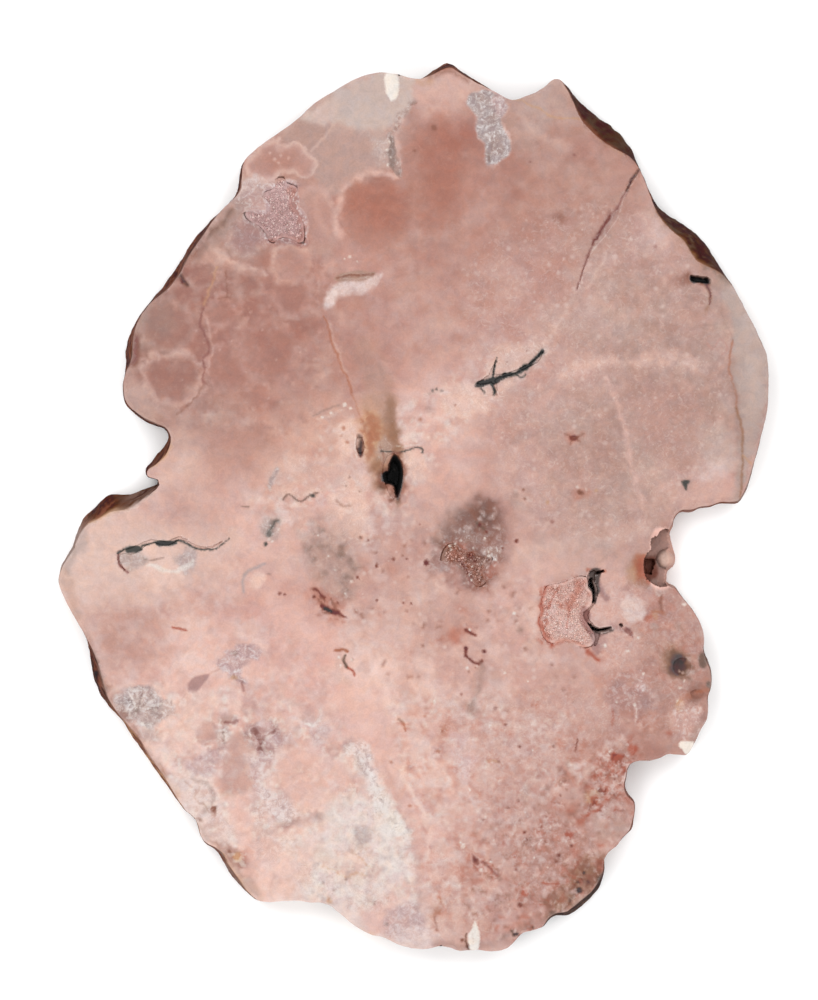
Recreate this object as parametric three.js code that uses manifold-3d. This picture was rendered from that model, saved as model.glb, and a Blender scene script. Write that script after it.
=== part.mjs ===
// Pink amethyst slab: a slice sawn through a whole amethyst geode, polished on top, with its natural
// brown rind left around the edge. It lies on its sawn back.
// Units are millimetres. +Z is up, +Y runs along the slab's length, and the origin lies under the
// middle of the outline, on the surface that the slab rests on.
import * as THREE from 'three';
import { mergeVertices } from 'three/addons/utils/BufferGeometryUtils.js';
import Module from 'manifold-3d';

const wasm = await Module();
wasm.setup();

// ---- driving dimensions -----------------------------------------------------------------------
const THICKNESS = 18; // between the two sawn faces
const OUTLINE_STEP = 3.4; // spacing of the points along the outline
const RIM_STEP = 2; // spacing of the points around a hollow's rim
const CUTTER_RISE = 1; // how far a cutter stands out of the face that it cuts
const CRUST_GAP = 0.3; // between a hollow's walls and its crust of crystals
const CRUST_BED = 0.9; // thickness of the bed that a crust's crystals stand on

// ---- outline ----------------------------------------------------------------------------------
// Each point is [x, y, rind]: a point of the widest outline, and how far the polished face's edge
// lies inside it there. The points run clockwise, seen from above, from the north dome.
const NORTH_EDGE = [
  [-11.1, 145.1, 0.3], [-4.4, 144.2, 0.3], [-0.4, 143.2, 0.5], [2.6, 143.2, 0.7], [6.2, 145.6, 1.6],
  [9.2, 147.8, 2.2], [11.6, 148.7, 2.6], [13.6, 148.1, 2], [17.2, 144.9, 1.3], [22.2, 142.1, 1.3],
  [27.2, 138.9, 0.5], [31.9, 136.2, 0.5], [34.2, 135.8, 0.3], [37.6, 137.2, 0.3], [42.6, 139.2, 0.3],
  [45.6, 142.2, 0.3], [48.2, 143.6, 0.5], [50.2, 142.2, 1],
];
const NORTH_EAST_RIND = [
  [53.6, 138.4, 1.7], [55.9, 135.4, 2.7], [59.6, 132.2, 5], [63.9, 129.1, 6], [67.9, 126.1, 6.3],
  [71.2, 122.2, 5], [73.2, 119.1, 3], [74.9, 115.4, 1], [77.2, 110.6, 0.8], [79.9, 104.1, 1],
  [81.2, 101.1, 1.3], [83.6, 99.2, 2.7], [85.6, 97.8, 3.7], [88.9, 95.4, 4.3], [93.9, 92.4, 5.3],
  [97.2, 89.1, 6.3], [100.2, 85.1, 6.3], [102.6, 81.1, 3.3], [104.9, 77.1, 1],
];
const EAST_EDGE = [
  [108.2, 72.1, 0.7], [111.6, 65.4, 0.7], [114.6, 60.1, 0.7], [116.6, 54.8, 0.7], [118.1, 52.1, 0.5],
  [118.8, 45.4, 0.3], [118.8, 39.4, 0.3], [118.4, 31.8, 0.3], [116.8, 23.8, 0.7], [114.2, 13.8, 0.8],
  [111.9, 6.1, 1], [109.1, 1.2, 0.8], [106.6, 0.6, 0.7], [103.6, 1.1, 0.7], [100.2, -0.4, 0.8],
  [95.9, -0.7, 0.5], [92.2, -2.6, 1.3], [88.9, -1.8, 0.7], [87.9, -3.1, 0.7], [87.4, -6.6, 0.8],
  [85.8, -8.1, 0.8], [86.2, -10.4, 0.8], [87.2, -14.6, 0.8], [88.2, -17.9, 0.8], [86.8, -20.8, 0.8],
  [85, -22.1, 0.8], [84.8, -24.9, 0.8], [85.9, -26.5, 0.8], [87.6, -26.6, 0.7], [90.2, -30.4, 0.3],
  [93.6, -34.6, 0.3], [96.6, -39.9, 0.3], [97.6, -44.9, 0.5], [97.6, -48.9, 1], [99.2, -52.4, 1],
  [100.2, -56.2, 0.7], [100, -61.2, 1], [98.8, -63.9, 0.7], [98.7, -70.6, 0.5], [96.2, -74.9, 0.5],
  [93.6, -80.2, 0.3], [90.9, -83.7, 0.3],
];
const SOUTH_EAST_EDGE = [
  [85.9, -82.6, 0.3], [82.6, -84.2, 0.3], [80.2, -85.1, 0.3], [73.9, -85.5, 0.5], [72.1, -86.9, 0.7],
  [71.8, -89.6, 0.7], [70.7, -94.2, 0.7], [71.8, -96.2, 0.7], [73.8, -97.6, 0.5], [74.5, -100.6, 0.7],
  [73.9, -105.6, 1], [72.4, -109.8, 1], [69.4, -111.4, 0.7], [68.1, -113.8, 0.3], [64.4, -116.2, 0.3],
  [64, -118.2, 0.5], [64.4, -120.9, 0.8], [63.1, -126.2, 1.7], [60.6, -130.2, 2], [56.6, -133.6, 2.2],
  [51.9, -137.2, 2], [48.6, -137.1, 1.7], [45.8, -138.2, 1.3], [43.6, -141.2, 1], [38.9, -142.4, 0.7],
  [35.6, -143.4, 0.7], [34.5, -145.2, 0.5], [31.6, -147.7, 0.3],
];
const SOUTH_EDGE = [
  [27.2, -148.8, 0.3], [20.6, -148.2, 0.3], [14.9, -148.8, 0.5], [10.9, -147.4, 0.7], [8.2, -147.1, 0.5],
  [4.6, -148.2, 0.5], [-3.4, -147.3, 0.5], [-7.4, -145.6, 0.5], [-9.8, -144.1, 0.3],
  [-14.1, -143.2, 0.3], [-19.4, -140.4, 0.3], [-24.1, -136.6, 0.3], [-29.4, -132.5, 0.3],
  [-33.4, -132.6, 0.3], [-38.4, -131.8, 0.3], [-45.4, -132.3, 0.5], [-50.8, -132.6, 0.7],
  [-54.8, -130.4, 1],
];
const SOUTH_WEST_EDGE = [
  [-59.1, -125.9, 1.7], [-63.4, -120.2, 2], [-65.4, -115.8, 1.7], [-67.8, -114, 1], [-70.6, -112.4, 1],
  [-71.9, -108.9, 0.7], [-72.6, -105.1, 0.7], [-75.4, -103, 0.7], [-79.1, -98.6, 1],
  [-84.4, -91.1, 1.7], [-88.8, -84.9, 1.7], [-94.1, -77.2, 2.2], [-97.1, -72.6, 1.3],
  [-102.4, -66.4, 1.7], [-105.8, -61.6, 3], [-107.4, -56.2, 3.3], [-108.3, -49.6, 2],
  [-109.8, -43.9, 0.7], [-114.1, -36.1, 0.5], [-117.6, -29.2, 0.5], [-119, -24.9, 0.7],
  [-117.6, -18.9, 1], [-114.9, -14.8, 1.3],
];
const WEST_SHOULDER_RIND = [
  [-112.8, -9.6, 1.3], [-110.9, -4.6, 2.7], [-107.1, -0.6, 4.3], [-103.4, 2.8, 5.3], [-100.4, 4.3, 6],
  [-96.1, 4, 5], [-90.4, 5.6, 3], [-85.8, 7.4, 1.3], [-83.9, 8.4, 0.5],
];
const WEST_EDGE = [
  [-85.8, 9, 0.5], [-88.8, 9.2, 0.5], [-90.3, 10.9, 0.7], [-89.4, 13.1, 1.7], [-85.1, 18.1, 2.7],
  [-82.4, 21.8, 1.7], [-81.8, 24.4, 0.7], [-83.2, 25.8, 0.8], [-88.1, 27.4, 1], [-92.8, 30.4, 1],
  [-96.2, 33.6, 0.8], [-97.4, 38.8, 0.7], [-97.1, 43.8, 0.7], [-96.1, 46.8, 1.3], [-96.6, 51.1, 3],
  [-95.4, 56.4, 2], [-92.4, 62.9, 1], [-87.8, 69.1, 1], [-83.4, 74.1, 2.3], [-80.1, 79.1, 2.7],
  [-75.4, 86.4, 2], [-71.8, 91.8, 2.3], [-68.4, 95.2, 1.3],
];
const NORTH_WEST_EDGE = [
  [-64.4, 99.1, 0.5], [-60.4, 102.9, 0.7], [-58.8, 106.4, 1.7], [-58.2, 112.1, 1], [-56.4, 116.2, 0.5],
  [-53.1, 119.2, 0.5], [-48.8, 122.5, 0.5], [-41.4, 127.6, 0.5], [-36.8, 131.4, 0.5],
  [-33.8, 134.4, 0.5], [-26.8, 138.8, 0.5], [-20.4, 142.6, 0.5], [-15.1, 144.4, 0.4],
];
const OUTLINE = [
  ...NORTH_EDGE, ...NORTH_EAST_RIND, ...EAST_EDGE, ...SOUTH_EAST_EDGE, ...SOUTH_EDGE,
  ...SOUTH_WEST_EDGE, ...WEST_SHOULDER_RIND, ...WEST_EDGE, ...NORTH_WEST_EDGE,
];

// The wall, from the back face up. height is a share of the thickness, rind is the share of the rind's
// width by which the wall steps in, undercut is a further step in millimetres, and rough is how deep
// the rind's bumps go there. The wall is widest where all three are zero.
const WALL_PROFILE = [
  { height: 0, rind: 0.2, undercut: 1.5, rough: 0.6 },
  { height: 0.07, rind: 0.1, undercut: 0.9, rough: 0.9 },
  { height: 0.18, rind: 0.03, undercut: 0.3, rough: 0.6 },
  { height: 0.32, rind: 0, undercut: 0, rough: 0 },
  { height: 0.52, rind: 0.17, undercut: 0.1, rough: 0.7 },
  { height: 0.74, rind: 0.5, undercut: 0, rough: 0.8 },
  { height: 0.93, rind: 0.9, undercut: 0, rough: 0.3 },
  { height: 1, rind: 1, undercut: 0.1, rough: 0 },
];

// ---- hollows, gaps and fissures ----------------------------------------------------------------
// A hollow's rim is a closed curve through [x, y] points on the polished face. depth is measured down
// from that face, and floor is the floor's width as a share of the rim's.
const AMETHYST_HOLLOW = {
  rim: [
    [-42.4, 108.3], [-38.4, 106.6], [-40.9, 101.1], [-38.8, 98.4], [-36.5, 93.9], [-36.5, 87.1],
    [-40.8, 89.2], [-44.8, 89.2], [-47.3, 87.1], [-48.8, 90.1], [-51.8, 93.8], [-55.6, 95.6],
    [-56.8, 98.1], [-53.4, 97.8], [-49.5, 97.2], [-47.6, 99.1], [-48.1, 101.6], [-50.1, 103],
    [-49.5, 104.9], [-46.2, 106.1], [-45.7, 109.6], [-43.4, 110.4],
  ],
  depth: 5,
  floor: 0.86,
};
const SMOKY_HOLLOW = {
  rim: [
    [8.9, -17.9], [9.9, -14.2], [12.2, -12.2], [14.9, -12.9], [17.6, -15.2], [20.2, -14.6],
    [22.9, -16.6], [25.6, -16.2], [26.9, -17.9], [24.6, -19.9], [23.6, -22.6], [24.6, -25.2],
    [22.2, -27.2], [19.9, -25.6], [17.9, -22.9], [15.6, -19.9], [12.9, -18.2], [10.9, -18.6],
  ],
  depth: 3.6,
  floor: 0.84,
};
const EAST_HOLLOW = {
  rim: [
    [44.4, -26.5], [48.3, -25.8], [51.9, -24.6], [55.9, -23.1], [58.1, -23.6], [57.6, -26.2],
    [59.2, -28.3], [59.2, -32.3], [56, -35.2], [56.6, -38.1], [58.8, -41.3], [60.6, -44.6],
    [59.2, -47.1], [54.5, -46.4], [51.2, -44.9], [45.4, -45.7], [42.9, -42.8], [42.2, -37.7],
    [42.9, -31.9],
  ],
  depth: 4.2,
  floor: 0.9,
};
const BARE_HOLLOWS = [
  { // the deep black hollow in the middle
    rim: [
      [-8.4, 17.1], [-6.4, 17.8], [-4.4, 16.1], [-3.4, 12.8], [-3.8, 8.1], [-4.8, 4.1], [-5.8, 2.1],
      [-7.4, 3.1], [-8.8, 6.1], [-10.1, 9.4], [-10.1, 13.4],
    ],
    depth: 14,
    floor: 0.6,
  },
  { // the small slot beside it
    rim: [[-18.8, 23.1], [-17.4, 23.4], [-16.4, 20.8], [-16.4, 18.1], [-17.8, 17.1], [-19.1, 19.4]],
    depth: 4,
    floor: 0.5,
  },
  { // the eye-shaped slit in the north
    rim: [
      [-26.4, 75.4], [-23.1, 77.4], [-18.8, 78.8], [-15.1, 78.1], [-12.4, 77.8], [-15.8, 76.6],
      [-20.4, 75.4], [-23.8, 74.1],
    ],
    depth: 2.5,
    floor: 0.5,
  },
  { // the black hollow near the north-east rind
    rim: [[92.3, 77.1], [94.6, 77.4], [98.3, 76.4], [98.3, 74.1], [95.6, 74.6], [92.6, 75.1]],
    depth: 9,
    floor: 0.7,
  },
  { // the brown recess on the east side
    rim: [[92.3, -61.9], [95.6, -60.9], [97.9, -61.6], [97.6, -63.6], [96.2, -65.3], [93.6, -64.6]],
    depth: 2.5,
    floor: 0.8,
  },
  { // the brown corner of the east bay
    rim: [[77.5, -17.5], [81.1, -17.6], [80.6, -20.3], [79.4, -23.6], [77.8, -22.6]],
    depth: 13,
    floor: 0.8,
  },
];
const ROUND_HOLLOW = { centre: [89.6, -53.6], radius: 3.1, floorRadius: 1.5, depth: 10, sides: 18 };

// The east bay is a step in the wall: a shelf lower than the polished face, with a round knob on it.
const BAY = {
  rim: [
    [85.9, -7.6], [82.6, -7.9], [81.6, -9.9], [78.9, -11.2], [79.6, -13.9], [78.2, -15.6],
    [77.2, -17.2], [77.2, -22.9], [79.6, -25.6], [82.2, -26.9], [85.9, -26.6], [92, -26.6], [92, -7.6],
  ],
  depth: 9,
};
const KNOB = { centre: [84.6, -17.6], radius: 3.1, rise: 1.2 };

// A fissure follows a path of [x, y, half width] points.
const THROUGH_GAPS = [
  [[59.3, -24.4, 0.6], [59.1, -25.8, 1.4], [60.2, -28.1, 1], [60.2, -31, 0.6], [59.7, -32, 0.3]],
  [[58.2, -39.6, 0.5], [60.2, -41, 1.2], [62.8, -41.3, 0.7], [65.2, -40.7, 0.9], [66.2, -40.3, 0.4]],
];
const FISSURES = [
  { // the curved gap around the east lumps, which the two through gaps open
    path: [
      [59.7, -21.8, 0.7], [59.2, -24, 1.3], [59.2, -26.1, 1.6], [60.6, -28.3, 1.2], [60.3, -30.9, 0.8],
      [59.3, -33, 0.6], [57.7, -34.8, 1.1], [57, -37, 1.3], [58.4, -39.5, 1.3], [60.3, -41.2, 1.2],
      [62.8, -41.3, 0.7], [65.7, -40.6, 0.8],
    ],
    depth: 11,
  },
  { path: [[59.7, -21.9, 0.6], [61.5, -22.2, 0.6], [63.6, -21.4, 0.4]], depth: 5 },
  { path: [[61.2, -41.6, 1.2], [61, -44, 0.9], [60.6, -46.5, 0.3]], depth: 5 },
  { path: [[68.8, -39.2, 0.5], [71, -41, 0.9], [72.5, -43.3, 0.3]], depth: 3 },
  { // the green-black fissure in the middle, with its two branches
    path: [
      [43, 51.5, 0.3], [41.4, 48.8, 0.7], [37.5, 46.5, 0.45], [31.9, 44.1, 0.5], [27.7, 43.2, 0.7],
      [25.8, 42.7, 1.4], [23.6, 41.6, 0.9], [21.4, 41, 0.3],
    ],
    depth: 4,
  },
  { path: [[25.8, 43, 0.9], [26.4, 45.5, 0.4], [27.7, 48.8, 0.15]], depth: 3 },
  { path: [[26.2, 42.2, 0.8], [27.6, 39.8, 0.5], [27.5, 37.1, 0.15]], depth: 3 },
  { // the green-black fissure in the west
    path: [
      [-63.4, -11.6, 0.15], [-68.1, -13.9, 0.3], [-72.8, -13.2, 0.3], [-77.8, -10.6, 0.5],
      [-81.9, -12.4, 0.8], [-87.8, -11.6, 0.5], [-90.4, -13.2, 0.9], [-93.6, -14.9, 1.3],
      [-97.4, -15.4, 0.4], [-98.4, -17.9, 0.35], [-96.2, -21.2, 0.15],
    ],
    depth: 3,
  },
  { // the jagged fissure that runs in from the north-east rind
    path: [
      [74.6, 110.4, 0.2], [70, 103.8, 0.3], [67.6, 96.8, 0.6], [62.9, 90.4, 0.9], [59.2, 85.1, 0.3],
      [54.6, 72.4, 0.1],
    ],
    depth: 1.5,
  },
  { path: [[98, 74, 0.5], [98.6, 70.5, 0.6], [98.3, 67.4, 0.3]], depth: 2 },
];

// ---- finishes -----------------------------------------------------------------------------------
const finish = (color, roughness) => new THREE.MeshStandardMaterial({ color, roughness, metalness: 0 });
const POLISHED_PINK = finish(0xc9a094, 0.2);
const AMETHYST_DRUSE = finish(0xa892a4, 0.3);
const SMOKY_DRUSE = finish(0x8d7468, 0.3);
const RUSTY_DRUSE = finish(0xbd8675, 0.4);

// ---- small helpers ------------------------------------------------------------------------------
// A repeatable stream of numbers from 0 to 1 (mulberry32).
function randomStream(seed) {
  let state = seed;
  return () => {
    state = (state + 0x6d2b79f5) | 0;
    let mixed = Math.imul(state ^ (state >>> 15), 1 | state);
    mixed = (mixed + Math.imul(mixed ^ (mixed >>> 7), 61 | mixed)) ^ mixed;
    return ((mixed ^ (mixed >>> 14)) >>> 0) / 4294967296;
  };
}

// Points at even spacing along a smooth curve. A third number given with each point is carried along.
function smoothCurve(points, step, closed) {
  const knots = points.map(([x, y, carried = 0]) => new THREE.Vector3(x, y, carried));
  const curve = new THREE.CatmullRomCurve3(knots, closed, 'centripetal');
  const count = Math.max(3, Math.round(curve.getLength() / step));
  const spaced = curve.getSpacedPoints(count);
  return closed ? spaced.slice(0, count) : spaced;
}

// A closed solid through stacked rings of Vector3, listed from the lowest up, each ring running
// anticlockwise seen from above.
function loft(rings) {
  const count = rings[0].length;
  const triangles = [];
  const capFaces = (ring) => THREE.ShapeUtils.triangulateShape(ring, []);
  for (const [a, b, c] of capFaces(rings[0])) triangles.push(a, c, b);
  for (let level = 1; level < rings.length; level += 1) {
    const upper = level * count;
    const lower = upper - count;
    for (let i = 0; i < count; i += 1) {
      const next = (i + 1) % count;
      triangles.push(lower + i, lower + next, upper + next);
      triangles.push(lower + i, upper + next, upper + i);
    }
  }
  const top = (rings.length - 1) * count;
  for (const [a, b, c] of capFaces(rings.at(-1))) triangles.push(top + a, top + b, top + c);
  const geometry = new THREE.BufferGeometry();
  const positions = rings.flat().flatMap((point) => point.toArray());
  geometry.setAttribute('position', new THREE.Float32BufferAttribute(positions, 3));
  geometry.setIndex(triangles);
  return geometry;
}

function toSolid(geometry) {
  const bare = geometry.clone();
  bare.deleteAttribute('normal');
  bare.deleteAttribute('uv');
  const welded = mergeVertices(bare, 1e-4);
  return new wasm.Manifold(new wasm.Mesh({
    numProp: 3,
    vertProperties: new Float32Array(welded.attributes.position.array),
    triVerts: new Uint32Array(welded.index.array),
  }));
}

function toMesh(solid, name, material) {
  const { vertProperties, triVerts } = solid.getMesh();
  const geometry = new THREE.BufferGeometry();
  geometry.setAttribute('position', new THREE.Float32BufferAttribute(vertProperties, 3));
  geometry.setIndex(Array.from(triVerts));
  geometry.computeVertexNormals();
  const mesh = new THREE.Mesh(geometry, material);
  mesh.name = name;
  return mesh;
}

const joinAll = (solids) => solids.reduce((sum, solid) => sum.add(solid));

// The largest closed skin of a solid, without chips that lie loose and without sealed voids.
function mainSkin(solid) {
  return solid.decompose().reduce((largest, piece) => (piece.volume() > largest.volume() ? piece : largest));
}

const anticlockwise = (ring) => (THREE.ShapeUtils.area(ring) < 0 ? [...ring].reverse() : ring);

// ---- the slab's body ----------------------------------------------------------------------------
// How far the rind's bumps reach at a share of the way around, from 0 to 1: slow swells with finer
// ones on them, different at each level of the wall.
function rindBumps(share, level) {
  const turn = share * 2 * Math.PI;
  const swell = Math.sin(turn * 23 + level * 2.1) + Math.sin(turn * 41 + level * 3.7);
  const fine = Math.sin(turn * 67 + level * 5.3) + 0.7 * Math.sin(turn * 113 + level * 7.9);
  return 0.5 + (swell + fine) / 7.4;
}

// Unit vectors into the slab at each point of its outline, averaged over the neighbours so that the
// wall doesn't cross itself in tight bends.
function inwardDirections(ring, reach) {
  const count = ring.length;
  return ring.map((_, i) => {
    const before = ring[(i - reach + count) % count];
    const after = ring[(i + reach) % count];
    return new THREE.Vector2(before.y - after.y, after.x - before.x).normalize();
  });
}

function slabBody() {
  const outline = anticlockwise(smoothCurve(OUTLINE, OUTLINE_STEP, true));
  const inward = inwardDirections(outline, 2);
  const rings = WALL_PROFILE.map(({ height, rind, undercut, rough }, level) =>
    outline.map((point, i) => {
      const inset = rind * point.z + undercut + rough * rindBumps(i / outline.length, level);
      return new THREE.Vector3(
        point.x + inset * inward[i].x,
        point.y + inset * inward[i].y,
        height * THICKNESS,
      );
    }));
  return toSolid(loft(rings));
}

// ---- cutters ------------------------------------------------------------------------------------
// A hollow's space from its floor up, smaller all around by the gap. It narrows evenly toward the floor,
// and one with no gap stands out of the polished face, to cut it.
function hollowSpace({ rim, depth, floor }, gap) {
  const ring = anticlockwise(smoothCurve(rim, RIM_STEP, true));
  const middle = ring.reduce((sum, p) => sum.add(p), new THREE.Vector3()).divideScalar(ring.length);
  const inward = inwardDirections(ring, 1);
  const ringAt = (share, height) => ring.map((point, i) => {
    const scale = 1 + (floor - 1) * share;
    return new THREE.Vector3(
      middle.x + (point.x - middle.x) * scale + gap * inward[i].x,
      middle.y + (point.y - middle.y) * scale + gap * inward[i].y,
      height,
    );
  });
  const rings = [1 - gap / depth, 0.45, gap / depth].map((share) => ringAt(share, THICKNESS - share * depth));
  if (gap === 0) rings.push(ringAt(0, THICKNESS + CUTTER_RISE));
  return toSolid(loft(rings));
}

function roundHollow({ centre, radius, floorRadius, depth, sides }) {
  const ringAt = (r, height) => Array.from({ length: sides }, (_, i) => {
    const angle = (2 * Math.PI * i) / sides;
    return new THREE.Vector3(centre[0] + r * Math.cos(angle), centre[1] + r * Math.sin(angle), height);
  });
  const waist = (radius + floorRadius) / 2 - 0.3;
  return toSolid(loft([
    ringAt(floorRadius, THICKNESS - depth),
    ringAt(waist, THICKNESS - 0.35 * depth),
    ringAt(radius, THICKNESS),
    ringAt(radius, THICKNESS + CUTTER_RISE),
  ]));
}

// The outline of a band along a path of [x, y, half width] points, and the same band narrowed.
function bandOutline(path, widthShare) {
  const line = smoothCurve(path, RIM_STEP, false);
  const sides = line.map((point, i) => {
    const before = line[Math.max(i - 1, 0)];
    const after = line[Math.min(i + 1, line.length - 1)];
    const across = new THREE.Vector2(before.y - after.y, after.x - before.x).normalize();
    const half = Math.max(point.z, 0.08) * widthShare;
    return {
      left: across.clone().multiplyScalar(half).add(point),
      right: across.clone().multiplyScalar(-half).add(point),
    };
  });
  return [...sides.map(({ right }) => right), ...sides.reverse().map(({ left }) => left)];
}

// A wedge-shaped cut along a path, or a straight one right through where depth passes the thickness.
function fissureCutter(path, depth) {
  const through = depth > THICKNESS;
  const at = (outline, height) => outline.map((p) => new THREE.Vector3(p.x, p.y, height));
  return toSolid(loft([
    at(bandOutline(path, through ? 1 : 0.25), THICKNESS - depth),
    at(bandOutline(path, 1), THICKNESS),
    at(bandOutline(path, 1), THICKNESS + CUTTER_RISE),
  ]));
}

function bayCutter() {
  const ring = anticlockwise(smoothCurve(BAY.rim, RIM_STEP, true));
  const at = (height) => ring.map((p) => new THREE.Vector3(p.x, p.y, height));
  return toSolid(loft([at(THICKNESS - BAY.depth), at(THICKNESS + CUTTER_RISE)]));
}

function bayKnob() {
  const ball = new THREE.SphereGeometry(KNOB.radius, 12, 8);
  ball.translate(KNOB.centre[0], KNOB.centre[1], THICKNESS - BAY.depth + KNOB.rise);
  return toSolid(ball);
}

function slab() {
  const hollows = [AMETHYST_HOLLOW, SMOKY_HOLLOW, EAST_HOLLOW, ...BARE_HOLLOWS];
  const cutters = [
    ...hollows.map((hollow) => hollowSpace(hollow, 0)),
    roundHollow(ROUND_HOLLOW),
    ...FISSURES.map(({ path, depth }) => fissureCutter(path, depth)),
    ...THROUGH_GAPS.map((path) => fissureCutter(path, THICKNESS + CUTTER_RISE)),
    bayCutter(),
  ];
  const solid = slabBody().subtract(joinAll(cutters)).add(bayKnob());
  return toMesh(mainSkin(solid), 'slab', POLISHED_PINK);
}

// ---- crusts of crystals -------------------------------------------------------------------------
// One six-sided crystal with a pointed end, its foot at the origin and its point along the direction.
function crystal(foot, direction, radius, length) {
  const shoulder = length - 1.1 * radius;
  const profile = [
    new THREE.Vector2(0, 0),
    new THREE.Vector2(radius, 0),
    new THREE.Vector2(radius * 0.94, shoulder),
    new THREE.Vector2(0, length),
  ];
  const geometry = new THREE.LatheGeometry(profile, 6);
  geometry.applyQuaternion(new THREE.Quaternion().setFromUnitVectors(new THREE.Vector3(0, 1, 0), direction));
  geometry.translate(foot.x, foot.y, foot.z);
  return toSolid(geometry);
}

function insideRing(ring, x, y) {
  let inside = false;
  ring.forEach((a, i) => {
    const b = ring[(i + 1) % ring.length];
    if (a.y > y !== b.y > y && x < a.x + ((y - a.y) / (b.y - a.y)) * (b.x - a.x)) inside = !inside;
  });
  return inside;
}

// Crystals at random places on a hollow's floor, joined by the bed that they stand on and kept clear
// of the hollow's walls and of the polished face.
function crystalCrust(name, hollow, material, { count, radius, length, lean, seed }) {
  const random = randomStream(seed);
  const space = hollowSpace(hollow, CRUST_GAP);
  const ring = anticlockwise(smoothCurve(hollow.rim, RIM_STEP, true));
  const box = new THREE.Box2().setFromPoints(ring.map((p) => new THREE.Vector2(p.x, p.y)));
  const between = (low, high) => low + (high - low) * random();
  const floorHeight = THICKNESS - hollow.depth + CRUST_GAP;
  const bedTop = floorHeight + CRUST_BED;
  const slice = [0, bedTop].map((height) =>
    [[box.min.x, box.min.y], [box.max.x, box.min.y], [box.max.x, box.max.y], [box.min.x, box.max.y]]
      .map(([x, y]) => new THREE.Vector3(x, y, height)));
  const bed = space.intersect(toSolid(loft(slice)));
  const crystals = [];
  while (crystals.length < count) {
    const x = between(box.min.x, box.max.x);
    const y = between(box.min.y, box.max.y);
    if (!insideRing(ring, x, y)) continue;
    const direction = new THREE.Vector3(between(-lean, lean), between(-lean, lean), 1).normalize();
    const size = between(0.6, 1);
    crystals.push(crystal(new THREE.Vector3(x, y, floorHeight + 0.2), direction, radius * size, length * size));
  }
  const solid = bed.add(space.intersect(joinAll(crystals)));
  return toMesh(mainSkin(solid), name, material);
}

// ---- the whole part -----------------------------------------------------------------------------
const part = new THREE.Group();
part.add(slab());
part.add(crystalCrust('amethyst_crystals', AMETHYST_HOLLOW, AMETHYST_DRUSE,
  { count: 25, radius: 1.6, length: 4.2, lean: 0.45, seed: 11 }));
part.add(crystalCrust('smoky_crystals', SMOKY_HOLLOW, SMOKY_DRUSE,
  { count: 16, radius: 1.3, length: 2.8, lean: 0.5, seed: 23 }));
part.add(crystalCrust('east_hollow_crystals', EAST_HOLLOW, RUSTY_DRUSE,
  { count: 20, radius: 1.9, length: 3.2, lean: 0.25, seed: 37 }));

export default part;
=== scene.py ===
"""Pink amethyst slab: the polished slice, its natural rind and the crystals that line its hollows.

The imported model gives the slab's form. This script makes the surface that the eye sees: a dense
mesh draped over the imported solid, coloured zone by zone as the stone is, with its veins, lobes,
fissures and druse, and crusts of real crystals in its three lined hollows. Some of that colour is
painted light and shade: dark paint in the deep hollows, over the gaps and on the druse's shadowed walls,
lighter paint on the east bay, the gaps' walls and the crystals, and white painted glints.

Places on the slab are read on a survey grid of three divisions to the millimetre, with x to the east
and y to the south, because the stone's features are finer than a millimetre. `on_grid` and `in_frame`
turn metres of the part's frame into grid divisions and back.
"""
from __future__ import annotations

import logging
import math
from dataclasses import dataclass, field
from enum import Enum, IntEnum
from typing import Any, Iterable, Sequence

import bpy
import numpy as np
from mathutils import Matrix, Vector
from mathutils.bvhtree import BVHTree
from mathutils.geometry import delaunay_2d_cdt
from mathutils.kdtree import KDTree


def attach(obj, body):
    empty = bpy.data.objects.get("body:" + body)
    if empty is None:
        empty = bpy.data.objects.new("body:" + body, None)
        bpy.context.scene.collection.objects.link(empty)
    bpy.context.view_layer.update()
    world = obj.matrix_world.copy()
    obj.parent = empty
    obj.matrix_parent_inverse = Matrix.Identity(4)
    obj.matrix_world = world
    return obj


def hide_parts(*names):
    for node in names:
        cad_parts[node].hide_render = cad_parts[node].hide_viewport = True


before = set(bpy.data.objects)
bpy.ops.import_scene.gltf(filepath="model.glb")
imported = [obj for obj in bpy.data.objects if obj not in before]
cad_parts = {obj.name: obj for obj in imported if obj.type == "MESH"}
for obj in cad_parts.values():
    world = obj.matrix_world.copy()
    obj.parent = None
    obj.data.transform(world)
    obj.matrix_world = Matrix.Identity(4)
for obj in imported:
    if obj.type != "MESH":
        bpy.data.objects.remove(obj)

LOG = logging.getLogger("amethyst_slab")

MM = 0.001
GRID = MM / 3  # one division of the survey grid
GRID_CENTRE = (413.25, 506.25)  # where the part's origin lies on the survey grid

CAST = (1.0, 0.957, 0.943)  # the studio light is a touch cooler than the light the colours are named in

SHARP_ANGLE = math.radians(48)  # edges that turn further than this look broken, not rounded

Point = tuple[float, float]
Array = np.ndarray


# ---- places and colours ---------------------------------------------------------------------------
def on_grid(x: Array, y: Array) -> tuple[Array, Array]:
    """Turn places in the part's frame into survey divisions.

    Args:
        x: distances to the east, in metres.
        y: distances to the north, in metres.

    Returns:
        The same places east and south on the survey grid.
    """
    return GRID_CENTRE[0] + x / GRID, GRID_CENTRE[1] - y / GRID


def in_frame(points: Iterable[Point]) -> Array:
    """Turn survey points into metres of the part's frame.

    Args:
        points: pairs of survey divisions.

    Returns:
        One row of x and y for each point.
    """
    grid = np.asarray(list(points), float)
    return np.column_stack(((grid[:, 0] - GRID_CENTRE[0]) * GRID, (GRID_CENTRE[1] - grid[:, 1]) * GRID))


def srgb(value: str) -> Array:
    """Read an sRGB hex value as three numbers from 0 to 1."""
    return np.array([int(value[i:i + 2], 16) for i in (1, 3, 5)]) / 255


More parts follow.
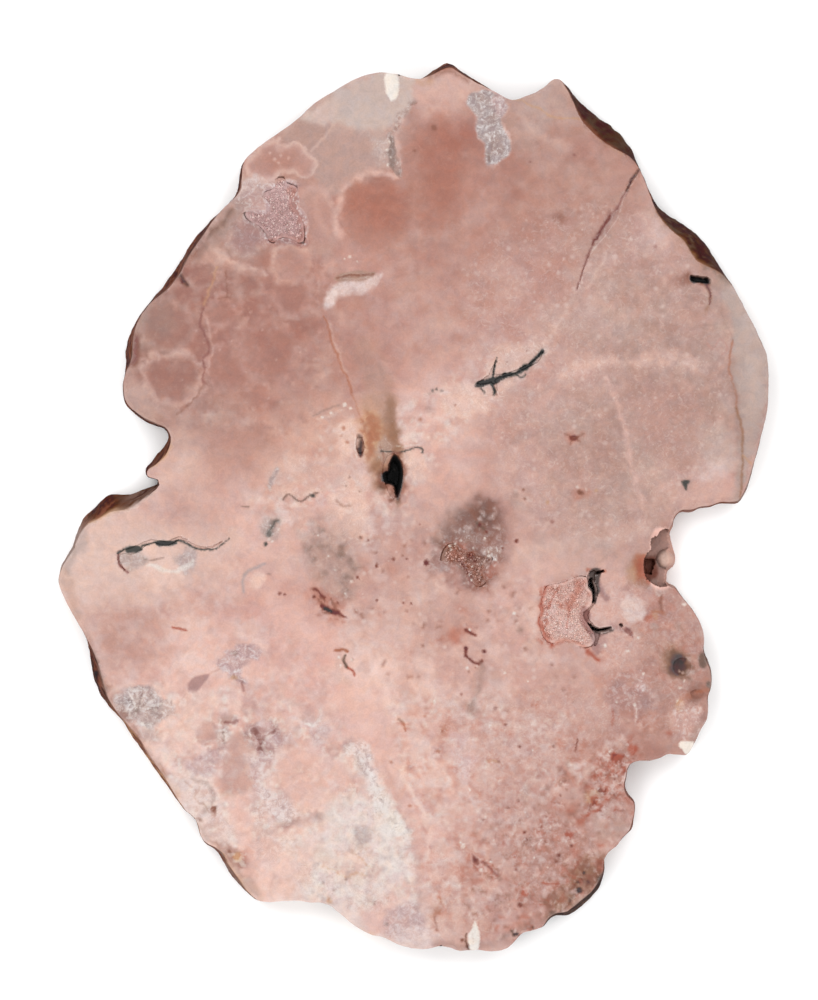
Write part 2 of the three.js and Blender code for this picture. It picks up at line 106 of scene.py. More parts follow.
def to_linear(colour: Array, light: float = 1.7, sheen: float = 0.044) -> Array:
    """Turn sRGB colours, as they look in the studio, into linear surface colours.

    Args:
        colour: sRGB values from 0 to 1.
        light: how strongly the studio lights the polished face; a card of 1 / light looks white there.
        sheen: the light that the polish mirrors on top of the stone's own.

    Returns:
        Linear values in the same shape.
    """
    linear = np.where(colour <= 0.04045, colour / 12.92, ((np.maximum(colour, 0) + 0.055) / 1.055) ** 2.4)
    return np.maximum(linear - sheen, 0.001) / light


class Hue(Enum):
    """The stone's colours, and the painted light and shade laid with some of them, as sRGB hex values."""

    # polished pink amethyst and the pale quartz around it
    # painted light: a pink lighter than the stone, laid on the east bay's shelf and wall so that they look
    # as bright as the face, though they lie in shade
    FLUSH = "#fbc9ba"
    APRICOT = "#f3d2c4"
    BLUSH = "#eec7bb"
    ROSE = "#e6bcb1"
    SHELL = "#dfb8ad"
    PETAL = "#d7b1a6"
    DUSTY_ROSE = "#cba399"
    CLAY_ROSE = "#c1968b"
    TEA_ROSE = "#b88c80"
    FADED_BRICK = "#b07f73"
    BRICK = "#b07361"
    OLD_BRICK = "#a4756a"
    # greyer zones
    ASH_ROSE = "#b8988e"
    WARM_ASH = "#bf9f95"
    PALE_ASH = "#c8a89e"
    MILKY_GREY = "#cfbdb5"
    OYSTER = "#bfaba3"
    STORM = "#b5a6a4"
    SMOKE = "#a08379"
    DEEP_SMOKE = "#7f655b"
    # pale and white quartz
    CREAM = "#e5c6ba"
    SAND = "#dbb3a4"
    IVORY = "#ead6d0"
    NACRE = "#eedbd6"
    # also the white of painted glints: flecks and dashes that stand for highlights on crystal faces
    CHALK_AND_GLINT = "#f5efe6"
    LILAC = "#debfbc"
    LAVENDER = "#c9abaa"
    MAUVE = "#a8827f"
    # stains, veins and rind
    HONEY = "#cda07a"
    RUST = "#ad6c52"
    LIVER = "#8c5b4b"
    TERRACOTTA = "#b9705c"
    EMBER = "#a8503c"
    PLUM = "#8d5a54"
    TAN = "#b59384"
    OLIVE = "#6b5549"
    # painted shade: the dark grey laid over the mouths of the through gaps
    GAP_SHADE = "#4f4441"
    TOBACCO = "#96694d"
    OXBLOOD = "#6e3227"
    UMBER = "#5a3828"
    BISTRE = "#3a2419"
    # also painted shade: the near-black laid inside the deep hollows
    PEAT = "#1f1612"
    GREEN_BLACK = "#26302c"
    SLATE = "#4a4a46"


# ---- noise ----------------------------------------------------------------------------------------
class Seed(IntEnum):
    """What each random pattern starts from."""

    FOLD_EAST = 11
    FOLD_SOUTH = 12
    CLOUDS = 21
    MOTTLE = 22
    WARMTH = 23
    MOTTLE_FOLD = 24
    WARMTH_FOLD = 25
    WANDER_EAST = 31
    WANDER_SOUTH = 32
    BREAKS = 33
    FEATHER = 34
    RIND_SWELL = 41
    CREST_EAST = 42
    CREST_LOW = 43
    GAP_SWELL = 51
    PIT_GRAIN = 61
    PIT_SWELL = 62
    BACK_POINTS = 71
    QUIET_POINTS = 72
    FINE_POINTS = 73
    CLOSE_POINTS = 75
    RIND_BLOTCH = 81
    RIND_SPECK = 82
    AMETHYST_CRUST = 101
    SMOKY_CRUST = 102
    RUSTY_CRUST = 103
    FIRST_MARK = 400


def lattice_value(i: Array, j: Array, seed: int) -> Array:
    """Give each lattice corner a fixed value from -1 to 1.

    Args:
        i: whole numbers to the east.
        j: whole numbers to the south.
        seed: picks one of many patterns.

    Returns:
        One value for each corner.
    """
    n = (i.astype(np.int64) * 374761393 + j.astype(np.int64) * 668265263 + seed * 974634777) & 0xFFFFFFFF
    n = ((n ^ (n >> 13)) * 1274126177) & 0xFFFFFFFF
    n = ((n ^ (n >> 16)) * 2246822519) & 0xFFFFFFFF
    return (n & 0xFFFFFF) / 0x7FFFFF - 1


def noise(x: Array, y: Array, size: float, seed: int, octaves: int = 1) -> Array:
    """Smooth lattice noise.

    Args:
        x: places to the east.
        y: places to the south.
        size: spacing of the coarsest lattice, in the same units.
        seed: picks one of many patterns.
        octaves: how many lattices are added, each twice as fine as the last.

    Returns:
        Values from about -1 to 1.
    """
    total = np.zeros(np.shape(x))
    weight = 1.0
    reach = 0.0
    for octave in range(octaves):
        u = x / size * 2 ** octave + 31.7 * octave
        v = y / size * 2 ** octave + 17.3 * octave
        i, j = np.floor(u), np.floor(v)
        fu, fv = u - i, v - j
        fu, fv = fu * fu * (3 - 2 * fu), fv * fv * (3 - 2 * fv)
        near = lattice_value(i, j, seed) * (1 - fu) + lattice_value(i + 1, j, seed) * fu
        far = lattice_value(i, j + 1, seed) * (1 - fu) + lattice_value(i + 1, j + 1, seed) * fu
        total += weight * (near * (1 - fv) + far * fv)
        reach += weight
        weight *= 0.55
    return total / reach ** 0.5


def smoothstep(value: Array, low: float, high: float) -> Array:
    """Ease from 0 at low to 1 at high."""
    t = np.clip((value - low) / (high - low), 0, 1)
    return t * t * (3 - 2 * t)


# ---- curves on the survey grid ----------------------------------------------------------------------
def rounded(points: Sequence[Point], closed: bool, steps: int = 4) -> Array:
    """Run a smooth curve through points.

    Args:
        points: the points it passes through.
        closed: whether it comes back to its start.
        steps: how many pieces each stretch is divided into.

    Returns:
        One row for each point of the curve.
    """
    p = np.asarray(points, float)
    if len(p) < 3:
        return p
    before = np.roll(p, 1, 0) if closed else np.vstack((p[:1], p[:-1]))
    after = np.roll(p, -1, 0) if closed else np.vstack((p[1:], p[-1:]))
    beyond = np.roll(p, -2, 0) if closed else np.vstack((p[2:], p[-1:], p[-1:]))
    rows = []
    for k in range(steps):
        t = k / steps
        rows.append(0.5 * (2 * p + (after - before) * t + (2 * before - 5 * p + 4 * after - beyond) * t * t
                           + (3 * p - before - 3 * after + beyond) * t ** 3))
    curve = np.stack(rows, 1).reshape(-1, 2)
    return curve if closed else np.vstack((curve[:1 - steps], p[-1:]))


def line_distance(x: Array, y: Array, line: Array) -> tuple[Array, Array]:
    """Find how far places lie from a chain of straight stretches.

    Args:
        x: places to the east.
        y: places to the south.
        line: the chain's corners.

    Returns:
        The distance of each place, and how far along the chain its nearest point is, from 0 to 1.
    """
    nearest = np.full(x.shape, np.inf)
    along = np.zeros(x.shape)
    lengths = np.hypot(*np.diff(line, axis=0).T)
    run = np.concatenate(([0.0], np.cumsum(lengths)))
    for (ax, ay), (bx, by), length, start in zip(line[:-1], line[1:], lengths, run[:-1]):
        if length < 1e-9:
            continue
        t = np.clip(((x - ax) * (bx - ax) + (y - ay) * (by - ay)) / length ** 2, 0, 1)
        d = np.hypot(x - ax - t * (bx - ax), y - ay - t * (by - ay))
        closer = d < nearest
        nearest = np.where(closer, d, nearest)
        along = np.where(closer, start + t * length, along)
    return nearest, along / max(run[-1], 1e-9)


def inside(x: Array, y: Array, ring: Array) -> Array:
    """Tell which places lie inside a closed ring.

    Args:
        x: places to the east.
        y: places to the south.
        ring: the ring's corners, without the first one repeated.

    Returns:
        True for each place inside.
    """
    within = np.zeros(x.shape, bool)
    for (ax, ay), (bx, by) in zip(ring, np.roll(ring, -1, 0)):
        if ay == by:
            continue
        crosses = ((ay > y) != (by > y)) & (x < (bx - ax) * (y - ay) / (by - ay) + ax)
        within ^= crosses
    return within


def depth_inside(x: Array, y: Array, ring: Array) -> Array:
    """Measure how deep places lie inside a ring, with places outside negative."""
    distance, _ = line_distance(x, y, np.vstack((ring, ring[:1])))
    return np.where(inside(x, y, ring), distance, -distance)


# ---- marks that make up the stone's pattern ----------------------------------------------------------
class Texture(Enum):
    """Kinds of fine texture that the material draws where a mark asks for them."""

    CRYSTAL = "crystal"  # sawn quartz crystals, whitish with grey gaps
    FLAKE = "flake"  # chalky flakes with thin brown seams
    PEARL = "pearl"  # small pale spherulites
    RUST = "rust"  # specks of iron oxide
    GLINT = "glint"  # painted glints: tiny highlights of crystal faces
    ROUGH = "rough"  # unpolished, broken or natural surface


def around(places: Iterable[Sequence[float]], margin: float) -> tuple[float, float, float, float]:
    """Give the lowest and highest x and y that lie within a margin of some places."""
    xs, ys, *_ = zip(*places)
    return min(xs) - margin, max(xs) + margin, min(ys) - margin, max(ys) + margin


@dataclass(frozen=True)
class Tone:
    """The body colour of the stone around one place. Every tone is blended into its neighbours."""

    x: float
    y: float
    hue: Hue
    reach: float = 42.0


@dataclass(frozen=True)
class Mark:
    """What every mark has: its colour, its edge and its texture."""

    hue: Hue | None = None
    soft: float = 3.0  # how far its edge fades
    strength: float = 1.0
    ragged: float = 2.0  # how far its edge wanders
    textures: dict[Texture, float] = field(default_factory=dict)  # how strongly it carries each
    core: Hue | None = None  # a second colour, deep inside
    core_depth: float = 12.0
    rim: Hue | None = None  # a thin band along its edge
    rim_width: float = 2.5
    grain: float = 0.0  # size of the grains it breaks into, or 0 where it is whole
    sparse: float = 0.2  # from -0.6 where almost all grains show to 0.6 where almost none do

    def reach(self) -> tuple[float, float, float, float]:
        """Give the lowest and highest x and y that the mark can touch."""
        raise NotImplementedError

    def depth(self, x: Array, y: Array) -> Array:
        """Measure how deep places lie inside the mark."""
        raise NotImplementedError

    def margin(self) -> float:
        """Give how far outside its outline the mark still shows."""
        return self.soft + self.ragged * 1.5 + (self.rim_width * 2 if self.rim else 0) + 1


@dataclass(frozen=True)
class Patch(Mark):
    """A closed area with a smooth outline."""

    outline: tuple[Point, ...] = ()

    def reach(self) -> tuple[float, float, float, float]:
        """Give the lowest and highest x and y that the patch can touch."""
        return around(self.outline, self.margin())

    def depth(self, x: Array, y: Array) -> Array:
        """Measure how deep places lie inside the outline."""
        return depth_inside(x, y, rounded(self.outline, True))


@dataclass(frozen=True)
class Blob(Mark):
    """A round or oval area."""

    x: float = 0.0
    y: float = 0.0
    width: float = 10.0  # half of its width
    height: float = 10.0  # half of its height
    turn: float = 0.0  # degrees, clockwise on the slab

    def reach(self) -> tuple[float, float, float, float]:
        """Give the lowest and highest x and y that the blob can touch."""
        return around([(self.x, self.y)], max(self.width, self.height) + self.margin())

    def depth(self, x: Array, y: Array) -> Array:
        """Measure how deep places lie inside the oval."""
        c, s = math.cos(math.radians(self.turn)), math.sin(math.radians(self.turn))
        u = ((x - self.x) * c + (y - self.y) * s) / self.width
        v = (-(x - self.x) * s + (y - self.y) * c) / self.height
        return (1 - np.hypot(u, v)) * min(self.width, self.height)


@dataclass(frozen=True)
class Vein(Mark):
    """A line of even or tapering width."""

    path: tuple[Point, ...] = ()
    width: float = 2.0
    end_width: float | None = None  # where it tapers
    smooth: bool = True

    def reach(self) -> tuple[float, float, float, float]:
        """Give the lowest and highest x and y that the vein can touch."""
        return around(self.path, self.margin() + max(self.width, self.end_width or 0))

    def depth(self, x: Array, y: Array) -> Array:
        """Measure how deep places lie inside the vein."""
        line = rounded(self.path, False, 3) if self.smooth else np.asarray(self.path, float)
        distance, along = line_distance(x, y, line)
        last = self.width if self.end_width is None else self.end_width
        return (self.width + (last - self.width) * along) / 2 - distance


@dataclass(frozen=True)
class Flecks(Mark):
    """Small round dots of one colour."""

    places: tuple[tuple[float, float, float], ...] = ()  # x, y and radius of each

    def reach(self) -> tuple[float, float, float, float]:
        """Give the lowest and highest x and y that the flecks can touch."""
        return around(self.places, self.margin() + max(radius for _, _, radius in self.places))

    def depth(self, x: Array, y: Array) -> Array:
        """Measure how deep places lie inside the nearest fleck."""
        deepest = np.full(x.shape, -np.inf)
        for fx, fy, radius in self.places:
            deepest = np.maximum(deepest, radius - np.hypot(x - fx, y - fy))
        return deepest


def pairs(places: Sequence[float]) -> tuple[Point, ...]:
    """Pair up survey divisions written one after another."""
    return tuple(zip(places[::2], places[1::2]))


def settings(more: dict[str, Any]) -> dict[str, Any]:
    """Gather the textures, given by their small names, among a mark's settings."""
    found = {texture: more.pop(texture.value) for texture in Texture if texture.value in more}
    return {**more, "textures": found}


def patch(hue: Hue | None, soft: float, *places: float, **more: Any) -> Patch:
    """Make a patch from its colour, the softness of its edge and its outline's places."""
    return Patch(hue, soft, outline=pairs(places), **settings(more))


def blob(hue: Hue | None, soft: float, x: float, y: float, width: float, height: float | None = None,
         turn: float = 0.0, **more: Any) -> Blob:
    """Make a blob from its colour, softness, centre and half widths."""
    return Blob(hue, soft, x=x, y=y, width=width, height=height or width, turn=turn, **settings(more))


def vein(hue: Hue | None, soft: float, width: float, *places: float, **more: Any) -> Vein:
    """Make a vein from its colour, softness, width and path."""
    return Vein(hue, soft, path=pairs(places), width=width, **settings(more))


def flecks(hue: Hue, soft: float, *places: float, **more: Any) -> Flecks:
    """Make flecks from their colour, softness and the x, y and radius of each."""
    dots = tuple(zip(places[::3], places[1::3], places[2::3]))
    return Flecks(hue, soft, places=dots, **settings({"ragged": 1.0, **more}))


class Painter:
    """Lays the stone's tones and marks, in their order, on any set of places."""

    FOLD = 9  # how far the tones' borders wander, in survey divisions
    FOLD_SIZE = 40
    CLOUD_SIZE = 46  # survey divisions between the broad clouds
    CLOUD_SWING = 0.036 * np.array([0.7, 1.1, 1.1])  # how much lighter or darker they are, in sRGB
    MOTTLE_SIZE = 13
    MOTTLE_SWING = 0.036 * np.array([0.65, 1.15, 1.2])
    WARMTH_SIZE = 22
    WARMTH_SWING = 0.011 * np.array([0.5, -0.2, -0.9])  # how far the colour turns to peach or to lilac
    WANDER_SIZE = 9  # of the wanderings of a mark's edge
    BREAK_SIZE = 15  # of the breaks in rims and soft marks
    FEATHER_SIZE = 8  # of the feathering of soft edges
    CRISP = 3.2  # a mark whose edge fades over less than this needs closely spaced corners

    def __init__(self, tones: Sequence[Tone], marks: Sequence[Mark]) -> None:
        """Keep the pattern.

        Args:
            tones: the body colours.
            marks: everything laid over them, the lowest first.
        """
        self.tones = tones
        self.marks = marks

    def body_colour(self, x: Array, y: Array) -> Array:
        """Blend the tones.

        Args:
            x: places to the east, in survey divisions.
            y: places to the south.

        Returns:
            One sRGB row for each place.
        """
        wx = x + self.FOLD * noise(x, y, self.FOLD_SIZE, Seed.FOLD_EAST, 3)
        wy = y + self.FOLD * noise(x, y, self.FOLD_SIZE, Seed.FOLD_SOUTH, 3)
        total = np.full(x.shape, 1e-9)
        colour = np.zeros((len(x), 3))
        for tone in self.tones:
            weight = np.exp(-(((wx - tone.x) ** 2 + (wy - tone.y) ** 2) / tone.reach ** 2)) + 1e-7
            total += weight
            colour += weight[:, None] * srgb(tone.hue.value)
        return colour / total[:, None]

    def paint(self, x: Array, y: Array) -> tuple[Array, dict[Texture, Array]]:
        """Colour places of the sawn face.

        Args:
            x: places to the east, in survey divisions.
            y: places to the south.

        Returns:
            One sRGB row for each place, and the strength of each texture there.
        """
        colour = self.body_colour(x, y)
        folded_x = x + 6 * noise(x, y, 18, Seed.MOTTLE_FOLD, 2)
        folded_y = y + 8 * noise(x, y, 25, Seed.WARMTH_FOLD, 2)
        colour += noise(x, y, self.CLOUD_SIZE, Seed.CLOUDS, 3)[:, None] * self.CLOUD_SWING
        colour += noise(folded_x, y, self.MOTTLE_SIZE, Seed.MOTTLE, 3)[:, None] * self.MOTTLE_SWING
        colour += noise(x, folded_y, self.WARMTH_SIZE, Seed.WARMTH, 3)[:, None] * self.WARMTH_SWING
        textures = {texture: np.zeros(len(x)) for texture in Texture}
        wander_x = noise(x, y, self.WANDER_SIZE, Seed.WANDER_EAST, 3)
        wander_y = noise(x, y, self.WANDER_SIZE, Seed.WANDER_SOUTH, 3)
        broken = smoothstep(noise(x, y, self.BREAK_SIZE, Seed.BREAKS, 2), -0.55, 0.65)
        feather = noise(x, y, self.FEATHER_SIZE, Seed.FEATHER, 4)
        for number, mark in enumerate(self.marks):
            low_x, high_x, low_y, high_y = mark.reach()
            near = np.nonzero((x > low_x) & (x < high_x) & (y > low_y) & (y < high_y))[0]
            if len(near):
                shown = np.ones(len(near))
                if mark.grain:
                    lumps = noise(x[near], y[near], mark.grain, Seed.FIRST_MARK + number, 4)
                    shown = smoothstep(lumps, mark.sparse - 0.15, mark.sparse + 0.15)
                self.lay(mark, near, x[near] + mark.ragged * wander_x[near],
                         y[near] + mark.ragged * wander_y[near], colour, textures, broken[near],
                         feather[near], shown)
        return np.clip(colour, 0, 1), textures

    def is_fine(self, x: Array, y: Array) -> Array:
        """Tell which places lie near a crisp edge of some mark.

        Args:
            x: places to the east, in survey divisions.
            y: places to the south.

        Returns:
            True for each such place.
        """
        fine = np.zeros(len(x), bool)
        for mark in self.marks:
            if mark.soft > self.CRISP and not mark.rim:
                continue
            band = mark.ragged + 1.6 + (mark.rim_width if mark.rim else mark.soft / 2)
            low_x, high_x, low_y, high_y = mark.reach()
            near = np.nonzero((x > low_x) & (x < high_x) & (y > low_y) & (y < high_y) & ~fine)[0]
            if len(near):
                fine[near] = np.abs(mark.depth(x[near], y[near])) < band
        return fine

    @staticmethod
    def lay(mark: Mark, near: Array, x: Array, y: Array, colour: Array,
            textures: dict[Texture, Array], broken: Array, feather: Array, shown: Array) -> None:
        """Lay one mark on the places near it.

        Args:
            mark: what is laid.
            near: the numbers of those places.
            x: where they lie, after the mark's edge has wandered.
            y: the same to the south.
            colour: sRGB rows of all places, which change.
            textures: strengths of all places, which change.
            broken: how much of a rim shows at each place near the mark.
            feather: breaks up the mark's edge, from -1 to 1.
            shown: how much of the mark's grains shows, from 0 to 1.
        """
        depth = mark.depth(x, y)
        if mark.soft > Painter.CRISP:
            depth = depth + feather * min(mark.soft * 0.55, 5)
        cover = smoothstep(depth, -mark.soft / 2, mark.soft / 2) * mark.strength * shown
        if mark.soft > Painter.CRISP:
            cover = cover * (0.76 + 0.24 * broken)
        if mark.hue:
            shade = np.broadcast_to(srgb(mark.hue.value), (len(near), 3))
            if mark.core:
                deep = smoothstep(depth, 0, mark.core_depth)[:, None]
                shade = shade * (1 - deep) + srgb(mark.core.value) * deep
            colour[near] += cover[:, None] * (shade - colour[near])
        if mark.rim:
            band = np.clip(1 - np.abs(depth) / mark.rim_width, 0, 1) * mark.strength
            band = band * (0.15 + 0.85 * broken)
            colour[near] += band[:, None] * (srgb(mark.rim.value) - colour[near])
        for texture, amount in mark.textures.items():
            kept = textures[texture]
            kept[near] = kept[near] * (1 - cover) + cover * amount


# ---- the slab's own pattern, on the survey grid -------------------------------------------------------
BODY = (
    # north-west: brown-pink lobes
    Tone(300, 128, Hue.WARM_ASH, 26), Tone(372, 146, Hue.PALE_ASH, 26), Tone(272, 160, Hue.TEA_ROSE, 24),
    Tone(250, 205, Hue.PALE_ASH, 24), Tone(240, 237, Hue.ASH_ROSE, 28), Tone(203, 276, Hue.OLD_BRICK, 28),
    Tone(150, 330, Hue.SMOKE, 28), Tone(170, 375, Hue.OLD_BRICK, 32), Tone(138, 402, Hue.WARM_ASH, 22),
    Tone(228, 335, Hue.FADED_BRICK, 52), Tone(290, 282, Hue.FADED_BRICK, 38),
    Tone(282, 350, Hue.FADED_BRICK, 38), Tone(300, 388, Hue.CLAY_ROSE, 34),
    Tone(206, 420, Hue.WARM_ASH, 28), Tone(240, 445, Hue.CLAY_ROSE, 32),
    # north: brick-coloured field
    Tone(370, 210, Hue.BRICK, 30), Tone(328, 214, Hue.CLAY_ROSE, 26), Tone(446, 165, Hue.FADED_BRICK, 42),
    Tone(440, 212, Hue.FADED_BRICK, 40), Tone(505, 205, Hue.TEA_ROSE, 44), Tone(580, 190, Hue.TEA_ROSE, 48),
    Tone(540, 130, Hue.WARM_ASH, 32), Tone(438, 88, Hue.PETAL, 22), Tone(430, 258, Hue.CLAY_ROSE, 46),
    Tone(350, 262, Hue.CLAY_ROSE, 34), Tone(545, 280, Hue.DUSTY_ROSE, 54),
    Tone(420, 328, Hue.DUSTY_ROSE, 50), Tone(345, 342, Hue.CLAY_ROSE, 36),
    Tone(375, 392, Hue.CLAY_ROSE, 28),
    # east: cooler, ashen field
    Tone(615, 290, Hue.WARM_ASH, 46), Tone(680, 325, Hue.ASH_ROSE, 58), Tone(655, 240, Hue.CLAY_ROSE, 40),
    Tone(692, 415, Hue.ASH_ROSE, 46), Tone(632, 420, Hue.ASH_ROSE, 48), Tone(572, 448, Hue.WARM_ASH, 44),
    Tone(520, 385, Hue.DUSTY_ROSE, 46), Tone(705, 470, Hue.DUSTY_ROSE, 32),
    Tone(642, 492, Hue.WARM_ASH, 36), Tone(588, 530, Hue.WARM_ASH, 40), Tone(535, 485, Hue.DUSTY_ROSE, 42),
    # the pale band from the west shoulder to the middle
    Tone(82, 575, Hue.CREAM, 40), Tone(125, 562, Hue.CREAM, 40), Tone(178, 510, Hue.PETAL, 34),
    Tone(225, 488, Hue.PETAL, 38), Tone(228, 530, Hue.ROSE, 34), Tone(290, 455, Hue.SAND, 38),
    Tone(345, 432, Hue.SAND, 32), Tone(410, 410, Hue.ROSE, 34), Tone(452, 402, Hue.SHELL, 36),
    Tone(320, 500, Hue.ROSE, 40), Tone(285, 556, Hue.SHELL, 38), Tone(430, 460, Hue.SHELL, 38),
    Tone(400, 538, Hue.DUSTY_ROSE, 40), Tone(335, 560, Hue.DUSTY_ROSE, 34), Tone(400, 602, Hue.PETAL, 44),
    Tone(455, 600, Hue.PETAL, 40), Tone(516, 598, Hue.SHELL, 44), Tone(508, 645, Hue.SHELL, 44),
    Tone(562, 662, Hue.PETAL, 42), Tone(612, 640, Hue.PETAL, 30), Tone(640, 560, Hue.DUSTY_ROSE, 32),
    Tone(660, 610, Hue.CLAY_ROSE, 34), Tone(682, 655, Hue.TEA_ROSE, 34), Tone(640, 662, Hue.CLAY_ROSE, 30),
    Tone(655, 712, Hue.TEA_ROSE, 40),
    # west and south-west: clear pink
    Tone(122, 635, Hue.DUSTY_ROSE, 36), Tone(150, 602, Hue.DUSTY_ROSE, 30), Tone(218, 592, Hue.PETAL, 40),
    Tone(258, 632, Hue.ROSE, 44), Tone(180, 660, Hue.BLUSH, 42), Tone(170, 738, Hue.BLUSH, 42),
    Tone(222, 702, Hue.BLUSH, 36), Tone(264, 745, Hue.PETAL, 30), Tone(310, 712, Hue.ROSE, 42),
    Tone(372, 690, Hue.BLUSH, 48), Tone(430, 728, Hue.SHELL, 46), Tone(330, 765, Hue.ROSE, 36),
    Tone(250, 800, Hue.ROSE, 34), Tone(205, 800, Hue.IVORY, 34), Tone(240, 864, Hue.BLUSH, 34),
    Tone(300, 850, Hue.APRICOT, 40), Tone(350, 872, Hue.IVORY, 46), Tone(405, 922, Hue.IVORY, 32),
    Tone(405, 772, Hue.ROSE, 34), Tone(428, 852, Hue.ROSE, 34),
    # south-east: rusty druse
    Tone(470, 800, Hue.SHELL, 44), Tone(525, 712, Hue.PETAL, 48), Tone(588, 700, Hue.DUSTY_ROSE, 40),
    Tone(535, 770, Hue.DUSTY_ROSE, 42), Tone(592, 780, Hue.TEA_ROSE, 42), Tone(475, 885, Hue.PETAL, 40),
    Tone(505, 850, Hue.CLAY_ROSE, 40), Tone(560, 852, Hue.TEA_ROSE, 40),
    Tone(585, 885, Hue.FADED_BRICK, 34), Tone(492, 932, Hue.DUSTY_ROSE, 34), Tone(445, 932, Hue.PETAL, 30),
)

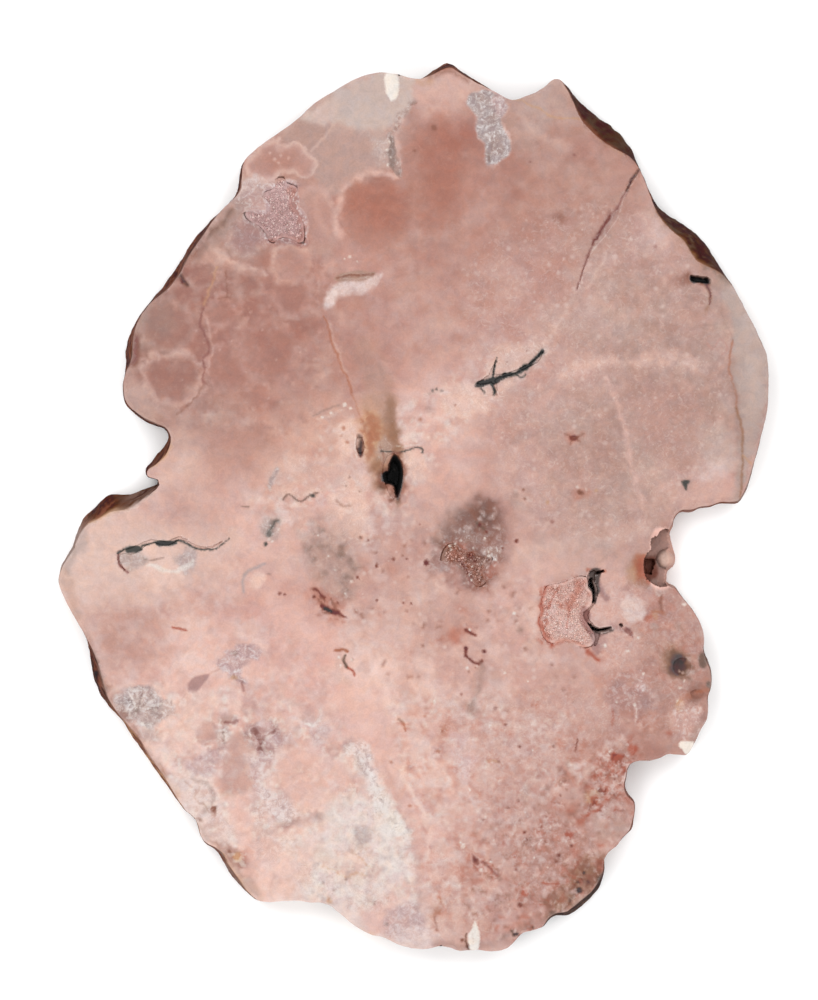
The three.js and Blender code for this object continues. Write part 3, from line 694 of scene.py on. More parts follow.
NORTH_WEST = (
    # milky dome, its sandy side and the wedge beneath it
    patch(Hue.MILKY_GREY, 7, 299, 121, 320, 104, 347, 84, 366, 77, 383, 72, 402, 74, 413, 84, 414, 98,
          405, 112, 394, 121, 377, 129, 350, 127, 326, 125),
    blob(Hue.CREAM, 9, 323, 114, 14, 9, -38, strength=0.6),
    blob(Hue.STORM, 14, 372, 96, 26, 16, -20, strength=0.4),
    patch(Hue.WARM_ASH, 10, 309, 126, 330, 130, 350, 130, 389, 136, 392, 162, 380, 169, 366, 171, 352, 184,
          342, 196, 330, 191, 318, 182, 311, 160),
    blob(Hue.MILKY_GREY, 8, 381, 148, 8, 14, -8, strength=0.7, crystal=0.5),
    patch(Hue.ASH_ROSE, 5, 291, 128, 303, 121, 322, 126, 326, 134, 314, 147, 300, 150, 286, 141),
    vein(Hue.CREAM, 2.2, 2.2, 333, 126, 322, 140, 311, 151, strength=0.5),
    # lobes, pale at their edges and deeper inside, the furthest first
    blob(Hue.PALE_ASH, 5, 319, 222, 18, 37, -6, core=Hue.CLAY_ROSE, core_depth=9, strength=0.8, ragged=3),
    blob(Hue.BRICK, 16, 374, 212, 34, 36, strength=0.6, ragged=6),
    vein(Hue.CREAM, 4, 4, 336, 234, 336, 214, 342, 196, 352, 182, 366, 174, 382, 172, 396, 178,
         strength=0.6, ragged=3),
    vein(Hue.SAND, 5, 5, 330, 236, 322, 222, 314, 206, 318, 194, 330, 190, strength=0.55, ragged=3),
    blob(Hue.CLAY_ROSE, 22, 372, 244, 30, 12, strength=0.6),
    patch(Hue.CREAM, 3, 245, 162, 251, 152, 258, 146, 267, 142, 275, 138, 284, 145, 296, 143, 309, 153,
          317, 163, 312, 174, 300, 180, 292, 174, 280, 175, 275, 184, 261, 182, 248, 175,
          core=Hue.CLAY_ROSE, core_depth=9, ragged=4, strength=0.75),
    blob(Hue.BRICK, 14, 278, 160, 14, 9, strength=0.4, ragged=4),
    patch(Hue.CLAY_ROSE, 5, 298, 150, 308, 156, 314, 166, 306, 176, 298, 172, 294, 160, strength=0.6),
    flecks(Hue.CREAM, 1.6, 270, 153, 1.4, 275, 159, 1.6, 281, 155, 1.3, 279, 163, 1.5, 288, 158, 1.1,
           strength=0.6),
    blob(Hue.SAND, 8, 253, 206, 16, 8, strength=0.6),
    patch(Hue.MILKY_GREY, 7, 233, 196, 243, 184, 258, 179, 272, 184, 280, 192, 274, 201, 260, 197, 246, 205,
          237, 210, strength=0.7, ragged=5, crystal=0.6, flake=0.6, glint=0.5),
    blob(Hue.PALE_ASH, 6, 246, 236, 21, 22, core=Hue.MAUVE, core_depth=13, ragged=5, crystal=0.25,
         strength=0.8),
    vein(Hue.CREAM, 4.5, 5, 205, 230, 213, 246, 222, 258, 238, 264, 250, 268, 266, 274, strength=0.75,
         ragged=3.5),
    vein(Hue.SAND, 5, 8, 186, 262, 204, 257, 220, 260, 236, 268, strength=0.55, ragged=3.5),
    blob(Hue.PALE_ASH, 6, 203, 275, 14, 15, core=Hue.OLD_BRICK, core_depth=6, strength=0.6, ragged=5),
    blob(Hue.PALE_ASH, 6, 247, 284, 15, 14, core=Hue.OLD_BRICK, core_depth=6, strength=0.6, ragged=5),
    blob(Hue.DUSTY_ROSE, 5, 291, 295, 20, 22, core=Hue.FADED_BRICK, core_depth=9, strength=0.75, ragged=4),
    blob(Hue.SAND, 5, 290, 264, 20, core=Hue.CLAY_ROSE, core_depth=8, strength=0.75, ragged=5),
    vein(Hue.CREAM, 4, 3, 272, 268, 274, 254, 284, 246, 298, 246, 308, 254, strength=0.6, ragged=2.4),
    blob(Hue.PALE_ASH, 6, 183, 296, 16, 14, core=Hue.OLD_BRICK, core_depth=7, strength=0.6, ragged=5),
    blob(Hue.PALE_ASH, 8, 167, 325, 30, 28, -30, core=Hue.OLD_BRICK, strength=0.6, ragged=6),
    blob(Hue.SMOKE, 14, 158, 318, 16, 14, -30, strength=0.4, ragged=6),
    patch(Hue.CREAM, 4, 138, 366, 150, 355, 170, 355, 184, 349, 197, 355, 205, 370, 203, 386, 189, 400,
          168, 404, 150, 396, strength=0.65, core=Hue.OLD_BRICK, core_depth=13, ragged=6),
    blob(Hue.DUSTY_ROSE, 8, 231, 368, 26, 28, core=Hue.FADED_BRICK, core_depth=10, strength=0.65, ragged=5),
    blob(Hue.DUSTY_ROSE, 6, 221, 312, 16, core=Hue.FADED_BRICK, core_depth=8, strength=0.65, ragged=4),
    blob(Hue.DUSTY_ROSE, 10, 268, 352, 30, 34, core=Hue.FADED_BRICK, strength=0.5, ragged=6),
    vein(Hue.PALE_ASH, 8, 13, 128, 366, 134, 386, 148, 402, 166, 411, 184, 414, strength=0.7),
    vein(Hue.CREAM, 3.4, 3, 243, 301, 241, 315, 238, 330, strength=0.4),
    vein(Hue.PALE_ASH, 4, 4, 256, 305, 276, 314, 294, 318, 320, 315, strength=0.55, ragged=3.5),
    vein(Hue.LIVER, 2, 1.6, 226, 272, 226, 285, 227, 298, strength=0.6),
    vein(Hue.LIVER, 2, 1.6, 218, 299, 230, 298, strength=0.5),
    patch(Hue.LIVER, 4, 125, 352, 133, 335, 141, 339, 141, 356, 133, 367, 125, 367, core=Hue.PLUM,
          core_depth=5),
    vein(Hue.CREAM, 3.4, 2, 143, 338, 142, 350, 140, 361, strength=0.5),
    flecks(Hue.CREAM, 1.6, 196, 330, 1.2, 232, 340, 1, 262, 330, 1.1, 246, 372, 1, 276, 360, 1.2,
           182, 380, 1, 220, 350, 1, 250, 312, 1, 268, 398, 1.1, 300, 352, 1, strength=0.45),
    # the druse where the lobes meet, with painted shade: mauve, plum and dark red crescents along its east
    # and south edges, where its walls go down
    patch(Hue.LAVENDER, 3, 287, 180, 298, 186, 298, 200, 303, 212, 307, 225, 305, 245, 291, 243, 279, 243,
          268, 244, 262, 234, 257, 226, 246, 221, 244, 212, 254, 210, 266, 210, 264, 198, 266, 190,
          276, 184, crystal=0.8, rough=0.7),
    vein(Hue.MAUVE, 4, 5, 299, 187, 294, 200, 297, 212, 303, 226, 303, 243, strength=0.9, ragged=2.5),
    vein(Hue.PLUM, 3, 2.6, 296, 191, 297, 207, strength=0.7, ragged=2.5),
    vein(Hue.PLUM, 3, 3.4, 266, 240, 277, 242, 288, 241, 301, 246, strength=0.7),
    vein(Hue.OXBLOOD, 2.4, 1.8, 268, 241, 278, 243, 285, 241, strength=0.5),
    # the dark seam between the milky dome and the brick field
    vein(Hue.SMOKE, 4, 7, 415, 103, 402, 114, 395, 130, 391, 146, 393, 160, 398, 173, strength=0.7,
         ragged=4, crystal=0.7, rust=0.4),
    patch(Hue.DEEP_SMOKE, 3, 390, 138, 395, 137, 397, 150, 399, 163, 401, 171, 396, 176, 390, 167, 389, 153,
          ragged=2.5, strength=0.8, rough=0.6),
    vein(Hue.LIVER, 2.4, 1.8, 416, 104, 406, 111, 399, 119, 396, 130, strength=0.65, ragged=3),
    flecks(Hue.CHALK_AND_GLINT, 1.2, 389, 142, 1.3, 387, 150, 1.5, 391, 158, 1.1, 388, 165, 1.2, 396, 126, 1,
           strength=0.8),
    # eye-shaped slit with a white wedge beneath it
    patch(Hue.NACRE, 5, 326, 306, 328, 292, 334, 284, 346, 280, 362, 279, 377, 274, 384, 272, 377, 284,
          366, 291, 350, 294, 337, 296, 332, 305, strength=0.9, ragged=1.6, crystal=0.4),
    patch(Hue.TAN, 2, 333, 279, 341, 273, 353, 271, 366, 271, 376, 273, 368, 279, 356, 281, 343, 282,
          ragged=1.2),
    vein(Hue.LIVER, 1.6, 2, 337, 278, 348, 275, 360, 275, 373, 274, ragged=1, strength=0.85),
    # painted glints: white flecks that stand for highlights
    flecks(Hue.CHALK_AND_GLINT, 1.4, 350, 257, 1.6, 357, 262, 1, 344, 259, 0.9, strength=0.7),
)

WEST_VEINS = (
    vein(Hue.HONEY, 2.4, 2, 217, 267, 211, 286, 204, 305, strength=0.65),
    vein(Hue.PLUM, 2.6, 2.6, 203, 310, 201, 320, 205, 333, 209, 346, 205, 359, 203, 372, 204, 384,
         strength=0.75, ragged=3, rust=0.9),
    vein(Hue.CREAM, 2.4, 1.6, 208, 318, 211, 336, 213, 352, 208, 368, strength=0.45),
    vein(Hue.LIVER, 2.4, 1.8, 203, 386, 192, 401, 177, 414, strength=0.5),
    vein(Hue.TEA_ROSE, 2.4, 2, 314, 256, 320, 275, 322, 300, 325, 316, strength=0.7),
    vein(Hue.RUST, 2, 2, 325, 316, 329, 333, 337, 354, 345, 374, 353, 396, 361, 418, strength=0.75,
         ragged=1.6),
    vein(Hue.CREAM, 3, 2, 328, 322, 336, 346, 346, 372, strength=0.4),
    # the plume that the second vein feeds, down to the deep hollow
    patch(Hue.SAND, 12, 352, 396, 372, 384, 391, 396, 396, 425, 401, 452, 390, 470, 374, 474, 362, 464,
          363, 440, 357, 418, strength=0.6, ragged=5),
    vein(Hue.TAN, 16, 22, 364, 350, 374, 385, 384, 420, 388, 450, strength=0.4, ragged=5),
    blob(Hue.HONEY, 14, 374, 414, 12, 20, -8, strength=0.35, ragged=4),
    blob(Hue.HONEY, 8, 380, 438, 12, 14, strength=0.5, ragged=4),
    patch(Hue.HONEY, 9, 358, 418, 372, 412, 384, 428, 378, 444, 380, 464, 370, 468, 362, 450, 362, 436,
          strength=0.6, ragged=4, rust=0.5),
    patch(Hue.RUST, 7, 360, 418, 372, 414, 382, 430, 376, 444, 378, 464, 370, 466, 363, 450, 363, 436,
          grain=6, sparse=0, strength=0.65),
    vein(Hue.RUST, 3.4, 3, 362, 420, 368, 433, 371, 446, strength=0.7, ragged=2.5),
    vein(Hue.TAN, 8, 9, 388, 392, 390, 412, 394, 434, 398, 452, strength=0.75, ragged=3),
    vein(Hue.TAN, 15, 15, 383, 378, 387, 408, 392, 436, 397, 456, strength=0.5),
    vein(Hue.TOBACCO, 12, 9, 389, 398, 392, 430, 398, 456, strength=0.65, ragged=1.5),
    vein(Hue.TOBACCO, 6, 5, 394, 426, 397, 442, 400, 456, strength=0.5, ragged=1),
    blob(Hue.TOBACCO, 13, 384, 470, 15, 20, strength=0.7, ragged=4),
    blob(Hue.UMBER, 9, 388, 477, 9, 12, strength=0.8, ragged=3),
    patch(Hue.OYSTER, 4, 378, 443, 386, 440, 392, 446, 390, 458, 385, 464, 379, 460, 376, 452, ragged=3,
          strength=0.55, flake=0.8),
    blob(Hue.TOBACCO, 6, 382, 468, 7, 8, strength=0.5, grain=4, sparse=0),
    vein(Hue.LIVER, 2, 1.4, 380, 446, 384, 456, 381, 468, strength=0.6),
    # the small dark pit beside it
    patch(Hue.LIVER, 2.2, 357, 434, 362, 434, 364, 445, 363, 456, 358, 456, 356, 445, core=Hue.BISTRE,
          core_depth=3, ragged=1.2, rough=1),
    vein(Hue.CHALK_AND_GLINT, 1.6, 1.6, 355, 437, 354, 448, 357, 458, strength=0.6),
)

NORTH = (
    patch(Hue.PETAL, 5, 414, 96, 416, 82, 426, 75, 446, 74, 462, 79, 459, 92, 440, 96, 424, 101,
          strength=0.8),
    blob(Hue.HONEY, 6, 425, 82, 7, 4, strength=0.5),
    patch(Hue.BRICK, 26, 420, 134, 436, 120, 458, 128, 466, 160, 466, 200, 448, 226, 424, 220, 412, 190,
          412, 156, strength=0.55, ragged=10),
    blob(Hue.BRICK, 14, 446, 190, 13, 22, strength=0.35),
    flecks(Hue.LIVER, 2.4, 434, 128, 2.8, 415, 151, 1.6, strength=0.7),
    blob(Hue.OLD_BRICK, 7, 562, 219, 8, 6, strength=0.75, ragged=3),
    vein(Hue.OLD_BRICK, 4, 3, 541, 213, 553, 217, 568, 216, 581, 211, strength=0.45),
    blob(Hue.LIVER, 3, 561, 221, 3.4, 2.4, strength=0.6),
    flecks(Hue.PLUM, 2, 574, 155, 1.6, 655, 247, 1.8, 530, 162, 1.1, 606, 205, 1, strength=0.7),
    # grey quartz spur
    patch(Hue.STORM, 3, 470, 93, 482, 90, 497, 94, 506, 98, 507, 112, 502, 120, 509, 134, 511, 150,
          503, 160, 492, 166, 484, 161, 486, 148, 478, 136, 476, 118, 468, 106, ragged=2.4, crystal=0.75,
          rim=Hue.PETAL, rim_width=1.8),
    patch(Hue.LAVENDER, 4, 496, 94, 505, 98, 506, 110, 499, 116, 492, 106, strength=0.7),
    blob(Hue.SMOKE, 5, 482, 98, 5, 4, strength=0.6, ragged=2.5),
    blob(Hue.SMOKE, 5, 490, 118, 5, 7, strength=0.6),
    blob(Hue.SMOKE, 6, 497, 148, 6, 8, strength=0.6, ragged=3),
    blob(Hue.DEEP_SMOKE, 3, 489, 158, 3, 4, strength=0.6),
    vein(Hue.CREAM, 6, 7, 520, 112, 532, 128, 548, 140, 566, 148, strength=0.4),
    vein(Hue.HONEY, 2.4, 1.6, 512, 99, 528, 103, 546, 113, 562, 118, 582, 119, strength=0.7, ragged=1.6),
    vein(Hue.CREAM, 3, 2.6, 566, 86, 572, 100, 582, 114, strength=0.6),
    vein(Hue.PETAL, 10, 12, 470, 330, 520, 352, 580, 356, 640, 362, 700, 366, strength=0.35),
)

NORTH_EAST = (
    # the rind's brown shade on the face
    vein(Hue.LIVER, 6, 5, 570, 94, 582, 116, 597, 134, 622, 151, 636, 161, strength=0.55, ragged=2.5),
    vein(Hue.HONEY, 3, 2, 572, 100, 584, 120, 600, 139, 622, 155, strength=0.5),
    vein(Hue.LIVER, 7, 5, 660, 212, 682, 234, 699, 256, 722, 273, strength=0.5, ragged=2.5),
    vein(Hue.CLAY_ROSE, 10, 9, 668, 226, 690, 252, 716, 280, strength=0.5),
    vein(Hue.HONEY, 2.4, 1.6, 663, 221, 681, 240, 697, 259, strength=0.6),
    # the long crack and the pale seam that goes on from it
    vein(Hue.ASH_ROSE, 7, 9, 622, 196, 614, 215, 604, 236, 592, 254, strength=0.7, ragged=3),
    vein(Hue.MILKY_GREY, 3, 3.4, 618, 205, 609, 224, 601, 238, 593, 250, strength=0.7, ragged=2.4,
         flake=0.5),
    vein(Hue.PLUM, 5, 6, 616, 208, 606, 226, 596, 242, strength=0.55, ragged=3),
    vein(Hue.UMBER, 2, 2.6, 639, 170, 632, 180, 627, 190, strength=0.95, ragged=1.6),
    vein(Hue.PLUM, 2.2, 2, 627, 190, 620, 202, 610, 216, strength=0.7, ragged=2.2),
    vein(Hue.OXBLOOD, 2.2, 3, 611, 216, 604, 226, 599, 236, 593, 246, strength=0.85, ragged=2.4),
    vein(Hue.PLUM, 2, 1.8, 592, 248, 586, 262, 582, 274, 577, 291, strength=0.85, ragged=1.8),
    blob(Hue.CLAY_ROSE, 10, 560, 222, 14, 10, strength=0.5),
    blob(Hue.LIVER, 6, 561, 218, 6, 4, strength=0.45, ragged=3),
    vein(Hue.CREAM, 3, 2.6, 606, 252, 598, 268, 588, 287, strength=0.6),
    vein(Hue.CREAM, 3.4, 2.4, 577, 292, 567, 308, 554, 330, 545, 343, strength=0.6),
    # the hollow, painted near-black inside as painted shade, with its brown tail
    blob(Hue.TEA_ROSE, 12, 684, 279, 12, 8, strength=0.85),
    blob(Hue.LIVER, 8, 687, 279, 7, 6, strength=0.75),
    vein(Hue.LIVER, 4, 6, 689, 277, 699, 281, 708, 285, strength=0.85, ragged=1.4),
    vein(Hue.TOBACCO, 5, 6, 706, 286, 710, 296, 706, 312, end_width=2, strength=0.7),
    vein(Hue.OXBLOOD, 2, 3, 706, 284, 710, 292, 709, 304, end_width=1, ragged=1.4),
    patch(Hue.BISTRE, 2, 690, 275, 700, 277, 709, 278, 710, 284, 700, 283, 691, 282, core=Hue.PEAT,
          core_depth=3, ragged=1, rough=1),
    # the milky east rim and the honey-brown line inside it
    patch(Hue.OYSTER, 5, 722, 276, 735, 280, 752, 300, 766, 330, 770, 362, 768, 400, 758, 436, 748, 470,
          741, 500, 733, 498, 738, 460, 741, 425, 738, 395, 730, 370, 733, 345, 729, 310, 720, 290,
          ragged=3),
    patch(Hue.MILKY_GREY, 10, 744, 320, 760, 340, 764, 380, 756, 420, 748, 400, 744, 360, strength=0.4,
          ragged=5),
    vein(Hue.RUST, 2.2, 1.8, 733, 340, 730, 352, 729, 371, 735, 390, 737, 408, strength=0.75, ragged=1.4),
    vein(Hue.SMOKE, 6, 5, 731, 360, 733, 390, 739, 420, 740, 460, 738, 496, strength=0.45, ragged=3),
    vein(Hue.TOBACCO, 2.4, 2, 737, 408, 742, 430, 743, 458, 741, 500, strength=0.8, ragged=1.6),
    vein(Hue.HONEY, 2, 1.4, 743, 455, 752, 464, strength=0.7, ragged=1.2),
    vein(Hue.SMOKE, 2.4, 1.8, 733, 340, 724, 322, 722, 300, strength=0.35),
    vein(Hue.CLAY_ROSE, 2, 1.8, 706, 341, 713, 349, 720, 339, 727, 348, 722, 355, strength=0.8, ragged=1.4),
    vein(Hue.SHELL, 4, 3, 605, 375, 618, 402, 626, 440, 634, 476, strength=0.55, ragged=3),
    vein(Hue.SHELL, 5, 4, 625, 360, 655, 352, 690, 356, 712, 366, strength=0.4, ragged=4, flake=0.3),
    vein(Hue.SHELL, 4, 3, 652, 470, 664, 488, 672, 506, strength=0.5),
)

EAST = (
    patch(None, 30, 470, 250, 560, 200, 640, 210, 716, 300, 724, 420, 716, 480, 650, 540, 560, 540,
          500, 480, 470, 350, ragged=10, pearl=0.9, flake=0.4, crystal=0.08),
    patch(Hue.SHELL, 10, 664, 486, 690, 476, 728, 470, 738, 492, 706, 500, 676, 502, strength=0.6,
          ragged=4),
    patch(Hue.MILKY_GREY, 12, 690, 430, 716, 424, 736, 440, 738, 466, 716, 470, 698, 456, strength=0.6,
          ragged=5),
    patch(Hue.CLAY_ROSE, 30, 640, 380, 690, 384, 706, 420, 690, 450, 650, 452, 630, 420, strength=0.55,
          ragged=8),
    vein(Hue.APRICOT, 10, 9, 560, 374, 578, 366, 604, 362, 634, 362, 664, 360, 694, 362, strength=0.5,
         ragged=4, flake=0.7),
    vein(Hue.BLUSH, 4, 4, 606, 376, 618, 404, 627, 440, 634, 476, 644, 510, strength=0.6),
    blob(Hue.CLAY_ROSE, 22, 655, 425, 16, 14, strength=0.4),
    blob(Hue.CLAY_ROSE, 18, 600, 448, 20, 10, strength=0.35),
    blob(Hue.NACRE, 16, 712, 468, 20, 10, strength=0.6, ragged=4),
    blob(Hue.SAND, 14, 690, 494, 26, 7, strength=0.5),
    blob(Hue.NACRE, 24, 655, 232, 18, 20, -35, strength=0.45),
    blob(Hue.WARM_ASH, 20, 590, 395, 24, 14, strength=0.4),
    # star-shaped pits
    blob(Hue.TERRACOTTA, 6, 573, 437, 8, 5, strength=0.6),
    blob(Hue.OXBLOOD, 2.4, 573, 437, 4, 3, ragged=1.6),
    vein(Hue.LIVER, 2, 1.6, 565, 433, 574, 437, 583, 434, strength=0.8, ragged=1.4),
    vein(Hue.LIVER, 2, 1.5, 570, 444, 574, 437, 579, 441, strength=0.7, ragged=1.2),
    blob(Hue.TERRACOTTA, 6, 581, 492, 9, 5, strength=0.5),
    blob(Hue.LIVER, 2.6, 580, 493, 3.6, 3, 20, ragged=1.6),
    flecks(Hue.CHALK_AND_GLINT, 1.4, 577, 487, 1.1, 586, 489, 1, strength=0.7),
    blob(Hue.ASH_ROSE, 7, 686, 486, 8, 6, strength=0.5),
    patch(Hue.SLATE, 1.6, 682, 481, 690, 481, 688, 485, 686, 491, 684, 486, ragged=1),
    # the bird-shaped fissure and its pale wake
    patch(Hue.CREAM, 9, 486, 372, 495, 352, 512, 343, 538, 340, 549, 348, 542, 362, 528, 372, 512, 382,
          503, 397, 488, 396, 480, 385, strength=0.8, ragged=4, flake=0.7),
    patch(Hue.APRICOT, 10, 446, 396, 462, 386, 480, 386, 491, 396, 484, 410, 470, 418, 452, 419, 444, 409,
          strength=0.8, ragged=5, flake=0.7),
    vein(Hue.STORM, 6, 8, 480, 384, 492, 379, 503, 377, 520, 371, 533, 362, 542, 352, strength=0.5,
         ragged=3),
    vein(Hue.GREEN_BLACK, 2, 4.4, 482, 384, 492, 379, 503, 377, 520, 371, 533, 362, 542, 352),
    vein(Hue.PEAT, 2, 6, 478, 384, 486, 382, 498, 379, 506, 376, rough=1),
    vein(Hue.GREEN_BLACK, 1.6, 3, 491, 380, 494, 370, 496, 358, end_width=1, ragged=1.4),
    vein(Hue.GREEN_BLACK, 1.6, 3, 492, 384, 495, 390, 494, 395, end_width=1.4, ragged=1.2),
    vein(Hue.SLATE, 1.4, 1.6, 514, 373, 520, 377, 525, 374, ragged=1.4),
    vein(Hue.SLATE, 1.4, 1.6, 481, 388, 485, 393, ragged=1),
    flecks(Hue.SLATE, 1.6, 433, 391, 1.6, 437, 389, 1.4, 442, 390, 1.6, 430, 394, 1, strength=0.65),
    vein(Hue.CREAM, 3, 3, 424, 396, 436, 392, 447, 386, strength=0.7, flake=0.6),
    flecks(Hue.LIVER, 1.6, 507, 362, 1.1, 527, 350, 1, 455, 405, 1, strength=0.6),
)

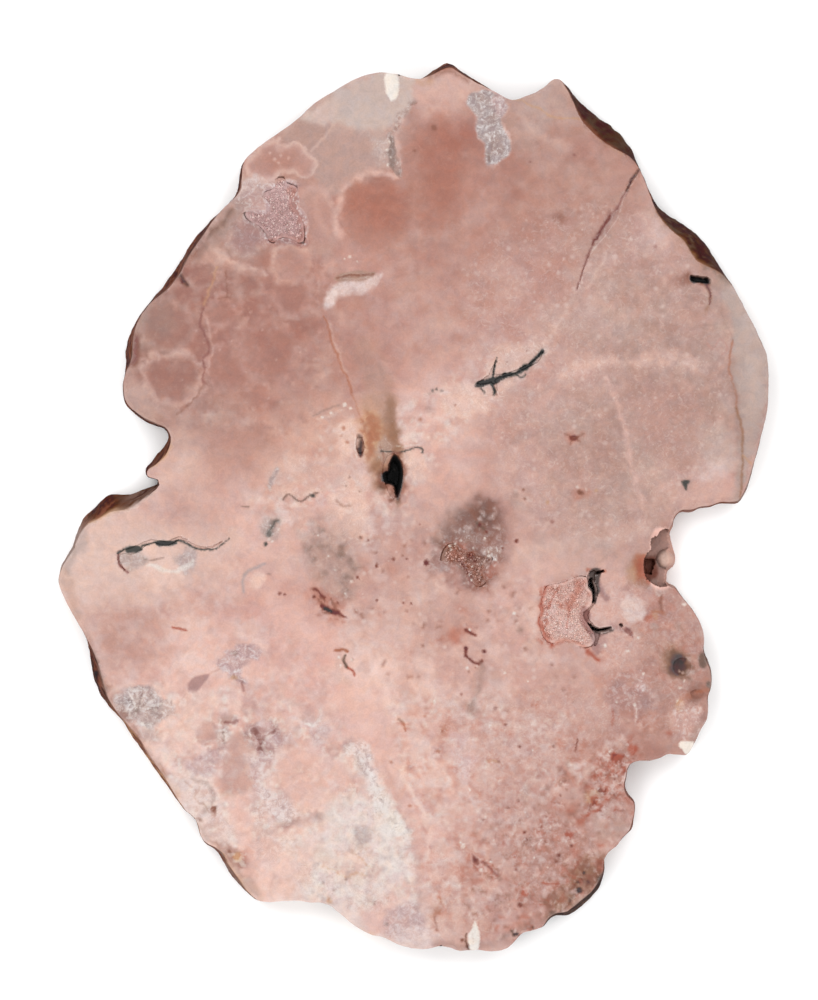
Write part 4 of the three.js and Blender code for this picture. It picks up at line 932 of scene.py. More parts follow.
MIDDLE = (
    # the cream shoulder and its dark fissure
    patch(Hue.CREAM, 18, 60, 570, 84, 528, 120, 512, 150, 520, 200, 528, 240, 530, 236, 552, 180, 596,
          120, 606, 70, 600, strength=0.65, ragged=6),
    patch(Hue.APRICOT, 9, 141, 552, 160, 547, 180, 550, 184, 568, 176, 584, 156, 590, 143, 578,
          strength=0.8, ragged=4),
    patch(Hue.OYSTER, 5, 120, 556, 130, 552, 146, 556, 145, 566, 132, 572, 122, 568, strength=0.8, ragged=3,
          crystal=0.6),
    patch(Hue.STORM, 6, 178, 553, 190, 549, 197, 556, 194, 570, 183, 572, 177, 564, strength=0.75, ragged=3,
          crystal=0.6),
    vein(Hue.CHALK_AND_GLINT, 3, 4, 150, 566, 166, 572, 180, 570, 194, 562, strength=0.7, ragged=3, flake=0.6),
    vein(Hue.CREAM, 4, 6, 197, 540, 214, 537, 232, 531, strength=0.7, ragged=3, flake=0.5),
    vein(Hue.OLIVE, 1.8, 1.4, 143, 558, 153, 560, 163, 557, strength=0.55, ragged=1),
    vein(Hue.PLUM, 1.8, 2, 128, 573, 121, 567, 118, 559, 119, 552, ragged=1, strength=0.9),
    vein(Hue.GREEN_BLACK, 1.5, 2.2, 118, 553, 126, 549, 136, 549, 146, 545, 156, 542, 168, 542, 180, 540,
         188, 545, 199, 549, 214, 549, 222, 544, 229, 538, end_width=1, ragged=1.2),
    patch(Hue.SLATE, 1.8, 127, 549, 133, 546, 142, 547, 143, 551, 134, 553, 127, 553, ragged=1.2,
          rough=0.8),
    patch(Hue.GREEN_BLACK, 1.8, 156, 541, 166, 540, 176, 541, 174, 545, 162, 546, 156, 545, ragged=1,
          rough=0.8),
    blob(Hue.BISTRE, 1.8, 73, 547, 2, 4, 10, ragged=1),
    patch(Hue.OYSTER, 7, 58, 566, 62, 546, 74, 530, 86, 529, 84, 546, 74, 562, 66, 576, strength=0.8,
          ragged=3),
    # the peach field south-east of the notch
    patch(Hue.CLAY_ROSE, 26, 172, 500, 200, 496, 228, 510, 222, 538, 192, 536, 170, 522, strength=0.4,
          ragged=6),
    blob(Hue.TEA_ROSE, 24, 236, 444, 38, 22, strength=0.4, ragged=6),
    patch(Hue.APRICOT, 10, 338, 428, 350, 422, 361, 430, 358, 450, 350, 462, 338, 456, strength=0.7,
          ragged=4, flake=0.5),
    vein(Hue.SMOKE, 2.2, 2, 313, 416, 324, 410, 338, 404, strength=0.6, ragged=1.6),
    vein(Hue.CREAM, 2.6, 3, 318, 420, 330, 415, 343, 409, strength=0.75, flake=0.8),
    flecks(Hue.CHALK_AND_GLINT, 1.4, 344, 404, 2.2, 350, 408, 1.6, 322, 417, 1.4, 331, 412, 1.5, strength=0.75),
    flecks(Hue.RUST, 2.2, 344, 428, 1.8, 347, 442, 1.8, 342, 435, 1, strength=0.6),
    # thin dark crack with a curl, east of the plume
    patch(Hue.APRICOT, 6, 402, 456, 412, 452, 424, 455, 426, 468, 418, 478, 406, 474, strength=0.8,
          ragged=3, flake=0.5),
    vein(Hue.SLATE, 1.5, 1.5, 381, 451, 390, 452, 399, 453, 408, 450, 417, 447, 423, 449, 423, 453,
         ragged=1.2),
    vein(Hue.LIVER, 1.4, 2.2, 392, 453, 400, 453, ragged=0.8, strength=0.9),
    vein(Hue.CHALK_AND_GLINT, 1.8, 1.6, 398, 447, 410, 445, 420, 443, strength=0.5),
    # the deep hollow, painted near-black inside as painted shade, and the brown stain that runs from it
    patch(Hue.LIVER, 4, 395, 452, 401, 457, 405, 470, 405, 488, 401, 500, 394, 494, 384, 486, 377, 479,
          384, 470, 388, 460, strength=0.8),
    patch(Hue.PEAT, 2, 395, 455, 399, 459, 402, 468, 402.6, 480, 400, 494, 397, 500, 395, 488, 387, 483,
          381, 480, 383, 473, 389, 470, 391, 460, ragged=0.8, rough=0.6),
    vein(Hue.UMBER, 3, 3.4, 398, 490, 398.5, 503, ragged=1, strength=0.85),
    vein(Hue.TAN, 4, 4, 398, 502, 398, 512, strength=0.6),
    blob(Hue.LIVER, 2.4, 392, 500, 3.6, 2.4, strength=0.8),
    # painted glints: white flecks that stand for highlights inside the hollow
    flecks(Hue.CHALK_AND_GLINT, 1.2, 395, 470, 1.1, 386, 477, 0.9, strength=0.7),
    # cream flakes south-west of it
    patch(Hue.APRICOT, 9, 328, 500, 338, 489, 356, 486, 370, 492, 369, 512, 364, 532, 350, 546, 336, 541,
          330, 524, strength=0.8, ragged=4, flake=0.6),
    vein(Hue.TAN, 2.4, 2.6, 337, 500, 342, 505, 349, 506, strength=0.7, ragged=1.6),
    blob(Hue.CREAM, 4, 360, 539, 7, 6, ragged=3), blob(Hue.TERRACOTTA, 3, 360, 539, 2.4, 2, strength=0.5),
    flecks(Hue.OLIVE, 1.6, 350, 478, 1.2, 346, 486, 1.3, 360, 491, 1.2, 360, 538, 1.4, strength=0.7),
    patch(Hue.CREAM, 12, 268, 470, 290, 456, 330, 462, 372, 478, 366, 492, 330, 486, 300, 490, 272, 492,
          strength=0.5, ragged=6, flake=0.6),
    vein(Hue.CREAM, 4, 6, 276, 494, 300, 494, 322, 490, 344, 480, strength=0.6, ragged=3, flake=0.7),
    vein(Hue.STORM, 3, 4, 277, 469, 273, 478, 269, 487, strength=0.7, crystal=0.6),
    # wavy crack, dash and smudge
    vein(Hue.DEEP_SMOKE, 1.6, 1.8, 283, 500, 288, 494, 296, 500, 302, 502, 311, 495, 318, 493, ragged=1.1,
         strength=0.9),
    blob(Hue.SLATE, 1.6, 313, 496, 2.2, 1.6, ragged=1),
    vein(Hue.SMOKE, 1.6, 1.6, 242, 507, 249, 507, ragged=1),
    blob(Hue.OYSTER, 8, 271, 527, 10, 12, 30, strength=0.75, ragged=3, crystal=0.5),
    vein(Hue.SLATE, 3.4, 5, 268, 533, 271, 528, 277, 521, strength=0.8),
    blob(Hue.SLATE, 2, 266, 544, 1.6, 2.4),
    flecks(Hue.CHALK_AND_GLINT, 1.2, 269, 539, 1.2, 272.5, 541, 1.1, 278, 530, 1, strength=0.8),
    # grey curve round a cream knob
    patch(Hue.APRICOT, 4, 249, 578, 255, 573, 264, 574, 263, 583, 257, 589, 250, 588, flake=0.3),
    vein(Hue.STORM, 2.6, 2.8, 244, 592, 243, 580, 247, 572, 256, 567, 265, 563, strength=0.8, ragged=1.4),
    blob(Hue.SMOKE, 2.2, 268, 575, 2.6, 1.4, strength=0.7),
    # smoky cloud with dark red pits
    patch(Hue.ASH_ROSE, 24, 302, 536, 318, 518, 344, 522, 356, 548, 360, 582, 346, 600, 322, 592, 306, 566,
          strength=0.7, ragged=9, crystal=0.2),
    blob(Hue.SMOKE, 12, 322, 546, 9, strength=0.55, ragged=5),
    blob(Hue.SMOKE, 11, 340, 556, 8, 15, -15, strength=0.45, ragged=5),
    blob(Hue.SMOKE, 10, 345, 582, 8, 11, strength=0.55, ragged=5),
    patch(Hue.OLIVE, 16, 306, 540, 330, 524, 350, 540, 356, 580, 340, 596, 318, 580, strength=0.4, grain=7,
          sparse=0.3),
    patch(Hue.CREAM, 16, 300, 540, 330, 520, 356, 540, 360, 590, 340, 600, 312, 580, strength=0.4, grain=6,
          sparse=0.3),
    flecks(Hue.CHALK_AND_GLINT, 1.3, 352, 582, 1.4, 345, 593, 1.3, 336, 570, 1, 318, 535, 0.9, 328, 556, 0.9,
           strength=0.75),
    patch(Hue.TERRACOTTA, 9, 308, 590, 318, 584, 334, 592, 346, 606, 344, 620, 330, 618, 316, 606,
          strength=0.55, ragged=4),
    patch(Hue.LIVER, 5, 308, 588, 318, 586, 330, 596, 340, 608, 350, 618, 334, 618, 320, 612, 318, 600,
          strength=0.75, grain=4, sparse=0.15),
    vein(Hue.OXBLOOD, 2.4, 3, 313, 589, 320, 592, 326, 597, ragged=3, strength=0.85),
    vein(Hue.OXBLOOD, 2.6, 5, 323, 607, 329, 610, 336, 612, 346, 617, end_width=1.4, ragged=3),
    vein(Hue.BISTRE, 2, 3, 325, 609, 331, 611, ragged=1.6),
    flecks(Hue.OXBLOOD, 1.8, 314, 597, 1.5, 338, 603, 1.2, 358, 577, 1.6, 280, 593, 1.7, 285, 594, 1.1,
           strength=0.8),
    # specks across the middle
    flecks(Hue.OXBLOOD, 1.6, 394, 559, 1.4, 377, 566, 1.6, 407, 558, 1.1, 377, 600, 1.3, 403, 603, 1.2,
           411, 603, 1.1, 420, 524, 1, 368, 541, 1, strength=0.75),
    blob(Hue.OXBLOOD, 2, 426, 562, 1.8, 2.6, ragged=1.2),
    blob(Hue.RUST, 2.4, 420, 419, 2, 1.6, strength=0.6), blob(Hue.OLIVE, 4, 427, 410, 3, 2, strength=0.4),
    patch(None, 30, 330, 560, 380, 520, 440, 530, 480, 590, 560, 600, 560, 680, 480, 700, 400, 690,
          350, 640, ragged=10, pearl=1.0, glint=0.3),
    vein(Hue.CREAM, 14, 14, 498, 562, 540, 550, 590, 542, 640, 530, strength=0.5, ragged=5),
    # clear pink bands and the red dash of the west
    patch(Hue.TEA_ROSE, 30, 96, 620, 120, 606, 150, 612, 168, 634, 150, 662, 116, 664, strength=0.35,
          ragged=8),
    vein(Hue.EMBER, 1.8, 2.2, 173, 628, 179, 629, 186, 630, ragged=1, strength=0.85),
    vein(Hue.BLUSH, 16, 18, 270, 600, 300, 626, 330, 650, 350, 690, strength=0.5, ragged=5),
    vein(Hue.SHELL, 5, 3, 268, 590, 288, 610, 300, 640, 322, 668, strength=0.5, ragged=3, flake=0.4),
    # the squiggle of rust and green
    vein(Hue.RUST, 2, 2.6, 336, 650, 342, 650, 347, 651, ragged=1.2),
    vein(Hue.OLIVE, 2, 2.8, 345, 655, 344, 661, 347, 667, ragged=1.2),
    vein(Hue.EMBER, 2, 2, 348, 667, 353, 671, 354, 675, ragged=1.2),
    patch(Hue.CREAM, 6, 334, 655, 342, 655, 342, 670, 350, 680, 340, 682, 334, 668, strength=0.7, ragged=3,
          flake=0.8),
    flecks(Hue.CHALK_AND_GLINT, 1.4, 339, 657, 1.3, 352, 660, 1.1, 341, 665, 1, strength=0.8),
)

SMOKY_DRUSE = (
    blob(Hue.ASH_ROSE, 26, 476, 540, 40, 48, strength=0.45, ragged=8),
    patch(Hue.ASH_ROSE, 16, 432, 560, 436, 542, 448, 526, 462, 514, 476, 505, 494, 506, 502, 520, 506, 540,
          502, 562, 490, 578, 484, 592, 470, 588, 456, 574, 440, 572, strength=0.8, ragged=8, crystal=0.45,
          glint=0.6),
    patch(Hue.SMOKE, 18, 440, 556, 446, 534, 460, 516, 478, 502, 496, 506, 504, 524, 500, 552, 490, 578,
          474, 584, 458, 570, strength=0.75, ragged=8),
    blob(Hue.DEEP_SMOKE, 18, 474, 520, 26, 18, -20, strength=0.85, ragged=6),
    blob(Hue.OLIVE, 9, 477, 513, 8, 6, strength=0.55, ragged=5),
    blob(Hue.OLIVE, 8, 490, 518, 7, 5, strength=0.6, ragged=5),
    blob(Hue.DEEP_SMOKE, 14, 450, 542, 15, 11, -50, strength=0.75, ragged=6),
    blob(Hue.DEEP_SMOKE, 14, 474, 566, 18, 17, strength=0.75, ragged=6),
    patch(Hue.PLUM, 20, 432, 560, 450, 526, 480, 494, 510, 506, 508, 556, 488, 590, 460, 588, 438, 572,
          strength=0.4),
    patch(Hue.LIVER, 14, 438, 556, 452, 530, 480, 498, 504, 510, 504, 552, 486, 584, 462, 582, 444, 566,
          strength=0.6, grain=7, sparse=0.2),
    patch(Hue.NACRE, 14, 438, 556, 452, 530, 480, 498, 504, 510, 504, 552, 486, 584, 462, 582, 444, 566,
          strength=0.5, grain=4, sparse=0.45),
    patch(Hue.TERRACOTTA, 14, 440, 556, 456, 540, 480, 540, 496, 556, 492, 590, 466, 588, 446, 566,
          strength=0.5, grain=7, sparse=0.35, rust=0.6),
    blob(Hue.OYSTER, 8, 468, 537, 10, 6, strength=0.5, ragged=6, crystal=0.8),
    vein(Hue.OLIVE, 2.4, 2.6, 477, 523, 480, 526, 484, 529, strength=0.7, ragged=1.6),
    patch(Hue.LIVER, 2.6, 440, 558, 443, 550, 449, 545, 456, 543, 452, 549, 447, 555, 444, 560,
          core=Hue.UMBER, core_depth=3, rough=0.8),
    blob(Hue.PALE_ASH, 4, 446, 556, 5, 6, 20, strength=0.6, crystal=0.6),
    vein(Hue.TERRACOTTA, 10, 11, 451, 549, 460, 557, 468, 564, 474, 575, 480, 585, strength=0.5, ragged=5,
         rust=0.7),
    vein(Hue.PLUM, 3, 4, 460, 560, 465, 567, 468, 575, 471, 582, strength=0.85, ragged=3),
    blob(Hue.OXBLOOD, 2.2, 470.5, 556, 3.6, 2.6, ragged=1.6),
    blob(Hue.LIVER, 6, 480, 584, 6, 4.5, strength=0.8, ragged=3),
    flecks(Hue.OXBLOOD, 1.8, 475, 561, 2, 427, 563, 1.9, 480, 525, 1.6, 517, 541, 1.7, 502, 549, 1.3,
           486, 532, 1.2, strength=0.85),
    blob(Hue.OYSTER, 7, 493, 552, 7, 8, strength=0.55, ragged=5, crystal=0.9),
    blob(Hue.STORM, 5, 441, 568, 4, 3, strength=0.6),
    blob(Hue.TERRACOTTA, 8, 484, 570, 7, 8, strength=0.4, ragged=4),
    # painted glints: white flecks that stand for highlights on the druse
    flecks(Hue.CHALK_AND_GLINT, 1.2, 449.5, 546, 1.3, 450.5, 549.5, 1.1, 472.5, 566, 1.2, 469, 575, 1, 471.5, 580, 1,
           489, 556, 1.4, 495.5, 559, 1.2, 489, 551.5, 1, 455, 544, 0.9, 461, 541, 0.9, 485, 538, 0.9,
           474, 549, 0.8),
    # the brown smudge and marks east of it
    blob(Hue.SMOKE, 9, 515, 496, 7, 6, strength=0.7, ragged=4),
    flecks(Hue.LIVER, 2, 525, 499, 1.8, 523, 490, 1.2, strength=0.8),
    blob(Hue.OYSTER, 7, 518, 506, 6, 5, strength=0.4), blob(Hue.CLAY_ROSE, 6, 559, 484, 5, 4, strength=0.6),
    flecks(Hue.HONEY, 2.4, 548, 503, 2.2, 596, 490, 2, strength=0.6),
    blob(Hue.PLUM, 3, 552, 521, 2, 1.6, strength=0.6),
    # rosy pits below it
    blob(Hue.CLAY_ROSE, 24, 458, 620, 24, 26, strength=0.6, ragged=6, glint=0.5, rust=0.3),
    blob(Hue.TERRACOTTA, 10, 457, 634, 12, 7, -20, strength=0.7, ragged=4),
    blob(Hue.TERRACOTTA, 6, 465, 610, 6, 3, 30, strength=0.5, ragged=3),
    vein(Hue.OXBLOOD, 2.2, 3.2, 465, 630, 470, 633, 476, 635, strength=0.85, ragged=1.5),
    vein(Hue.OXBLOOD, 2, 2.6, 466, 649, 466, 656, 471, 661, 477, 665, 481, 661, strength=0.9, ragged=1.4),
    flecks(Hue.OXBLOOD, 1.8, 466, 648, 2, 484, 651, 1.8),
    vein(Hue.SMOKE, 9, 9, 482, 668, 479, 684, 475, 700, 472, 716, end_width=7, strength=0.55, ragged=4),
    blob(Hue.DEEP_SMOKE, 5, 473, 705, 3.4, 7, 10, strength=0.5),
    # painted glints: white flecks that stand for highlights
    flecks(Hue.CHALK_AND_GLINT, 1.3, 469, 630, 1.4, 467, 668, 1.3, 514, 613, 1.4, 434, 701, 1.8, 490, 726, 1.2,
           505, 673, 1, 528, 681, 1, strength=0.9),
    flecks(Hue.OXBLOOD, 2, 496, 708, 1.8, 461, 694, 1.3, 443, 731, 1.2, strength=0.6),
    blob(Hue.OLIVE, 4, 521, 630, 3, strength=0.4),
)

EAST_POCKET = (
    patch(Hue.SHELL, 12, 536, 562, 560, 552, 590, 554, 606, 560, 600, 570, 580, 574, 556, 580, 546, 584,
          strength=0.6, ragged=4),
    vein(Hue.CREAM, 6, 8, 535, 568, 534, 600, 533, 626, 535, 655, strength=0.6),
    patch(Hue.PETAL, 2.4, 546, 586, 557, 586, 568, 581, 576, 578, 588, 573, 585, 583, 591, 592, 592, 600,
          588, 606, 580, 611, 580, 618, 590, 633, 594, 640, 590, 648, 580, 645, 573, 641, 565, 640,
          556, 643, 549, 644, 544, 640, 541, 632, 540, 620, 541, 605, 543, 595, ragged=2.4, crystal=0.5,
          rust=0.7),
    blob(Hue.LILAC, 7, 551, 612, 5, 11, strength=0.5, ragged=4, crystal=0.6),
    blob(Hue.LILAC, 8, 566, 626, 8, 9, strength=0.5, ragged=5, crystal=0.6),
    patch(Hue.EMBER, 8, 541, 590, 556, 584, 574, 578, 586, 576, 590, 600, 574, 608, 556, 612, 548, 632,
          556, 644, 542, 642, 538, 616, grain=6, sparse=0.12, strength=0.65),
    patch(Hue.DUSTY_ROSE, 8, 553, 588, 568, 584, 584, 580, 588, 592, 584, 602, 570, 604, 556, 600,
          strength=0.7, ragged=5, rust=0.6),
    vein(Hue.EMBER, 2.6, 3.6, 547, 587, 543, 598, 541, 612, 541, 626, 545, 638, 552, 644, strength=0.8,
         ragged=2.6),
    vein(Hue.EMBER, 2.4, 2, 559, 587, 553, 598, 549, 606, strength=0.6, ragged=2.4),
    vein(Hue.TERRACOTTA, 3, 3.4, 580, 584, 577, 592, 571, 600, 569, 609, strength=0.7, ragged=3),
    vein(Hue.EMBER, 2, 1.6, 566, 600, 570, 610, 567, 627, strength=0.55, ragged=2.4),
    vein(Hue.TERRACOTTA, 3, 3, 556, 643, 573, 641, 588, 650, strength=0.7, ragged=2.4),
    # lumps and ledges round the through gaps, with painted shade: dark patches over the gaps' mouths and
    # mauve and plum shadows on the ledges beside them
    patch(Hue.SHELL, 5, 602, 560, 618, 560, 626, 574, 620, 588, 610, 598, 600, 592, 602, 576, ragged=3,
          strength=0.8),
    patch(Hue.SHELL, 4, 588, 606, 596, 598, 612, 592, 626, 592, 630, 604, 622, 616, 612, 624, 600, 627,
          591, 622, strength=0.9, crystal=0.3),
    vein(Hue.TERRACOTTA, 2.4, 3, 588, 571, 596, 571, 605, 571, strength=0.8, ragged=1.6),
    # painted shadow on the ledge east of the upper gap
    vein(Hue.MAUVE, 3, 6, 598, 584, 601, 592, 606, 599, strength=0.8),
    # painted shade over the mouths of the upper and lower gaps
    patch(Hue.GAP_SHADE, 2, 589, 574, 593, 569, 599, 568, 601, 574, 599, 582, 600, 590, 597, 597, 595, 604,
          593, 599, 594, 590, 590, 583, ragged=1, strength=0.9),
    patch(Hue.GAP_SHADE, 2, 588, 627, 596, 630, 611, 627, 613, 631, 603, 635, 598, 644, 593, 640, ragged=1,
          strength=0.85),
    # painted shadows on the ledges west, south and east of the lower gap
    patch(Hue.PLUM, 3, 580, 610, 588, 606, 591, 614, 590, 625, 597, 631, 590, 634, 583, 624, ragged=1.6,
          strength=0.85, rough=0.6),
    patch(Hue.MAUVE, 3.4, 592, 634, 604, 634, 607, 640, 602, 652, 596, 656, 592, 646, strength=0.9),
    vein(Hue.MAUVE, 3.4, 4, 611, 626, 620, 627, 628, 631, strength=0.8),
    patch(Hue.PLUM, 2.4, 626, 627, 631, 630, 632, 638, 628, 636, 625, 631, ragged=1.4),
    vein(Hue.EMBER, 3, 3, 588, 652, 593, 656, 598, 660, strength=0.8),
    patch(Hue.IVORY, 5, 620, 604, 630, 598, 642, 602, 645, 614, 637, 622, 626, 618, ragged=4, strength=0.8,
          crystal=0.8, glint=0.6),
    blob(Hue.TERRACOTTA, 3, 648, 619, 4, 5, strength=0.7), blob(Hue.HONEY, 4, 655, 614, 4, strength=0.6),
    # rusty stains and the crystals along the brown chain
    patch(Hue.TAN, 9, 624, 566, 640, 554, 646, 566, 642, 582, 630, 582, strength=0.7, ragged=4, rust=0.4),
    patch(Hue.RUST, 6, 632, 560, 640, 553, 650, 554, 650, 580, 640, 584, 634, 574, strength=0.85, ragged=4),
    blob(Hue.EMBER, 4, 641, 567, 3, 7, strength=0.6),
    blob(Hue.HONEY, 5, 632, 574, 5, 7, strength=0.5, ragged=3),
    blob(Hue.PALE_ASH, 3, 659.5, 592, 4.6, 4, ragged=1.4, rim=Hue.CHALK_AND_GLINT, rim_width=1.4, strength=0.8),
    vein(Hue.LIVER, 2.4, 2.6, 662, 596, 660, 602, 662, 612, strength=0.75),
    vein(Hue.RUST, 3, 3, 651, 611, 658, 612, 666, 615, strength=0.6, ragged=2.4),
    blob(Hue.OYSTER, 4, 655, 626, 4, 3, strength=0.7, crystal=0.6),
    blob(Hue.SMOKE, 4, 679, 627, 4, 3, strength=0.5),
    blob(Hue.SMOKE, 6, 648, 585, 7, 5, strength=0.4, ragged=3, crystal=0.5),
    vein(Hue.PALE_ASH, 7, 9, 668, 590, 684, 608, 698, 628, 705, 646, strength=0.5, ragged=4, crystal=0.4),
    patch(Hue.SHELL, 12, 604, 636, 632, 640, 640, 660, 622, 676, 604, 664, strength=0.55, ragged=6,
          crystal=0.4),
    patch(None, 22, 600, 586, 660, 580, 690, 610, 706, 650, 700, 700, 680, 740, 640, 730, 606, 700,
          600, 650, ragged=9, rust=0.4, flake=0.3, glint=0.4, crystal=0.2),
    # the shelf of the east bay with its knob, painted lighter than the stone to make up for the shade in
    # the bay
    patch(Hue.FLUSH, 3, 652, 534, 660, 528, 682, 538, 684, 570, 674, 584, 662, 590, 652, 586, 647, 572,
          649, 552, strength=0.97, ragged=1, rough=0.5),
    patch(Hue.TEA_ROSE, 6, 650, 536, 658, 534, 662, 548, 660, 590, 672, 586, 660, 580, 652, 556,
          strength=0.35, grain=8, sparse=0),
    patch(Hue.TERRACOTTA, 4, 643, 557, 657, 557, 658, 574, 650, 582, 643, 576, ragged=1),
    # painted light: the knob is painted pale apricot, lighter than its stone, to make up for the bay's
    # shade
    blob(Hue.APRICOT, 2, 667, 559, 10, ragged=1),
    # the round hollow, which is kept shallow, with painted shade: darker brown towards its middle; and the
    # brown recess below it
    blob(Hue.TAN, 14, 668, 658, 14, 9, 30, strength=0.6),
    blob(Hue.TOBACCO, 13, 678, 662, 17, 13, 40, strength=0.9, ragged=2.4),
    blob(Hue.UMBER, 10, 681, 665, 13, 10, 35, core=Hue.BISTRE, core_depth=9),
    flecks(Hue.CREAM, 1.4, 682, 673, 1.3, 679, 672, 0.9, strength=0.7),
    blob(Hue.OYSTER, 3, 689, 672, 5, 2.4, strength=0.6),
    patch(Hue.OLIVE, 3, 700, 656, 706, 654, 708, 662, 704, 668, 699, 664, strength=0.8, ragged=1.6),
    patch(Hue.LIVER, 5, 686, 690, 693, 684, 703, 685, 709, 692, 705, 699, 696, 703, 688, 699, ragged=3,
          strength=0.85, rough=0.6),
    blob(Hue.RUST, 4, 687, 695, 5, 3, strength=0.8, ragged=2.4),
    vein(Hue.RUST, 3, 4, 697, 692, 704, 691, 710, 690, strength=0.7),
    blob(Hue.HONEY, 4, 681, 705, 4, 5, strength=0.8, ragged=2.4, rust=0.5),
    blob(Hue.SLATE, 3, 709, 685, 3, 4, strength=0.6),
    flecks(Hue.CHALK_AND_GLINT, 1.4, 680, 688, 1.6, 684, 681, 1.2, 678, 700, 1.2, 700, 709, 1.8, 696, 713, 1.3,
           strength=0.75),
    # mauve ground and cream crystals of the south-east corner
    patch(Hue.MAUVE, 12, 606, 690, 622, 680, 648, 684, 652, 700, 636, 712, 612, 712, strength=0.5, ragged=6,
          crystal=0.5),
    blob(Hue.LILAC, 7, 640, 684, 10, 7, strength=0.7, ragged=4, crystal=0.9),
    vein(Hue.MAUVE, 4, 4, 626, 692, 640, 694, 650, 706, 668, 708, strength=0.6, ragged=3),
    vein(Hue.CREAM, 2.4, 2, 634, 704, 637, 712, 635, 722, strength=0.75, crystal=0.8),
    patch(Hue.SHELL, 8, 674, 706, 690, 704, 704, 712, 704, 726, 694, 738, 680, 738, 672, 722, ragged=5,
          strength=0.75, crystal=0.7),
    vein(Hue.EMBER, 2.6, 2, 612, 706, 614, 716, 613, 724, strength=0.5),
    blob(Hue.EMBER, 4, 668, 733, 3, strength=0.6),
    vein(Hue.SMOKE, 6, 7, 710, 664, 713, 684, 709, 706, 703, 722, 694, 740, strength=0.5, ragged=3),
    flecks(Hue.CHALK_AND_GLINT, 1.3, 604.8, 645, 1.6, 628, 651, 1.6, 684, 605, 1.6, 635, 705, 1.3, 643, 674, 1.3,
           641, 671, 1, 617, 702, 1.2, 638, 637, 1.1, strength=0.9),
)

